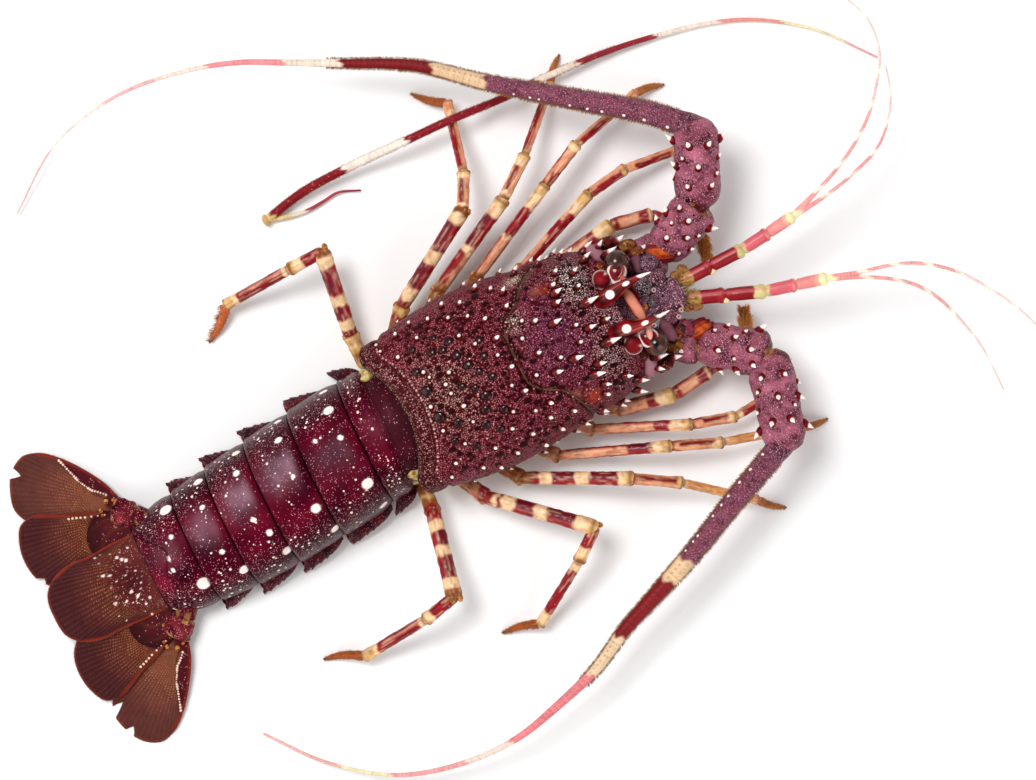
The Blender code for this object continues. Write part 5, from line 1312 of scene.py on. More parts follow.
# Colours along each of an antennule's four lengths, each from so many millimetres on
ANTENNULE_BANDS = (
    ((0, "#b98a48"), (4.5, "#8c0d18"), (10.6, "#9c1622")),
    ((0, "#8c0d18"), (10.9, "#cfc184")),
    ((0, "#cfc184"), (1.6, "#d9606a"), (10.2, "#e98a86")),
    ((0, "#ea8f8a"), (7.0, "#efaa94"), (8.6, "#f2e6ae")),
)


def build_antennules(look):
    """Each antennule: four lengths that swell at their joints, and two thin lashes in pink and pale bands."""
    for word in ("left", "right"):
        route = np.array(ANTENNULE_ROUTE[word], float)
        shapes = []
        for k in range(4):
            start, end = route[k], route[k + 1]
            length = np.linalg.norm(end - start)
            run = np.linspace(-0.3, length + 0.5, 70)
            share = run / length
            half = ANTENNULE_HALF_WIDTHS[k] * through(
                ((-0.03, 0.5), (0.04, 0.82), (0.2, 0.93), (0.8, 1.0), (0.95, 1.05), (1.04, 0.6)), share
            )
            path = start + unit(end - start) * run[:, None]
            grid, angles = tube(path, half, half * 0.95, 32)
            tint = bands(run[:, None] + 0.35 * np.sin(3 * angles + k), ANTENNULE_BANDS[k], 0.8)
            stripe = np.exp(-(((angles - 1.2) / 0.25) ** 2)) * (k < 3)
            tint = mix(tint, "#d8757a", 0.5 * stripe * np.ones((len(run), 1)))
            shapes.append(surface(grid, tint))
        nub = route[0] + (route[1] - route[0]) * 0.97 + [(-2.1 if word == "left" else -2.0), 0, 0.6]
        grid, _, _ = ball(nub, np.diag((1.3, 1.4, 1.2)), 16, 20)
        shapes.append(surface(grid, "#f0dcae"))
        make(f"antennule_{word}_stem", shapes, look, [f"antennule_{word}_peduncle"])
        lashes = []
        for number, branch in enumerate(ANTENNULE_FLAGELLA[word]):
            route_out = np.vstack([route[-1], branch])
            _, distances = along(route_out, 1.0)
            length = distances[-1]
            table = [(0, "#f4e6b6"), (3, "#ee9a96")]
            cuts = np.arange(12 + number, length - 6, 12.5)
            for step, cut in enumerate(cuts):
                table += [(cut, "#fbf0dc"), (cut + 3.6, "#f0a5a0" if step < 3 else "#f6cbc4")]
            taper = ((0, 1.35), (length * 0.05, 1.1), (length * 0.5, 0.62), (length, 0.25))
            grid, tint, *_ = whip(route_out, taper, table, 0.36, 12, 1.0)
            lashes.append(surface(grid, tint))
        make(f"antennule_{word}_lashes", lashes, look, [f"antennule_{word}_flagella"])


def build_loose_feeler(look, hair):
    """A loose banded length over the left rear legs: dashes in its pale bands, a knob and a curled end."""
    grid, tint, run, half, angles, path = whip(
        LOOSE_FEELER_ROUTE, LOOSE_FEELER_TAPER, LOOSE_BANDS, 0.32, 22, 1.1
    )
    pale = smooth(36, 37, run) * (1 - smooth(61, 62, run))
    pale = pale + smooth(118, 119, run) * (1 - smooth(132, 133, run))
    dash = np.clip(np.sin(run * math.pi) * 2, 0, 1)[:, None] * np.exp(-(((angles - 1.6) / 0.12) ** 2))
    tint = mix(tint, "#b79a84", 0.4 * dash * pale[:, None])
    fleck = 0.12 * ((1 - smooth(166, 168, run)) * (1 - pale))[:, None]
    knob, _, _ = ball(np.array(LOOSE_FEELER_ROUTE[0]) + [0.1, -0.3, 0.1], np.diag((2.3, 1.5, 2.1)), 18, 24)
    curl, curl_tint, *_ = whip(LOOSE_CURL_ROUTE, ((0, 0.95), (38, 0.35)), CURL_BANDS, 0.3, 12, 1.0)
    shapes = [surface(grid, tint, "#b86a68", fleck), surface(knob, "#c9a56a"), surface(curl, curl_tint)]
    make("feeler_loose_lash", shapes, look, ["feeler_loose_1", "feeler_loose_2"])
    places = [(angle, 2, 150, 3.2) for angle in (0, 14, 180, 166)]
    fringe = bristle_rows(path, run, half, places, 0.7, 0.07, bristle_colours("#7a2a24", "#c98a72"), 22)
    make("feeler_loose_bristles", [fringe], hair)


# Legs

HIP_FORWARD = {0: 62, 1: 47, 2: 31, 3: 16.5, 4: 2.5, 5: -9.5}
HIP_OUT = {0: 19, 1: 25, 2: 27, 3: 27.5, 4: 26.5, 5: 24}
COXA_FORWARD = {0: 64, 1: 45, 2: 31, 3: 18.5, 4: 6, 5: -4}
HIP_HEIGHT = 8.5
COXA_HEIGHT = 7.0
LEG_LENGTHS = {
    0: (15.5, 22, 15.8, 20, 10), 1: (14.3, 37.5, 16.6, 26, 15), 2: (15.3, 43, 19.4, 32.5, 13.5),
    3: (15.2, 42.3, 18.8, 32.5, 14), 4: (16, 44, 14.2, 32, 16.5), 5: (13.5, 34.3, 13.9, 32, 17.5),
}
LEG_THICKNESS = {
    0: (3.1, 3.2, 2.9, 2.4, 1.9), 1: (2.8, 2.3, 2.3, 2.0, 1.5), 2: (2.9, 2.3, 2.3, 1.9, 1.5),
    3: (3.1, 2.8, 2.4, 1.9, 1.5), 4: (3.2, 3.1, 2.5, 2.1, 1.6), 5: (3.2, 3.3, 2.6, 2.3, 1.7),
}
LEG_POSE = {  # for each length its heading from straight ahead, outwards, and its rise, in degrees
    ("left", 1): ((25, 10), (22, 9), (9, -6), (-5, -18), (6, 0)),
    ("left", 2): ((35, 13), (27, 11), (27, -6), (16, -21), (-7, 0)),
    ("left", 3): ((41, 14), (28, 13), (38, -6), (45, -24), (47, 0)),
    ("left", 4): ((48, 18), (31, 15), (63, -8), (77, -29), (137, 0)),
    ("left", 5): ((89, 19), (82, 21), (181, -12), (181, -28), (217, 0)),
    ("right", 1): ((46, 10), (23, 8), (16, -5), (-3, -20), (-95, 0)),
    ("right", 2): ((49, 13), (21, 10), (22, -6), (16, -19), (9, 0)),
    ("right", 3): ((56, 13), (26, 13), (31, -6), (39, -22), (42, 0)),
    ("right", 4): ((63, 14), (41, 16), (141, -13), (146, -27), (190, 0)),
    ("right", 5): ((95, 20), (101, 20), (167, -12), (173, -29), (200, 0)),
    ("left", 0): ((31, 7), (10, 3), (-11, 1), (-47, 0), (-103, -3)),
    ("right", 0): ((65, 8), (10, 2), (-7, 1), (-19, 0), (-70, -3)),
}
TIP_HEIGHT = 0.25
TIP_FLAT = 1.5
# One letter for each short stretch of a length, from its root; leg_colour says what each looks like
LEG_PATTERN = {
    ("left", 1): ("bbbbtt", "tuuuuuuuuurrrrruuucccyyy", "buuuuuuuuuuy", "cppuuuuuuuuuuppppp", "oooooo"),
    ("left", 2): ("bbbbbb", "bvvvvvvvvvcrrrrrrrccccyy", "buuuvvvvvvcy", "cuuuuuuuuuuuuuuuupppp", "oooooo"),
    ("left", 3): ("bbbbbb", "bbwwwwwwwwccmmmmmmmmcccy", "bcjjjjjjjccy", "ywwwwwwwwwwwwwwwwccc", "oooooo"),
    ("left", 4): ("yybbry", "rrcccmmmmmmcccmmmmmmmccb", "bcjjjjjjjjcy", "ywwwwwwwwwwwwwwrccppp", "dddddd"),
    ("left", 5): (
        "ybbycy", "rrcccmmmmcccmmmmmmmmcccb", "bhhrrrrcccyb", "cchhhhhhhhhhhhhhhrccyyy", "eeeeee"
    ),
    ("right", 1): ("bbbbtt", "ttttvvvvvvvvvvvrrrrcccyy", "bvvjjjjjjjcy", "ccuuuuuuuuuuuuuppppp", "oooooo"),
    ("right", 2): ("bbbbbt", "btvvvvvvvvvvvvvmmmmmccyy", "bvjjjjjjjjcy", "cxxxxxxxxxxxxxxxpppp", "oooooo"),
    ("right", 3): ("bbbbbb", "bbbrcccmmmmmcccmmmmmmccy", "bjjjjjjjjjjy", "cxxxxxxxxxxxxxxxpppp", "oooooo"),
    ("right", 4): (
        "bybbtr", "rrcrcccmmmmcccmmmmmmcccy", "bbhrrrrcccyb", "ccchrrrrrrrrrrrrrrrccccy", "dddddd"
    ),
    ("right", 5): (
        "ybbybr", "rrrcccmmmmcccmmmmmmcccbb", "bbhrrrrrrccy", "cchhhhhhhhhhhhhhrrccyyyy", "dddddd"
    ),
    ("left", 0): ("bbbttt", "ttvvvvvrrccyy", "brvvvvvrrc", "rrvvvvrrpp", "dddddd"),
    ("right", 0): ("bbbttt", "ttvvvvvrrccyy", "brvvvvvrrc", "rrvvvvrrpp", "dddddd"),
}
PLAIN_LEG = {
    "r": "#8e0a1a", "c": "#f5cc9c", "y": "#dcae6c", "b": "#935420", "p": "#e89c6c", "t": "#c8805c",
    "o": "#b0642a", "d": "#a04c18", "e": "#c65f30",
}
PALE_SIDE = {"u": 30, "v": 95, "w": 150}


def leg_colour(letter, angles):
    """A stretch's colour round the leg: plain; m a maroon block with a purple back and a thin pale line near
    its top, which is a painted highlight; u, v, w a peach side and a red one; j a red stripe on peach; x a
    thin red edge; h red with a thin pale line near its top, a painted highlight."""
    ones = np.ones((*angles.shape, 1))
    if letter in PLAIN_LEG:
        return lin(PLAIN_LEG[letter]) * ones
    degrees = np.degrees(angles) % 360

    def near(middle, width):
        gap = np.abs((degrees - middle + 180) % 360 - 180)
        return 1 - smooth(width - 14, width + 14, gap)

    if letter == "m":
        colour = mix(lin("#6c0a1e") * ones, lin("#920c16") * ones, near(185, 70))
        # painted highlight: a thin pale line along the leg near its top
        return mix(colour, lin("#b84a4a") * ones, 0.7 * near(112, 7))
    if letter == "h":
        # painted highlight: a thin pale line along the leg near its top
        return mix(lin("#80090f") * ones, lin("#d68a78") * ones, near(112, 11))
    if letter == "x":
        return mix(lin("#d8965a") * ones, lin("#820c10") * ones, near(190, 34))
    if letter == "j":
        return mix(
            lin("#e29c70") * ones, lin("#74060c") * ones, np.clip(near(75, 24) + near(185, 24), 0, 1)
        )
    return mix(lin("#8e0c16") * ones, lin("#e39a74") * ones, near(PALE_SIDE[letter], 44))


def leg_joints(side, word, pair):
    """Hip, then the end of each length; a walking leg's claw dips until its tip is on the floor."""
    joints = [np.array([side * HIP_OUT[pair], HIP_FORWARD[pair], HIP_HEIGHT])]
    for number, (heading, rise) in enumerate(LEG_POSE[word, pair]):
        length = LEG_LENGTHS[pair][number]
        if number == 4 and pair:
            rise = math.degrees(math.asin((TIP_HEIGHT - joints[-1][2]) / length))
        level = math.cos(math.radians(rise))
        out = math.sin(math.radians(heading)) * level * side
        ahead = math.cos(math.radians(heading)) * level
        joints.append(joints[-1] + length * np.array([out, ahead, math.sin(math.radians(rise))]))
    return np.array(joints)


LIMB = (
    (-0.04, 0.45), (0.0, 0.78), (0.06, 0.9), (0.2, 0.95), (0.5, 0.95), (0.8, 0.98), (0.92, 1.04),
    (0.985, 0.98), (1.03, 0.6)
)

LIMB_SIDES = 26


def limb_length(start, end, half, letters, seed):
    """One length of a leg: half·LIMB(share), a shallow groove on both sides, bands with soft uneven edges,
    red-brown streaks drawn out along it, and pale streaks drawn out along it that are painted highlights."""
    length = np.linalg.norm(end - start)
    share = np.linspace(-0.04, 1.03, max(24, int(length / 0.38)))
    path = start + (end - start) * share[:, None]
    angles = np.arange(LIMB_SIDES) * 2 * math.pi / LIMB_SIDES
    radius = (half * through(LIMB, share))[:, None] * (1 - 0.05 * np.cos(2 * angles) ** 4)
    grid, _ = tube(path, radius, radius * 1.05, LIMB_SIDES)
    grid = lumpy(grid, 0.08, 3.2, seed)
    palette = np.array([leg_colour(letter, angles) for letter in letters])
    unrolled = (share[:, None] * length, 4 * np.cos(angles)[None], 4 * np.sin(angles)[None])
    unrolled = np.stack(np.broadcast_arrays(*unrolled), -1)
    cell = share[:, None] * len(letters) - 0.5 + 0.32 * ripple(unrolled, 5.0, seed + 1)
    cell = np.clip(cell, 0, len(letters) - 1)
    low = np.minimum(cell.astype(int), len(letters) - 2)
    column = np.broadcast_to(np.arange(LIMB_SIDES), cell.shape)
    tint = mix(palette[low, column], palette[low + 1, column], smooth(0.1, 0.9, cell - low))
    drawn_out = unrolled * [0.22, 1, 1]
    tint = mix(tint, "#94181c", 0.42 * smooth(0.1, 1.1, ripple(drawn_out, 1.8, seed + 4)))
    # painted highlights: pale streaks drawn out along the leg
    tint = mix(tint, "#fbd2ae", 0.36 * smooth(0.3, 1.1, ripple(drawn_out, 1.8, seed + 6)))
    worn = smooth(0.35, 1.1, ripple(grid, 3.1, seed + 2))
    tint = tint * (1 - 0.25 * worn[..., None])
    joint = np.exp(-(((share - 0.015) / 0.022) ** 2)) + 0.9 * np.exp(-(((share - 0.995) / 0.018) ** 2))
    tint = mix(tint, "#6c3214", 0.7 * np.clip(joint, 0, 1)[:, None])
    return surface(grid, tint, "#e0a0a0", 0.06)


def knuckles(joint, before, after, half):
    """The hinge bosses on both sides of a knee."""
    across = unit(np.cross(unit(before) + unit(after), [0, 0, 1]))
    shapes = []
    for side in (1, -1):
        centre = joint + across * side * half * 0.7 - unit(before) * 0.5
        grid, _, _ = ball(centre, axes_along(before, half * 0.5, half * 0.36, half * 0.42), 14, 18)
        shapes.append(
            surface(grid, mix("#c8843c", "#7a2c14", 0.45 + 0.55 * ripple(grid, 1.6, 3)), fleck=0.1)
        )
    return shapes


def claw_shape(word, joints, half_width, letter, seed):
    """The last length of a leg: it tapers and bows sideways, and ends in a horny point on the floor."""
    start, tip = joints[4], joints[5]
    level = unit((tip - start) * [1, 1, 0])
    foot = tip - level * TIP_FLAT
    bow = np.cross(unit(foot - start), [0, 0, 1]) * (0.06 if word == "left" else -0.06)
    bow = bow * np.linalg.norm(tip - start)
    share = np.linspace(-0.03, 1, 48)
    path = start + np.outer(share, tip - start) + np.outer(np.sin(np.clip(share, 0, 1) * math.pi), bow)
    taper = ((-0.03, 0.6), (0.05, 0.98), (0.3, 1.0), (0.6, 0.82), (0.85, 0.5), (1, 0.14))
    half = half_width * through(taper, share)
    path[:, 2] = np.maximum(path[:, 2], half * 0.9)
    grid, _ = tube(path, half, half, 20)
    tint = mix(PLAIN_LEG[letter], "#5f3112", 0.45 * smooth(0, 1, ripple(grid, 1.6, seed)))
    tint = mix(tint, "#3a1c0a", smooth(0.88, 0.98, share)[:, None])
    return surface(grid, tint), path, half


def above_floor(shape):
    """Lifts the points that would reach the floor."""
    shape.points[:, 2] = np.maximum(shape.points[:, 2], BRISTLE_FLOOR)
    return shape


BRISTLE_FLOOR = 0.1


def claw_bristles(path, half, seed, long, comb):
    """Short stiff hair all round a claw, with a comb along one side where asked; none reaches the floor."""
    run = run_along(path)
    places = [(angle, 0.6, run[-1] - 0.4, 11 / 8) for angle in range(0, 360, 30)]
    colours = bristle_colours("#5e2f12", "#c88c4c")
    shapes = [bristle_rows(path, run, half, places, long, 0.085, colours, seed, 0.7, 0.6)]
    if comb is not None:
        places = [(comb, 0.8, run[-1] - 0.6, 3.0), (comb + 14, 0.8, run[-1] - 0.6, 2.4)]
        colours = bristle_colours("#8a4a22", "#dfa878")
        shapes.append(bristle_rows(path, run, half, places, 2.3, 0.11, colours, seed + 1, 0.5, 0.8))
    return [above_floor(shape) for shape in shapes]


def build_legs(look, hair):
    """Ten walking legs, each in two pieces: two lengths above, then two lengths and the claw below, with
    hinge bosses at each knee; the claws' hair is one piece."""
    fringe = []
    for side, word in SIDES:
        for pair in range(1, 6):
            joints, halves = leg_joints(side, word, pair), LEG_THICKNESS[pair]
            letters = LEG_PATTERN[word, pair]
            lengths = []
            for k in range(4):
                seed = pair * 10 + k + (50 if side > 0 else 0)
                lengths.append([limb_length(joints[k], joints[k + 1], halves[k], letters[k], seed)])
                before, after = joints[k + 1] - joints[k], joints[k + 2] - joints[k + 1]
                lengths[k] += knuckles(joints[k + 1], before, after, halves[k])
            claw, path, half = claw_shape(word, joints, halves[4], letters[4][0], pair)
            comb = 180 if (word, pair) == ("left", 5) else None
            long = 1.0 if pair > 3 else 0.7
            fringe += claw_bristles(path, half, pair * 7 + (side > 0), long, comb)
            name = f"leg_{word}_{pair}"
            make(f"{name}_upper_shell", lengths[0] + lengths[1], look, [f"{name}_upper"])
            make(
                f"{name}_lower_shell", lengths[2] + lengths[3] + [claw], look,
                [f"{name}_lower"]
            )
    make("leg_bristles", fringe, hair)


def build_maxillipeds(look, hair):
    """The two leg-like mouth limbs, with brushes of hair on their last lengths."""
    for side, word in SIDES:
        joints, halves = leg_joints(side, word, 0), LEG_THICKNESS[0]
        shapes = []
        for k in range(5):
            half = halves[k] if k < 4 else 1.5
            shapes.append(limb_length(joints[k], joints[k + 1], half, LEG_PATTERN[word, 0][k], 90 + k))
        make(f"maxilliped_{word}_shell", shapes, look, [f"maxilliped_{word}"])
        brush = []
        for k, reach, first, last in ((3, 2.8, 0.3, 1.0), (4, 3.2, 0.0, 0.5), (4, 2.1, 0.45, 1.0)):
            path = joints[k] + (joints[k + 1] - joints[k]) * np.linspace(0, 1, 30)[:, None]
            run = np.linspace(0, np.linalg.norm(joints[k + 1] - joints[k]), 30)
            half = np.full(30, halves[k] * 0.85)
            places = [(angle, first * run[-1], last * run[-1], 4.0) for angle in range(0, 360, 24)]
            colours = bristle_colours("#a8561e", "#f0a858")
            hairs = bristle_rows(path, run, half, places, reach, 0.11, colours, 60 + k, 1.0, 0.7)
            brush.append(above_floor(hairs))
        make(f"maxilliped_{word}_brush", brush, hair)


THORAX_RINGS = (
    (-10.5, 8, 17, 0), (-4, 13, 21, 0), (14, 12, 22, 0), (34, 9.5, 21, 0), (52, 6, 19, 0),
    (62, 3.5, 17, 0), (70, 4.5, 15.5, 3), (80, 6, 15, 5), (88, 5, 11, 8)
)


def build_underside(look):
    """The breast plate and its rim through THORAX_RINGS, notched between legs; leg roots and jaws."""
    rows = np.linspace(-10.5, 88, 140)
    table = np.array(THORAX_RINGS, float)
    below, above, floor = (np.interp(rows, table[:, 0], table[:, i]) for i in (1, 2, 3))
    ring = []
    for share, beyond, up in ((0.92, 0, 13.9), (1, 0, 9.5), (0, 4, 2.2), (0, 0, 0)):
        out = above * share + below * (share == 0) + beyond
        ring.append(np.stack([out, floor * (up < 5) + up + 0 * rows], -1))
    ring = np.stack(ring, 1)
    corners = np.concatenate([ring, ring[:, ::-1] * [-1, 1]], axis=1)
    closed = np.concatenate([corners, corners[:, :1]], axis=1)
    steps = np.linspace(0, closed.shape[1] - 1, 97)[:-1]
    low = steps.astype(int)
    part = (steps - low)[None, :, None]
    section = closed[:, low] * (1 - part) + closed[:, low + 1] * part
    grid = np.stack(
        [section[..., 0], np.broadcast_to(rows[:, None], section.shape[:2]), section[..., 1]], -1
    )
    seam = np.min([np.abs(rows - place) for place in (-8, 4, 11.5, 24.5, 38, 53, 67)], axis=0)
    dent = np.exp(-((seam / 1.1) ** 2))[:, None] * (grid[..., 2] < 6)
    grid[..., 2] += 0.9 * dent
    tint = stained(grid, "#c79a72", "#8a3c30", 9, 2, -0.2, 0.9)
    shapes = [surface(grid, mix(tint, "#5d2018", 0.7 * dent), "#e8c9a2", 0.5)]
    for side, word in SIDES:
        for pair in range(6):
            hip = leg_joints(side, word, pair)[0]
            root = np.array([side * 9, COXA_FORWARD[pair], COXA_HEIGHT])
            share = np.linspace(0, 1.0, 26)
            half = through(((0, 3.6), (0.3, 4.1), (0.75, 4.2), (0.95, 3.4), (1, 2.4)), share)
            path = root + (hip - root) * share[:, None]
            path[:, 2] = np.maximum(path[:, 2], half * 1.05)
            part, _ = tube(path, half, half * 1.02, 24)
            shapes.append(
                surface(part, stained(part, "#d3a66e", "#7a2420", 5, pair, 0.1, 0.8), "#ecd2a8", 0.4)
            )
        for number, (left, forward, up, long) in enumerate(
            ((4.5, 74, 6.5, 9), (8.5, 70, 7.5, 8), (3, 82, 9.5, 6))
        ):
            axes = axes_along([side * 0.15, 1, 0.1], long, 2.9, 3.0)
            part, _, _ = ball([side * left, forward, up], axes, 26, 26)
            shapes.append(
                surface(part, stained(part, "#a24a3a", "#d9b07c", 4, number, -0.3, 0.9), fleck=0.3)
            )
    make("underside_plates", shapes, look, ["thorax"])


# Abdomen

SOMITE_REARS = (-21.8, -43.7, -63.2, -80.8, -96.3, -115.6)
ABDOMEN_HALF_WIDTH = (
    (-120, 17), (-112, 19), (-105, 21.5), (-96, 22.5), (-80, 24.3), (-63, 25.2), (-44, 25.6), (-22, 25),
    (-13, 23.2), (2, 22)
)
ABDOMEN_TOP = (
    (-120, 15), (-112, 20), (-105, 25), (-96, 29), (-80, 33.5), (-63, 37), (-44, 39.6), (-22, 41),
    (-12, 40.4), (2, 38.5)
)
ABDOMEN_EDGE = (
    (-120, 5), (-112, 5.5), (-96, 6.5), (-80, 7.5), (-44, 8.5), (-22, 9.6), (-17, 10.5), (-13.5, 17.6),
    (-9, 18), (2, 18.2)
)
ABDOMEN_DRIFT = -10.0
DRIFT_LENGTH = 120.0
PLEURON_OUT = (0, 28.8, 29, 28.6, 27.4, 25.4, 22.5)
PLEURON_BACK = (0, 2.5, 0.5, 1.8, 1.6, 1.4, -5)
# Large round ivory spots on the back: left, forward, radius
BACK_SPOTS = (
    (14.4, -27.8, 2.0), (-16.4, -26.5, 2.3), (-16.0, -47.5, 1.9), (12.7, -49.4, 1.5), (8.4, -69.1, 1.4),
    (-16.7, -67.1, 1.3), (-25.6, -65.0, 1.9), (-26.0, -45.6, 1.9), (-26.2, -25.7, 1.9), (-25.0, -82.3, 1.9),
    (-22.9, -98.4, 2.6), (21.7, -27.5, 1.8), (19.2, -47.5, 1.6), (15.5, -66.9, 1.7), (12.1, -84.1, 1.9),
    (8.0, -99.8, 2.4), (3.4, -27.8, 1.0), (-1.8, -50.0, 0.9), (-10, -70.5, 1.0), (-15.4, -86.5, 1.0),
    (2.6, -86.0, 1.0), (-2.0, -101.5, 1.0), (-9.0, -106.0, 1.1), (-13.8, -106.4, 0.9), (6.0, -37.0, 0.9)
)


def abdomen_middle(forward):
    """The tail curves aside: its middle line drifts by ABDOMEN_DRIFT·sin(back)^1.3, a quarter turn in all."""
    back = np.clip(-np.asarray(forward, float) / DRIFT_LENGTH, 0, 1)
    return ABDOMEN_DRIFT * np.sin(back * math.pi / 2) ** 1.3


ARCH_POINTS = 210
BELLY_POINTS = 26


def somite_grid(forward, lift):
    """Rows of a full arch over a shallow belly: out = half·|cos a|^0.88, up = edge + height·sin a^0.92."""
    tables = (ABDOMEN_HALF_WIDTH, ABDOMEN_TOP, ABDOMEN_EDGE)
    half, top, edge = (through(table, forward)[:, None] for table in tables)
    lift = lift[:, None]
    angles = np.linspace(0, math.pi, ARCH_POINTS)
    out = (half + lift * 0.6) * np.sign(np.cos(angles)) * np.abs(np.cos(angles)) ** 0.88
    up = edge + (top + lift - edge) * np.sin(angles) ** 0.92
    under = np.linspace(-0.97, 0.97, BELLY_POINTS)
    out = np.concatenate([out, half * under], axis=1)
    up = np.concatenate([up, edge - 2.4 * (1 - under**4)], axis=1)
    middle = abdomen_middle(forward)[:, None]
    return np.stack([out + middle, forward[:, None] + 0 * out, up], -1)


# The painted sheen on each ring, a painted highlight: share of the half-width left of the middle, strength
PAINTED_SHEEN = {1: (0.1, 0.2), 2: (0.05, 0.2), 3: (0.3, 0.9), 4: (0.3, 1.0), 5: (0.2, 0.75), 6: (0.1, 0.25)}


def abdomen_looks(grid, share, number, maroon, spot_scale):
    """Deep maroon glass, paler and greyer along the back where a painted sheen stands for a highlight, with
    ivory spots and speckles towards the sides.
    """
    left, forward, up = grid[..., 0], grid[..., 1], grid[..., 2]
    off = (left - abdomen_middle(forward)) / through(ABDOMEN_HALF_WIDTH, forward)
    tint = marbled(grid, "#420316", maroon, 14, 4)
    centre, strength = PAINTED_SHEEN[number]
    # painted highlight: a pale grey sheen painted along the back of each ring, strongest on rings 3 to 5
    sheen = np.exp(-(((off - centre) / 0.24) ** 2)) * smooth(0.08, 0.3, share)
    sheen = sheen * (1 - 0.8 * smooth(0.6, 0.95, share)) * strength
    tint = mix(tint, "#94707f", np.clip((0.62 + 0.15 * ripple(grid, 7, 9)) * sheen, 0, 1))
    tint = mix(tint, "#24020a", 0.75 * smooth(0.4, 0.9, np.abs(off)))
    tint = mix(tint, "#1a0208", 0.8 * (1 - smooth(0.0, 0.05, share)) + 0.55 * smooth(0.965, 1.0, share))
    arch = int(0.85 * grid.shape[1])
    spots = np.zeros(left.shape)
    for x, y, radius in BACK_SPOTS:
        if grid[-1, 0, 1] < y < grid[0, 0, 1]:
            row = np.abs(forward[:, 0] - y).argmin()
            centre = grid[row, np.abs(left[row, :arch] - x).argmin()]
            reach = np.linalg.norm(grid - centre, axis=-1) / spot_scale
            spots = np.maximum(spots, 1 - smooth(radius * 0.92, radius * 1.06, reach))
    tint = mix(tint, "#fff0e8", spots)
    fleck = (0.24 + 0.4 * smooth(0.2, 0.8, np.abs(off)) + 0.1 * ripple(grid, 12, 8)) * (1 - spots)
    fleck = fleck * smooth(0.02, 0.1, share)
    spot = 0.06 + 0.22 * smooth(0.3, 0.9, np.abs(off))
    spot = spot * (1 - smooth(0.0, 0.1, spots)) * smooth(0.05, 0.15, share)
    belly = (up < 9.0) & (np.abs(off) < 0.97)
    return np.where(belly[..., None], lin("#8a4a3a"), tint), fleck, spot


def pleuron_shape(number, side, start, end):
    """A side plate from its root line on the somite to a toothed margin: root·(1-u) + margin·u + bulge."""
    middle, half, edge = abdomen_middle(end), through(ABDOMEN_HALF_WIDTH, end), through(ABDOMEN_EDGE, end)
    length = start - end
    beyond = PLEURON_OUT[number] - half
    v = np.linspace(0, 1, 110)
    ends = np.array([(half - 3.5, start - 0.05 * length, edge + 4.5), (half - 3.5, end + 0.6, edge + 4.5)])
    outline = np.array([
        (half - 0.8, start - 0.08 * length, edge + 1.5),
        (half + 0.35 * beyond, start - 0.28 * length, edge - 0.6),
        (half + 0.75 * beyond, start - 0.62 * length, edge - 2.6),
        (PLEURON_OUT[number], end - PLEURON_BACK[number], 2.6), (half + 0.4, end + 0.4, edge - 0.6),
        (half - 2.5, end + 0.3, edge + 2.5)
    ])
    ends, outline = ends * [side, 1, 1], outline * [side, 1, 1]
    root = ends[0] + (ends[1] - ends[0]) * v[:, None]
    outline = through(np.column_stack([(0, 0.22, 0.5, 0.76, 0.88, 1), outline]), v)
    saw = np.abs(((v * 11) % 1) - 0.25) * smooth(0.3, 0.5, v) * (1 - smooth(0.92, 1, v))
    outline = outline + np.outer(saw, [side * 0.8, -0.3, -0.2])
    u = np.linspace(0, 1, 34)[None, :, None]
    plate = root[:, None] * (1 - u) + outline[:, None] * u
    bulge = np.sin(np.pi * u[..., 0] * 0.8) * np.sin(np.pi * np.clip(v, 0.02, 0.98))[:, None]
    plate = plate + np.array([side * 1.1, 0, 0.9]) * bulge[..., None] + [middle, 0, 0]
    thick = 0.9 * (1 - 0.7 * u) * np.array([-side * 0.8, 0, -0.7])
    tint = marbled(plate, "#26020a", "#460612", 7, 5)
    rim = smooth(0.9, 0.97, u[..., 0]) * smooth(0.0, 0.5, np.sin(v * 60 + number)[:, None])
    tint = mix(tint, "#a86a68", np.clip(rim, 0, 1) * smooth(0.15, 0.4, v)[:, None])
    return leaf(plate, plate + thick, tint, "#b87a80", 0.5, 0.15)


def swimmeret_shape(side, start, end):
    """A flat rounded paddle that shows past its side plate."""
    middle, half = abdomen_middle(end), through(ABDOMEN_HALF_WIDTH, end)
    root = np.array([middle + side * half * 0.72, (start + end) / 2, 7.5])
    reach = np.array([side * (half * 0.28 + 3.6), -0.52 * (start - end), -5.2])
    share = np.linspace(0, 1, 40)
    path = root + np.outer(share, reach)
    wide = through(((0, 2.4), (0.35, 3.6), (0.7, 3.6), (0.9, 2.4), (1, 0.6)), share)
    thin = through(((0, 1.5), (0.5, 1.2), (0.9, 0.8), (1, 0.3)), share)
    grid, _ = tube(path, wide, thin, 30)
    tint = marbled(grid, "#4c0509", "#7c0d14", 5, 3)
    return surface(grid, mix(tint, "#c98478", 0.6 * smooth(0.9, 1.0, share)[:, None]))


UROPOD_JOINTS = ((16, -108, 10), (21.5, -112.5, 8.6), (25.6, -118.8, 6.4))


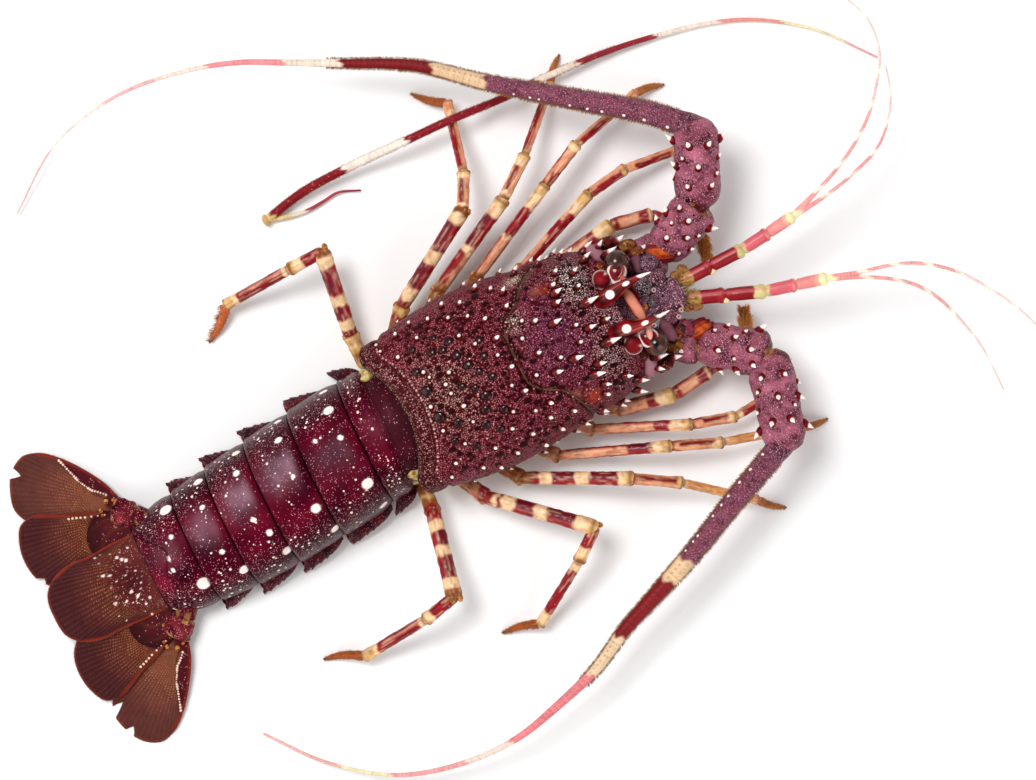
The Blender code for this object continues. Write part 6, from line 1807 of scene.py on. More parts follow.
def plate_dots(grid, share, number):
    """Ivory lenses set in a ring: two loose rows across it and more towards its sides, at seeded places."""
    draw = np.random.default_rng(300 + number)
    count = 44 if number < 6 else 34
    each = (count - 24) // 2
    rows = [draw.normal(0.34, 0.025, 12), draw.normal(0.62, 0.04, 12), draw.uniform(0.2, 0.94, count - 24)]
    rows = np.concatenate(rows)
    if number == 1:
        rows = 0.64 + 0.32 * rows
    turns = [draw.uniform(0.35, 2.8, 24), draw.uniform(0.25, 1.1, each), draw.uniform(2.0, 2.9, each)]
    turns = np.concatenate(turns)
    row = np.clip(np.searchsorted(share, np.clip(rows, 0.12, 0.94)), 1, len(share) - 2)
    column = np.clip((turns / math.pi * (ARCH_POINTS - 1)).astype(int), 2, ARCH_POINTS - 3)
    normals = outward_normals(grid)[row, column]
    sizes = 0.26 + 0.34 * draw.random(count) ** 2
    return thorns(grid[row, column], normals, sizes, sizes, LENS, "#f7e0d6", 10)


# Height of a ring's outside above the core, by share of its length from its front
FIRST_LIFT = ((0, 0), (0.55, 0), (0.585, -0.7), (0.62, 0.5), (0.9, 0.6), (0.985, 0.45), (1, -0.1))
RING_LIFT = ((0, -0.9), (0.06, -0.5), (0.16, 0.15), (0.5, 0.5), (0.85, 0.62), (0.975, 0.5), (1, -0.05))


def uropod_root(side):
    """The stout joint under the last ring that a side blade's base stands on."""
    joints = np.array(UROPOD_JOINTS[:2], float) * [side, 1, 1] + [FAN_MIDDLE, 0, 0]
    path, _ = along(np.vstack([joints[0] * 2 - joints[1], joints]), 0.5)
    half = np.linspace(4.6, 4.1, len(path))
    part, _ = tube(path, half, half * 0.9, 36)
    return surface(part, stained(part, "#4c0c18", "#8a5a32", 4, 2, 0.2, 0.9), fleck=0.4)


def build_abdomen(look, maroon, spot_scale):
    """Six plated rings. Each slips under the one before it and ends in a thin raised lip."""
    start = POCKET_FRONT - 0.3
    for number, rear in enumerate(SOMITE_REARS, start=1):
        share = np.linspace(0, 1, max(36, int((start - rear) / 0.44)))
        forward = start + (rear - start) * share
        grid = somite_grid(forward, through(FIRST_LIFT if number == 1 else RING_LIFT, share))
        if number == 6:
            off = grid[..., 0] - abdomen_middle(grid[..., 1])
            seam = grid[..., 1] + 107.2 - 1.6 * np.sin(off * 0.42) + 0.02 * off**2
            grid[..., 2] -= np.where(grid[..., 2] > 11, 0.5 * np.exp(-((seam / 0.55) ** 2)), 0)
        tint, fleck, spot = abdomen_looks(grid, share[:, None], number, maroon, spot_scale)
        if number == 1:
            front = 1 - smooth(0.56, 0.6, share)[:, None]
            tint = mix(tint, "#3a141b", 0.8 * front)
            tint = mix(tint, "#453a2d", 0.8 * (1 - smooth(0.12, 0.2, share))[:, None])
            fleck = fleck * (1 - 0.6 * front)
            spot = spot * (1 - front)
        if number == 6:
            tint = mix(tint, "#1f030b", 0.8 * np.exp(-((seam / 0.5) ** 2)))
            fleck = np.clip(fleck * 1.4, 0, 1)
        shapes = [surface(grid, tint, "#d89aa4", fleck, spot), plate_dots(grid, share, number)]
        for side, _ in SIDES:
            if number < 6:
                shapes.append(pleuron_shape(number, side, start if number > 1 else -11, rear))
            if 2 <= number <= 5:
                shapes.append(swimmeret_shape(side, start, rear))
            if number == 1:
                shapes += side_membranes(side)
            if number == 6:
                shapes.append(uropod_root(side))
        make(f"somite_{number}_plate", shapes, look, [f"somite_{number}"])
        start = rear - 0.3


# Forward, up, half-length, distance in from the tail's half-width
SIDE_FOLDS = (
    (-8.2, 27.5, 3.4, 1.3), (-6.0, 22.0, 2.6, 0.5), (-10.4, 20.5, 2.6, 0.5), (-9.8, 31.5, 2.8, 3.0)
)


def side_membranes(side):
    """Pale yellow folds where the first ring leaves the shell's pocket."""
    shapes = []
    for forward, up, size, inset in SIDE_FOLDS:
        out = side * (through(ABDOMEN_HALF_WIDTH, forward) - inset) + abdomen_middle(forward)
        grid, _, _ = ball([out, forward, up], np.diag((1.5, size, size * 1.1)), 24, 30)
        grid = lumpy(grid, 0.14, 3.0, 4)
        shapes.append(surface(grid, stained(grid, "#d2b878", "#8c6230", 3.0, 5, 0, 1)))
    return shapes


# Tail fan

TELSON_ROOT = ((15.6, -115.9), (-15.6, -115.9))
TELSON_OUTLINE = (
    (15.8, -126), (15.2, -136), (15.6, -143), (13.5, -151), (9, -156), (0, -157.6),
    (-9, -156), (-13.5, -151), (-15.6, -143), (-15.2, -136), (-15.8, -126)
)
INNER_ROOT = ((25.4, -119.6), (20.9, -122.6))
INNER_OUTLINE = (
    (30.4, -128.7), (34, -138.5), (38, -147.5), (37, -154), (31, -157.6), (23.5, -158.8), (16, -157.4),
    (10, -152), (12.5, -136)
)
OUTER_ROOT = ((30.75, -115.6), (26.45, -118.5))
OUTER_OUTLINE = (
    (36.5, -117.6), (45, -122.6), (53, -129), (59, -136.5), (60.4, -142), (57, -148.5), (50, -152.6),
    (43, -154), (36.5, -151), (31, -136)
)
FOLD_ROOT = ((24.5, -115.5), (13.5, -116.5))
FOLD_OUTLINE = ((27.5, -122), (26.5, -129), (20, -134), (13.5, -133), (12.6, -124))
LAYER = 2.2
FAN_LEVEL = -138.0
FAN_SLOPE = 0.2
FAN_ROWS = 46  # rows of gold dots across a blade
BAR_LENGTH = 28.0  # of the hard bar along the outer blade's margin
INNER_EDGE = (INNER_ROOT[0], *INNER_OUTLINE[:3])
OUTER_EDGE = (OUTER_ROOT[0], *OUTER_OUTLINE[:4])


def blade_plan(root, outline, rays, steps):
    """Straight rays from the root line to the outline, evenly spaced along it: start·(1-s) + rim·s."""
    root, outline = np.array(root, float), np.array(outline, float)
    rim = np.vstack([root[0], outline, root[1]])
    chord = run_along(rim)
    places = np.linspace(chord[-1] * 0.02, chord[-1] * 0.98, rays)
    rim_points = through(np.column_stack([chord, rim]), places)
    ray = np.linspace(0, 1, rays)
    starts = root[0] + np.outer(ray, root[1] - root[0])
    share = np.concatenate([np.linspace(0, 0.96, steps - 8), np.linspace(0.96, 1, 9)[1:]])
    return starts, rim_points, ray, share


def fan_height(level, forward):
    """The fan's underside: a blade's own level, and higher towards the root by FAN_SLOPE."""
    return level + FAN_SLOPE * np.maximum(forward - FAN_LEVEL, 0)


def blade(root, outline, side, level, root_thickness, dome, paint, nicks=(), rays=230, steps=64):
    """A fan blade. Height = level + slope + thickness·rim rounding + fine ribs along the rays + dome."""
    starts, rim, ray, share = blade_plan(root, outline, rays, steps)
    reach = np.ones(rays)
    for place_ray, width, depth in nicks:
        reach -= depth * np.clip(1 - np.abs(ray - place_ray) / width, 0, 1) ** 0.7
    part = share[None] * (1 - (1 - reach[:, None]) * smooth(0.6, 1, share))
    plan = starts[:, None] + (rim - starts)[:, None] * part[..., None]
    length = np.linalg.norm(rim - starts, axis=1)[:, None] * share[None]
    plan = plan * [side, 1] + [FAN_MIDDLE, 0]
    below = fan_height(level, plan[..., 1])
    edge = np.sqrt(np.clip(1 - ((share - 0.94) / 0.06).clip(0, 1) ** 2, 0.02, 1))
    across = (np.abs(ray - 0.5) * 2 - 0.955).clip(0, 1) / 0.045
    across = np.sqrt(np.clip(1 - across**2, 0.02, 1))[:, None]
    thick = (np.interp(share, (0, 0.3, 1), (root_thickness, 1.4, 0.75)) * edge)[None]
    ribs = 0.045 * np.cos(2 * math.pi * ray * FAN_ROWS)[:, None] * smooth(0.12, 0.3, share)
    ribs = ribs * (1 - smooth(0.9, 1, share))
    arch = dome * np.interp(share, (0, 0.3, 0.7, 1), (1, 0.55, 0.1, 0))
    above = below + thick * across + ribs * across + arch
    above = above + 0.25 * np.sin(ray * 21 + 1)[:, None] * np.sin(share * 9)[None] * smooth(0.3, 0.6, share)
    lift = 0.5 * thick * (1 - across)
    upper = np.concatenate([plan, (above + lift)[..., None]], -1)
    lower = np.concatenate([plan, (below + lift)[..., None]], -1)
    tint, fleck, rows = paint(ray[:, None], share[None], length, plan, side)
    uv = np.stack([np.broadcast_to(ray[:, None] * FAN_ROWS, length.shape), length], -1)
    return leaf(upper, lower, tint, "#c79a8a", fleck, rows, uv)


def row_strength(share, hard):
    """How strong the rows of gold dots are: none on the hard part, most in the middle, faint at the rim."""
    return (1 - 0.9 * smooth(0.4, 0.8, share)) * smooth(0.06, 0.16, share) * (1 - hard) * 0.8


def soft_part(ray, share, length):
    """The soft rear of a blade: red-brown darkening to plum-brown with thin dark rays, its rim redder."""
    tint = mix("#5f2a1c", "#532220", smooth(0.3, 0.6, share))
    tint = mix(tint, "#3f1a1e", smooth(0.55, 0.85, share)) * np.ones((*length.shape, 1))
    thin = smooth(-0.5, -1.0, np.cos(2 * math.pi * ray * FAN_ROWS)) * smooth(0.4, 0.7, share)
    tint = mix(tint, "#220c0e", 0.35 * thin)
    return mix(tint, "#6e241a", smooth(0.965, 0.99, share) * np.ones_like(length))


def margin(plan, side, edge, width, colour, tint):
    """Paints a coloured margin along an edge line of a blade; it fades inwards over its width in mm."""
    near = line_distance((plan[..., 0] - FAN_MIDDLE) * side, plan[..., 1], edge)
    return mix(tint, colour, 0.9 * (1 - smooth(width * 0.15, width, near)))


def discs(plan, spots, tint, fleck):
    """Round ivory spots at (left, forward, radius) painted over a blade."""
    cover = np.zeros(plan.shape[:2])
    for x, y, radius in spots:
        reach = np.hypot(plan[..., 0] - x, plan[..., 1] - y)
        cover = np.maximum(cover, 1 - smooth(radius * 0.8, radius * 1.1, reach))
    return mix(tint, "#f8dcd2", cover), fleck * (1 - cover)


# Ivory spots of the middle tail plate: left, forward
TELSON_SPOTS = (
    (1.5, -120), (0, -125.5), (1, -133), (-4, -133.5), (-5, -131), (-5.5, -127.5), (-2.5, -122.5),
    (-7.5, -125.5), (-12.5, -121), (-14, -126), (-12, -133), (-16.5, -129.5), (-16.5, -124.5),
    (-14.5, -122), (-19, -120.5), (-25, -123), (-18, -127.5), (-15.5, -134), (-23, -133), (3.5, -133.5),
    (-1.5, -124), (-7.5, -121), (-20.5, -123),
)


def paint_telson(ray, share, length, plan, side):
    """Red-brown hard root with wrinkles and ivory spots, then the soft rear."""
    hard = (1 - smooth(0.36, 0.46, share + 0.03 * np.sin(ray * 40))) * np.ones_like(length)
    tint = soft_part(ray, share, length)
    body = mix("#471318", "#672a28", 0.5 + 0.5 * np.sin(ray * 9) * np.sin(share * 8))
    tint = mix(tint, body, hard)
    wrinkle = np.exp(-((np.sin(ray * 44 + 2 * np.sin(share * 20)) / 0.3) ** 2))
    tint = mix(tint, "#1f0506", 0.6 * wrinkle * smooth(0.08, 0.16, share) * (1 - smooth(0.44, 0.56, share)))
    for turn in (1, -1):
        edge = np.array([TELSON_ROOT[0], *TELSON_OUTLINE[:4]]) * [turn, 1]
        tint = margin(plan, 1, edge, 1.3, "#8a2c1c", tint)
    sizes = 0.45 + 0.25 * np.sin(np.arange(len(TELSON_SPOTS)) * 2.3)
    small = [(x + 3.1 * math.sin(5 * y), y - 1.9 * math.cos(3 * x), 0.22) for x, y in TELSON_SPOTS]
    spots = [(x, y, size) for (x, y), size in zip(TELSON_SPOTS, sizes)] + small
    tint, fleck = discs(plan, spots, tint, 0.6 * hard)
    return tint, fleck, row_strength(share, hard)


def paint_inner(ray, share, length, plan, side):
    """The inner blade: a hard maroon root that runs out slantwise, a red margin, then the soft rear."""
    hard = (1 - smooth(0.3, 0.42, share + 0.25 * ray)) * np.ones_like(length)
    tint = mix(soft_part(ray, share, length), "#480f1a", hard)
    tint = margin(plan, side, INNER_EDGE, 1.6, "#7c2619", tint)
    return tint, 0.3 * hard, row_strength(share, hard)


def bar_width(along_bar):
    """How far the hard bar of the outer blade reaches in from its margin, by share of the bar."""
    return np.interp(along_bar, (0, 0.3, 0.55, 0.8, 1), (1.6, 5.2, 4.8, 2.8, 0.5))


def paint_fold(ray, share, length, plan, side):
    """The hard root between the telson and the blades: partly its own plum-brown and partly painted shade,
    darker towards its rear where it lies between them, with fine pale speckles.
    """
    # painted shade: the dark plum-brown, darkest towards the rear, also stands for the shade between the
    # telson and the blades
    tint = mix("#4a141c", "#2e0c10", smooth(0.4, 1.0, share) * np.ones_like(length))
    ridge = smooth(0.5, 1.0, np.sin(ray * 26 + 2 * np.sin(share * 5)) * np.ones_like(length))
    tint = mix(tint, "#6a3524", 0.5 * ridge * (1 - share))
    return tint, 0.5 * (1 - share) * np.ones_like(length), 0.0 * length


def paint_outer(ray, share, length, plan, side):
    """The outer blade: a maroon bar along its margin, bar_width wide and dark-edged, then the soft rear."""
    left = (plan[..., 0] - FAN_MIDDLE) * side
    near = line_distance(left, plan[..., 1], OUTER_EDGE)
    down = np.hypot(left - OUTER_ROOT[0][0], plan[..., 1] - OUTER_ROOT[0][1]) / BAR_LENGTH
    wide = bar_width(down)
    bar = (1 - smooth(wide - 0.3, wide, near)) * (1 - smooth(0.97, 1.02, down))
    tint = mix(mix(soft_part(ray, share, length), "#8a5242", 0.4 - 0.25 * share), "#480f1c", bar)
    groove = np.exp(-(((near - wide - 0.4) / 0.4) ** 2)) * (1 - smooth(0.9, 1.02, down))
    tint = margin(plan, side, OUTER_EDGE, 1.6, "#7c2619", mix(tint, "#26070a", 0.8 * groove))
    root = (1 - smooth(0.08, 0.14, share)) * np.ones_like(length)
    return mix(tint, "#4e141a", root), 0.25 * bar, row_strength(share, bar)


# Notches of each blade's rim: ray, half-width in rays, depth
NICKS = {
    ("left", "inner"): ((0.62, 0.02, 0.05),), ("right", "inner"): (),
    ("left", "outer"): ((0.47, 0.02, 0.09),),
    ("right", "outer"): ((0.62, 0.022, 0.14), (0.52, 0.018, 0.07)),
}


def bead_line(side, edge, length, widths, count, level):
    """A row of pale beads along a blade's hard part, set in from the margin by the given widths."""
    at = np.linspace(0.1, 0.96, count)
    edge = np.array(edge)
    on_edge = through(np.column_stack([run_along(edge), edge]), at * length)
    inward = unit(np.array([30.0, -150.0]) - on_edge)
    line = (on_edge + inward * (widths(at) * 1.05)[:, None]) * [side, 1] + [FAN_MIDDLE, 0]
    height = fan_height(level, line[:, 1]) + np.interp(at, (0, 0.4, 1), (1.8, 1.5, 1.35))
    sizes = np.random.default_rng(9).uniform(0.26, 0.56, count)
    beads = thorns(np.column_stack([line, height]), [0, 0, 1], sizes * 0.8, sizes, BEAD, "#f3cdbd", 8)
    beads.uv = np.zeros((len(beads.points), 2))
    return beads


def build_tail_fan(look, hair):
    """Telson and uropods: ribbed plates whose rear is soft, with bead lines, joints and a hair fringe."""
    telson = blade(TELSON_ROOT, TELSON_OUTLINE, 1, 2 * LAYER, 3.4, 3.2, paint_telson)
    make("telson_blade", [telson], look, ["telson"], "FanRows")
    fringes = [fan_fringe(TELSON_ROOT, TELSON_OUTLINE, 1, 2 * LAYER, 4)]
    for side, word in SIDES:
        nicks = NICKS[word, "inner"]
        inner = blade(INNER_ROOT, INNER_OUTLINE, side, LAYER, 1.8, 0.0, paint_inner, nicks)
        fold = blade(FOLD_ROOT, FOLD_OUTLINE, side, 1.5 * LAYER, 1.6, 0.0, paint_fold, (), 60, 30)
        beads = bead_line(
            side, INNER_EDGE, 14.0, lambda at: np.interp(at, (0, 0.5, 1), (1.5, 5.0, 4.6)), 8, LAYER
        )
        name = f"uropod_{word}_inner"
        make(f"{name}_blade", [inner, fold, beads], look, [name], "FanRows")
        fringes.append(fan_fringe(INNER_ROOT, INNER_OUTLINE, side, LAYER, 1 + side, nicks))
        nicks = NICKS[word, "outer"]
        outer = blade(OUTER_ROOT, OUTER_OUTLINE, side, 0.0, 1.8, 0.0, paint_outer, nicks)
        beads = bead_line(side, OUTER_EDGE, BAR_LENGTH, bar_width, 24, 0.0)
        name = f"uropod_{word}_outer"
        make(f"{name}_blade", [outer, beads], look, [name], "FanRows")
        fringes.append(fan_fringe(OUTER_ROOT, OUTER_OUTLINE, side, 0.0, 2 + side, nicks))
    make("tail_fringe", fringes, hair)


def fan_fringe(root, outline, side, level, seed, nicks=()):
    """Fine hair along a blade's rim, each hair on the line of its ray; none stands in a nick."""
    draw = np.random.default_rng(70 + seed)
    starts, rim, ray, _ = blade_plan(root, outline, 840, 20)
    keep = (ray > 0.22) & (ray < 0.86)
    for place_ray, width, _ in nicks:
        keep &= np.abs(ray - place_ray) > width
    starts, rim, ray = starts[keep], rim[keep], ray[keep]
    plan = (starts + (rim - starts) * 0.985) * [side, 1] + [FAN_MIDDLE, 0]
    line = unit((rim - starts) * [side, 1])
    roots = np.column_stack([plan, fan_height(level + 0.35, plan[:, 1])])
    leans = np.column_stack([line, np.zeros(len(line))]) + draw.normal(0, 0.12, (len(line), 3))
    uvs = np.column_stack([ray * 0.9, np.full(len(ray), 0.1 + 0.15 * seed)])
    colours = bristle_colours("#4a2620", "#9a5a48")
    return thorns(roots, leans, draw.uniform(0.5, 1.1, len(ray)), 0.06, BRISTLE, colours, 3, uvs=uvs)


# Knobs where the blades hinge on their base: out, forward and up from its end, size, colour
HINGE_KNOBS = (
    (5.2, -1.5, 0.6, 1.0, "#c98a48"), (3.0, -4.6, 1.4, 0.9, "#c47e44"), (-4.6, -2.0, 2.0, 0.95, "#bd8440"),
    (1.0, -4.9, 1.6, 0.7, "#a8602c"), (4.4, 1.4, 1.6, 0.8, "#b47238"),
)


def build_uropod_bases(look):
    """The short stout bases of the side blades, half-width by share of their length, with hinge knobs."""
    for side, word in SIDES:
        joints = np.array(UROPOD_JOINTS, float) * [side, 1, 1] + [FAN_MIDDLE, 0, 0]
        share = np.linspace(-0.06, 1.04, 60)
        path = joints[1] + np.outer(share, joints[2] - joints[1])
        half = through(((-0.06, 3.4), (0.05, 4.4), (0.4, 5.3), (0.8, 5.8), (0.96, 5.6), (1.04, 4.2)), share)
        grid, _ = tube(path, half, half * 0.8, 60)
        grid = lumpy(grid, 0.25, 4, 3)
        tint = marbled(grid, "#520f1a", "#78242c", 6, 2)
        near_end = np.abs(share[:, None] - 0.5) > 0.38
        tint = mix(tint, "#a8783c", smooth(0.4, 1.0, ripple(grid, 4, 6)) * near_end)
        shapes = [surface(grid, tint, "#d09a96", 0.6)]
        for out, forward, up, size, colour in HINGE_KNOBS:
            axes = np.diag((size, size * 0.9, size * 0.7))
            part, _, _ = ball(joints[2] + np.array([out * side, forward, up]), axes, 16, 22)
            shapes.append(surface(part, stained(part, colour, "#7a2c1c", 1.4, 3, -0.2, 1)))
        make(f"uropod_{word}_base_shell", shapes, look, [f"uropod_{word}_base"])


# Finishes


def granular_chitin():
    """Grown calcified shell, never polished: a dull glow between packed pale granules, drawn 0.8 mm apart
    where the real ones stand 0.6 mm apart, so that the render shows them."""
    return shell_finish(
        "granular calcified chitin", (0.4, 0.58), granule=0.8, size=0.34, relief=0.07, gloss=0.12,
        glow="#d79aa0", packed=True
    )


def glassy_chitin():
    """Thick clear chitin of spines and horns: sharp small highlights over deep red."""
    return shell_finish(
        "glassy spine chitin", (0.12, 0.2), granule=1.5, relief=0.0, coat=0.15, gloss=0.25, grain=0.03
    )


def polished_chitin():
    """Smooth moulted tail plates: a faint rose-tinted reflection, while the broad pale sheen along their back
    is a painted highlight in their colour, and fine ivory speckles laid in the shell, not on it."""
    return shell_finish(
        "smooth tail plate chitin", (0.24, 0.36), granule=0.56, size=0.33, relief=0.01, gloss=0.06,
        spot=2.4, grain=0.04,
        glow="#d87f9a",
    )


def feeler_chitin():
    """Ringed horny feeler shell: satin, with fine tubercles packed on the stems."""
    return shell_finish(
        "ringed feeler chitin", (0.36, 0.5), granule=0.7, size=0.36, relief=0.04, gloss=0.2, glow="#e0a8b0",
        packed=True
    )


def leg_chitin():
    """Leg shell: smooth and waxy, its bands in the shell itself, small pale points."""
    return shell_finish(
        "waxy leg chitin", (0.24, 0.38), granule=1.1, size=0.25, relief=0.02, coat=0.05, gloss=0.2,
        grain=0.08
    )


def eye_cornea():
    """Faceted cornea: brown-black, wet, with one clean highlight."""
    return shell_finish(
        "wet cornea chitin", (0.12, 0.2), granule=0.6, relief=0.004, coat=0.25, gloss=0.3, grain=0.02
    )


def membrane_chitin():
    """Thin uncalcified underside: dull, fleshy, with pale grains."""
    return shell_finish("soft underside chitin", (0.45, 0.62), granule=1.2, size=0.4, relief=0.02)


def fan_chitin():
    """Tail blades: hard speckled root, leathery ribbed rear whose dots stand in rows along the rays."""
    return shell_finish(
        "ribbed tail blade chitin", (0.4, 0.55), granule=0.8, size=0.3, relief=0.02, gloss=0.1,
        glow="#d09a8c", rows=True
    )


def horny_bristle():
    """Stiff setae: translucent brown-gold horn, so a rough, slightly shiny thread."""
    return shell_finish("horny bristle", (0.45, 0.6), granule=0.6, relief=0.0, coat=0.0, grain=0.1)


# Stage

CAMERA_FORWARD, CAMERA_LEFT, CAMERA_HEIGHT = 38.16, -9.55, 1100.0
PHOTO_WIDTH, MM_PER_PIXEL = 1036, 0.3804
IMAGE_RIGHT = (-0.4384, -0.8988, 0.0)
IMAGE_UP = (0.8988, -0.4384, 0.0)

# Name, place in metres, width in metres, watts
LAMPS = (
    ("key_softbox", (0.42, 0.2, 1.25), 0.45, 12.0), ("fill_softbox", (-0.9, -0.3, 0.9), 0.9, 4.6),
    ("back_softbox", (0.1, 1.1, 0.8), 0.9, 3.8),
)
SKY_EDGE = 0.62
SKY_TOP = 0.24


def stand(obj, *columns):
    """Places an object by the directions of its own X, Y and Z, and by where it stands."""
    matrix = Matrix.Identity(4)
    for i, column in enumerate(columns):
        for j in range(3):
            matrix[j][i] = column[j]
    obj.matrix_world = matrix


def aim(obj, position, target):
    """Stands the object at position, its -Z towards target."""
    position = np.array(position, float)
    back = unit(position - target)
    side = unit(np.cross([0.02, 0.03, 1] if abs(back[2]) < 0.999 else [0, 1, 0], back))
    stand(obj, side, np.cross(back, side), back, position)


SENSOR_WIDTH = 36
FLOOR_POINTS = 41  # along each side of the floor


def add_to_stage(name, data):
    """A new object of the stage, in the scene."""
    obj = bpy.data.objects.new(name, data)
    bpy.context.scene.collection.objects.link(obj)
    return obj


def build_floor(brightness, colour):
    """A level sheet of squares in matt white, which fades far out into the room's own tone."""
    steps = np.linspace(-3, 3, FLOOR_POINTS)
    x, y = np.meshgrid(steps, steps, indexing="ij")
    points = np.stack([x, y, -0.0004 + 0 * x], -1).reshape(-1, 3)
    index = np.arange(FLOOR_POINTS**2).reshape(FLOOR_POINTS, FLOOR_POINTS)
    faces = np.stack([index[:-1, :-1], index[1:, :-1], index[1:, 1:], index[:-1, 1:]], -1).reshape(-1, 4)
    mesh = bpy.data.meshes.new("studio_floor")
    mesh.from_pydata(points.tolist(), [], faces.tolist())
    add_to_stage("studio_floor", mesh)
    paint = bpy.data.materials.new("matt white studio floor")
    paint.use_nodes = True
    tree = paint.node_tree
    shader = tree.nodes["Principled BSDF"]
    where = node(tree, "TexCoord").outputs["Object"]
    cloud = node(tree, "TexNoise", {"Vector": where, "Scale": 6.0, "Detail": 2.0})
    shade = node(tree, "MapRange", {"Value": cloud, "To Min": 0.6, "To Max": 0.66})
    tree.links.new(shade.outputs[0], shader.inputs["Roughness"])
    shader.inputs["Base Color"].default_value = (*lin(colour), 1)
    shader.inputs["Specular IOR Level"].default_value = 0.2
    distance = node(tree, "VectorMath", {0: where}, operation="LENGTH").outputs["Value"]
    fade = {"Value": distance, "From Min": 0.5, "From Max": 1.7}
    far = node(tree, "MapRange", fade, interpolation_type="SMOOTHSTEP")
    glow = node(tree, "Emission", {"Strength": SKY_EDGE * brightness})
    blend = node(tree, "MixShader", {0: far, 1: shader, 2: glow})
    tree.links.new(blend.outputs[0], tree.nodes["Material Output"].inputs["Surface"])
    mesh.materials.append(paint)


def build_room(brightness):
    """A dim even room round the stage, whose light falls off towards the top."""
    world = bpy.data.worlds.new("soft_room")
    world.use_nodes = True
    tree = world.node_tree
    direction = node(tree, "TexCoord").outputs["Generated"]
    height = node(tree, "SeparateXYZ", {0: direction}).outputs["Z"]
    ends = {"To Min": SKY_EDGE * brightness, "To Max": SKY_TOP * brightness}
    ramp = node(tree, "MapRange", {"Value": height, **ends})
    tree.links.new(ramp.outputs[0], tree.nodes["Background"].inputs["Strength"])
    tree.nodes["Background"].inputs["Color"].default_value = (1, 1, 1, 1)
    bpy.context.scene.world = world


def build_stage(brightness, floor_colour):
    """Pale floor, three soft lamps, a dim room that is darker overhead, and the camera straight above."""
    build_floor(brightness, floor_colour)
    for name, position, size, power in LAMPS:
        lamp = bpy.data.lights.new(name, "AREA")
        lamp.size = size
        lamp.energy = power * brightness
        aim(add_to_stage(name, lamp), position, (0, 0, 0))
    build_room(brightness)
    camera = bpy.data.cameras.new("camera_above")
    camera.sensor_width = SENSOR_WIDTH
    camera.lens = SENSOR_WIDTH * CAMERA_HEIGHT / (PHOTO_WIDTH * MM_PER_PIXEL)
    camera.clip_end = 20
    obj = bpy.data.objects.new("camera_above", camera)
    bpy.context.scene.collection.objects.link(obj)
    position = place([CAMERA_LEFT, CAMERA_FORWARD, CAMERA_HEIGHT])
    stand(obj, IMAGE_RIGHT, IMAGE_UP, np.cross(IMAGE_RIGHT, IMAGE_UP), position)
    bpy.context.scene.camera = obj
    bpy.context.scene.view_settings.view_transform = "Standard"


# Add-on


def scale_property(name, description, most):
    """A factor that is 1 as built."""
    return bpy.props.FloatProperty(
        name=name, description=description, default=1.0, min=0.2, max=most, subtype="FACTOR"
    )


def colour_property(name, description, colour):
    """A colour whose default is this hex colour, made linear."""
    return bpy.props.FloatVectorProperty(
        name=name, description=description, default=tuple(lin(colour)), size=3, min=0, max=1,
        subtype="COLOR"
    )


class LobsterSettings(bpy.types.PropertyGroup):
    """Sizes, colours and light that a user would change."""

    spine_scale: scale_property("Spine length", "Length of the shell's spines against life", 1.5)
    hair_scale: scale_property("Feeler hair", "Length of the long feelers' bristles against life", 2.0)
    spot_scale: scale_property("White spots", "Width of the tail's large white spots against life", 2.0)
    eye_radius: bpy.props.FloatProperty(
        name="Eye radius", description="Half the width of an eye's globe", default=EYE_RADIUS / 1000,
        min=0.003, max=0.006, precision=4, unit="LENGTH", subtype="DISTANCE"
    )
    shell_colour: colour_property("Shell", "Ground colour of the carapace", "#48040f")
    granule_colour: colour_property("Granules", "Colour of the granules on the carapace", "#a2505e")
    tail_colour: colour_property("Tail", "The lighter maroon of the tail's rings", "#620920")
    feeler_colour: colour_property("Feeler stems", "The lighter rose of the feelers' stems", "#a4566a")
    eye_colour: colour_property("Eyes", "The lighter brown of the eyes", "#5e3228")
    floor_colour: colour_property("Floor", "Colour of the studio floor", "#fafafa")
    brightness: scale_property("Brightness", "Strength of the studio light", 4.0)


class MakeCarapace(bpy.types.Operator):
    """Make the granular shell with its grooves and spines"""

    bl_idname = "lobster.carapace"
    bl_label = "Carapace"

    def execute(self, context):
        settings = context.scene.lobster
        build_carapace(granular_chitin(), settings.shell_colour, settings.granule_colour)
        build_shell_spines(glassy_chitin(), settings.spine_scale)
        return {"FINISHED"}


class MakeHead(bpy.types.Operator):
    """Make the head's front, the horns and the eyes"""

    bl_idname = "lobster.head"
    bl_label = "Head"

    def execute(self, context):
        settings = context.scene.lobster
        build_horns(glassy_chitin())
        build_eyes(eye_cornea(), settings.eye_radius * 1000, settings.eye_colour)
        build_head(feeler_chitin())
        return {"FINISHED"}


class MakeAntennae(bpy.types.Operator):
    """Make the two long feelers with their spiny stems"""

    bl_idname = "lobster.antennae"
    bl_label = "Antennae"

    def execute(self, context):
        settings = context.scene.lobster
        build_stems(feeler_chitin(), settings.feeler_colour)
        build_flagella(feeler_chitin(), horny_bristle(), settings.hair_scale)
        return {"FINISHED"}


class MakeAntennules(bpy.types.Operator):
    """Make the two short forked feelers"""

    bl_idname = "lobster.antennules"
    bl_label = "Antennules"

    def execute(self, context):
        build_antennules(leg_chitin())
        build_root_bristles(horny_bristle())
        return {"FINISHED"}


class MakeLooseFeeler(bpy.types.Operator):
    """Make the shed feeler that lies across two legs"""

    bl_idname = "lobster.loose_feeler"
    bl_label = "Loose feeler"

    def execute(self, context):
        build_loose_feeler(feeler_chitin(), horny_bristle())
        return {"FINISHED"}


class MakeLegs(bpy.types.Operator):
    """Make the ten walking legs and the two mouth limbs"""

    bl_idname = "lobster.legs"
    bl_label = "Legs"

    def execute(self, context):
        build_legs(leg_chitin(), horny_bristle())
        build_maxillipeds(leg_chitin(), horny_bristle())
        return {"FINISHED"}


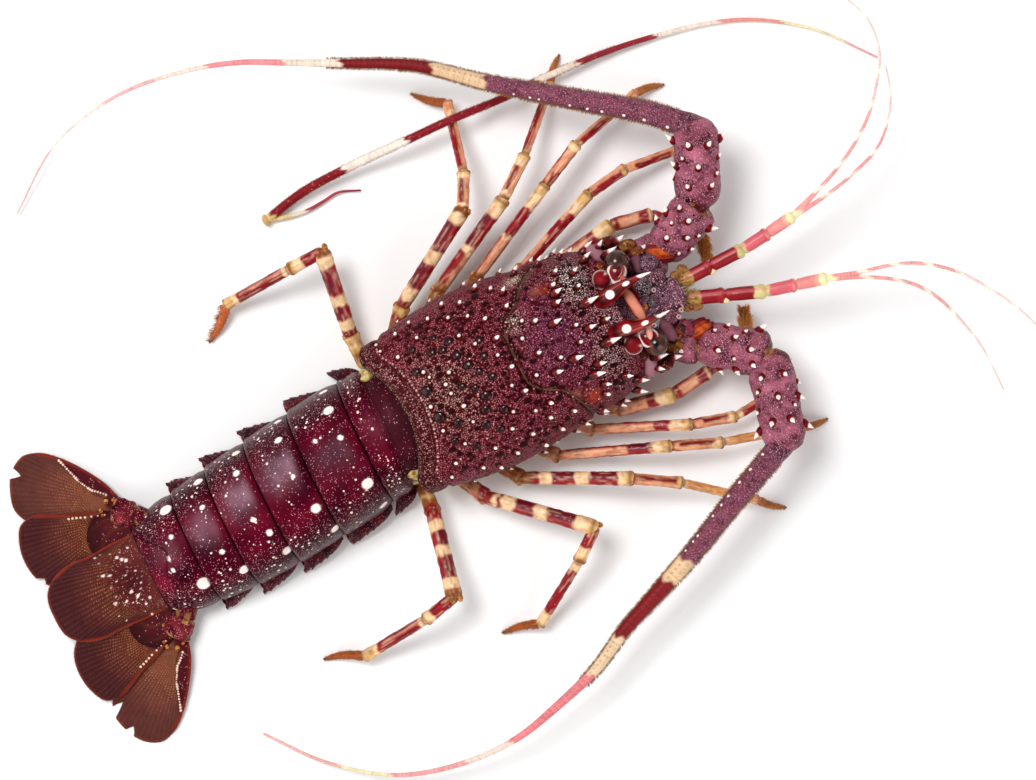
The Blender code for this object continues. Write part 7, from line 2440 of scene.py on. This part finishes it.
class MakeUnderside(bpy.types.Operator):
    """Make the breast plate, the leg roots and the jaws"""

    bl_idname = "lobster.underside"
    bl_label = "Underside"

    def execute(self, context):
        build_underside(membrane_chitin())
        return {"FINISHED"}


class MakeAbdomen(bpy.types.Operator):
    """Make the six tail rings with side plates and paddles"""

    bl_idname = "lobster.abdomen"
    bl_label = "Abdomen"

    def execute(self, context):
        settings = context.scene.lobster
        build_abdomen(polished_chitin(), settings.tail_colour, settings.spot_scale)
        build_uropod_bases(polished_chitin())
        return {"FINISHED"}


class MakeTailFan(bpy.types.Operator):
    """Make the five blades of the tail fan and their fringe"""

    bl_idname = "lobster.tail_fan"
    bl_label = "Tail fan"

    def execute(self, context):
        build_tail_fan(fan_chitin(), horny_bristle())
        return {"FINISHED"}


class MakeStage(bpy.types.Operator):
    """Make the floor, the lamps and the camera"""

    bl_idname = "lobster.stage"
    bl_label = "Stage"

    def execute(self, context):
        settings = context.scene.lobster
        build_stage(settings.brightness, settings.floor_colour)
        return {"FINISHED"}


OPERATORS = (
    MakeCarapace, MakeHead, MakeAntennae, MakeAntennules, MakeLooseFeeler, MakeLegs, MakeUnderside,
    MakeAbdomen, MakeTailFan, MakeStage
)


class LobsterPanel(bpy.types.Panel):
    """Lists the settings and the pieces in the 3D view's sidebar"""

    bl_idname = "VIEW3D_PT_lobster"
    bl_label = "Spiny lobster"
    bl_space_type = "VIEW_3D"
    bl_region_type = "UI"
    bl_category = "Lobster"

    def draw(self, context):
        for name in LobsterSettings.__annotations__:
            self.layout.prop(context.scene.lobster, name)
        for operator in OPERATORS:
            self.layout.operator(operator.bl_idname)


CLASSES = (LobsterSettings, *OPERATORS, LobsterPanel)


def register():
    """Makes the settings, the operators and the panel known to Blender."""
    for made in CLASSES:
        bpy.utils.register_class(made)
    bpy.types.Scene.lobster = bpy.props.PointerProperty(type=LobsterSettings)


def unregister():
    """Takes them all away again."""
    del bpy.types.Scene.lobster
    for made in reversed(CLASSES):
        bpy.utils.unregister_class(made)


def main():
    """Makes every piece and the stage by their operators."""
    register()
    for operator in OPERATORS:
        group, name = operator.bl_idname.split(".")
        getattr(getattr(bpy.ops, group), name)()


if __name__ == "__main__":
    main()
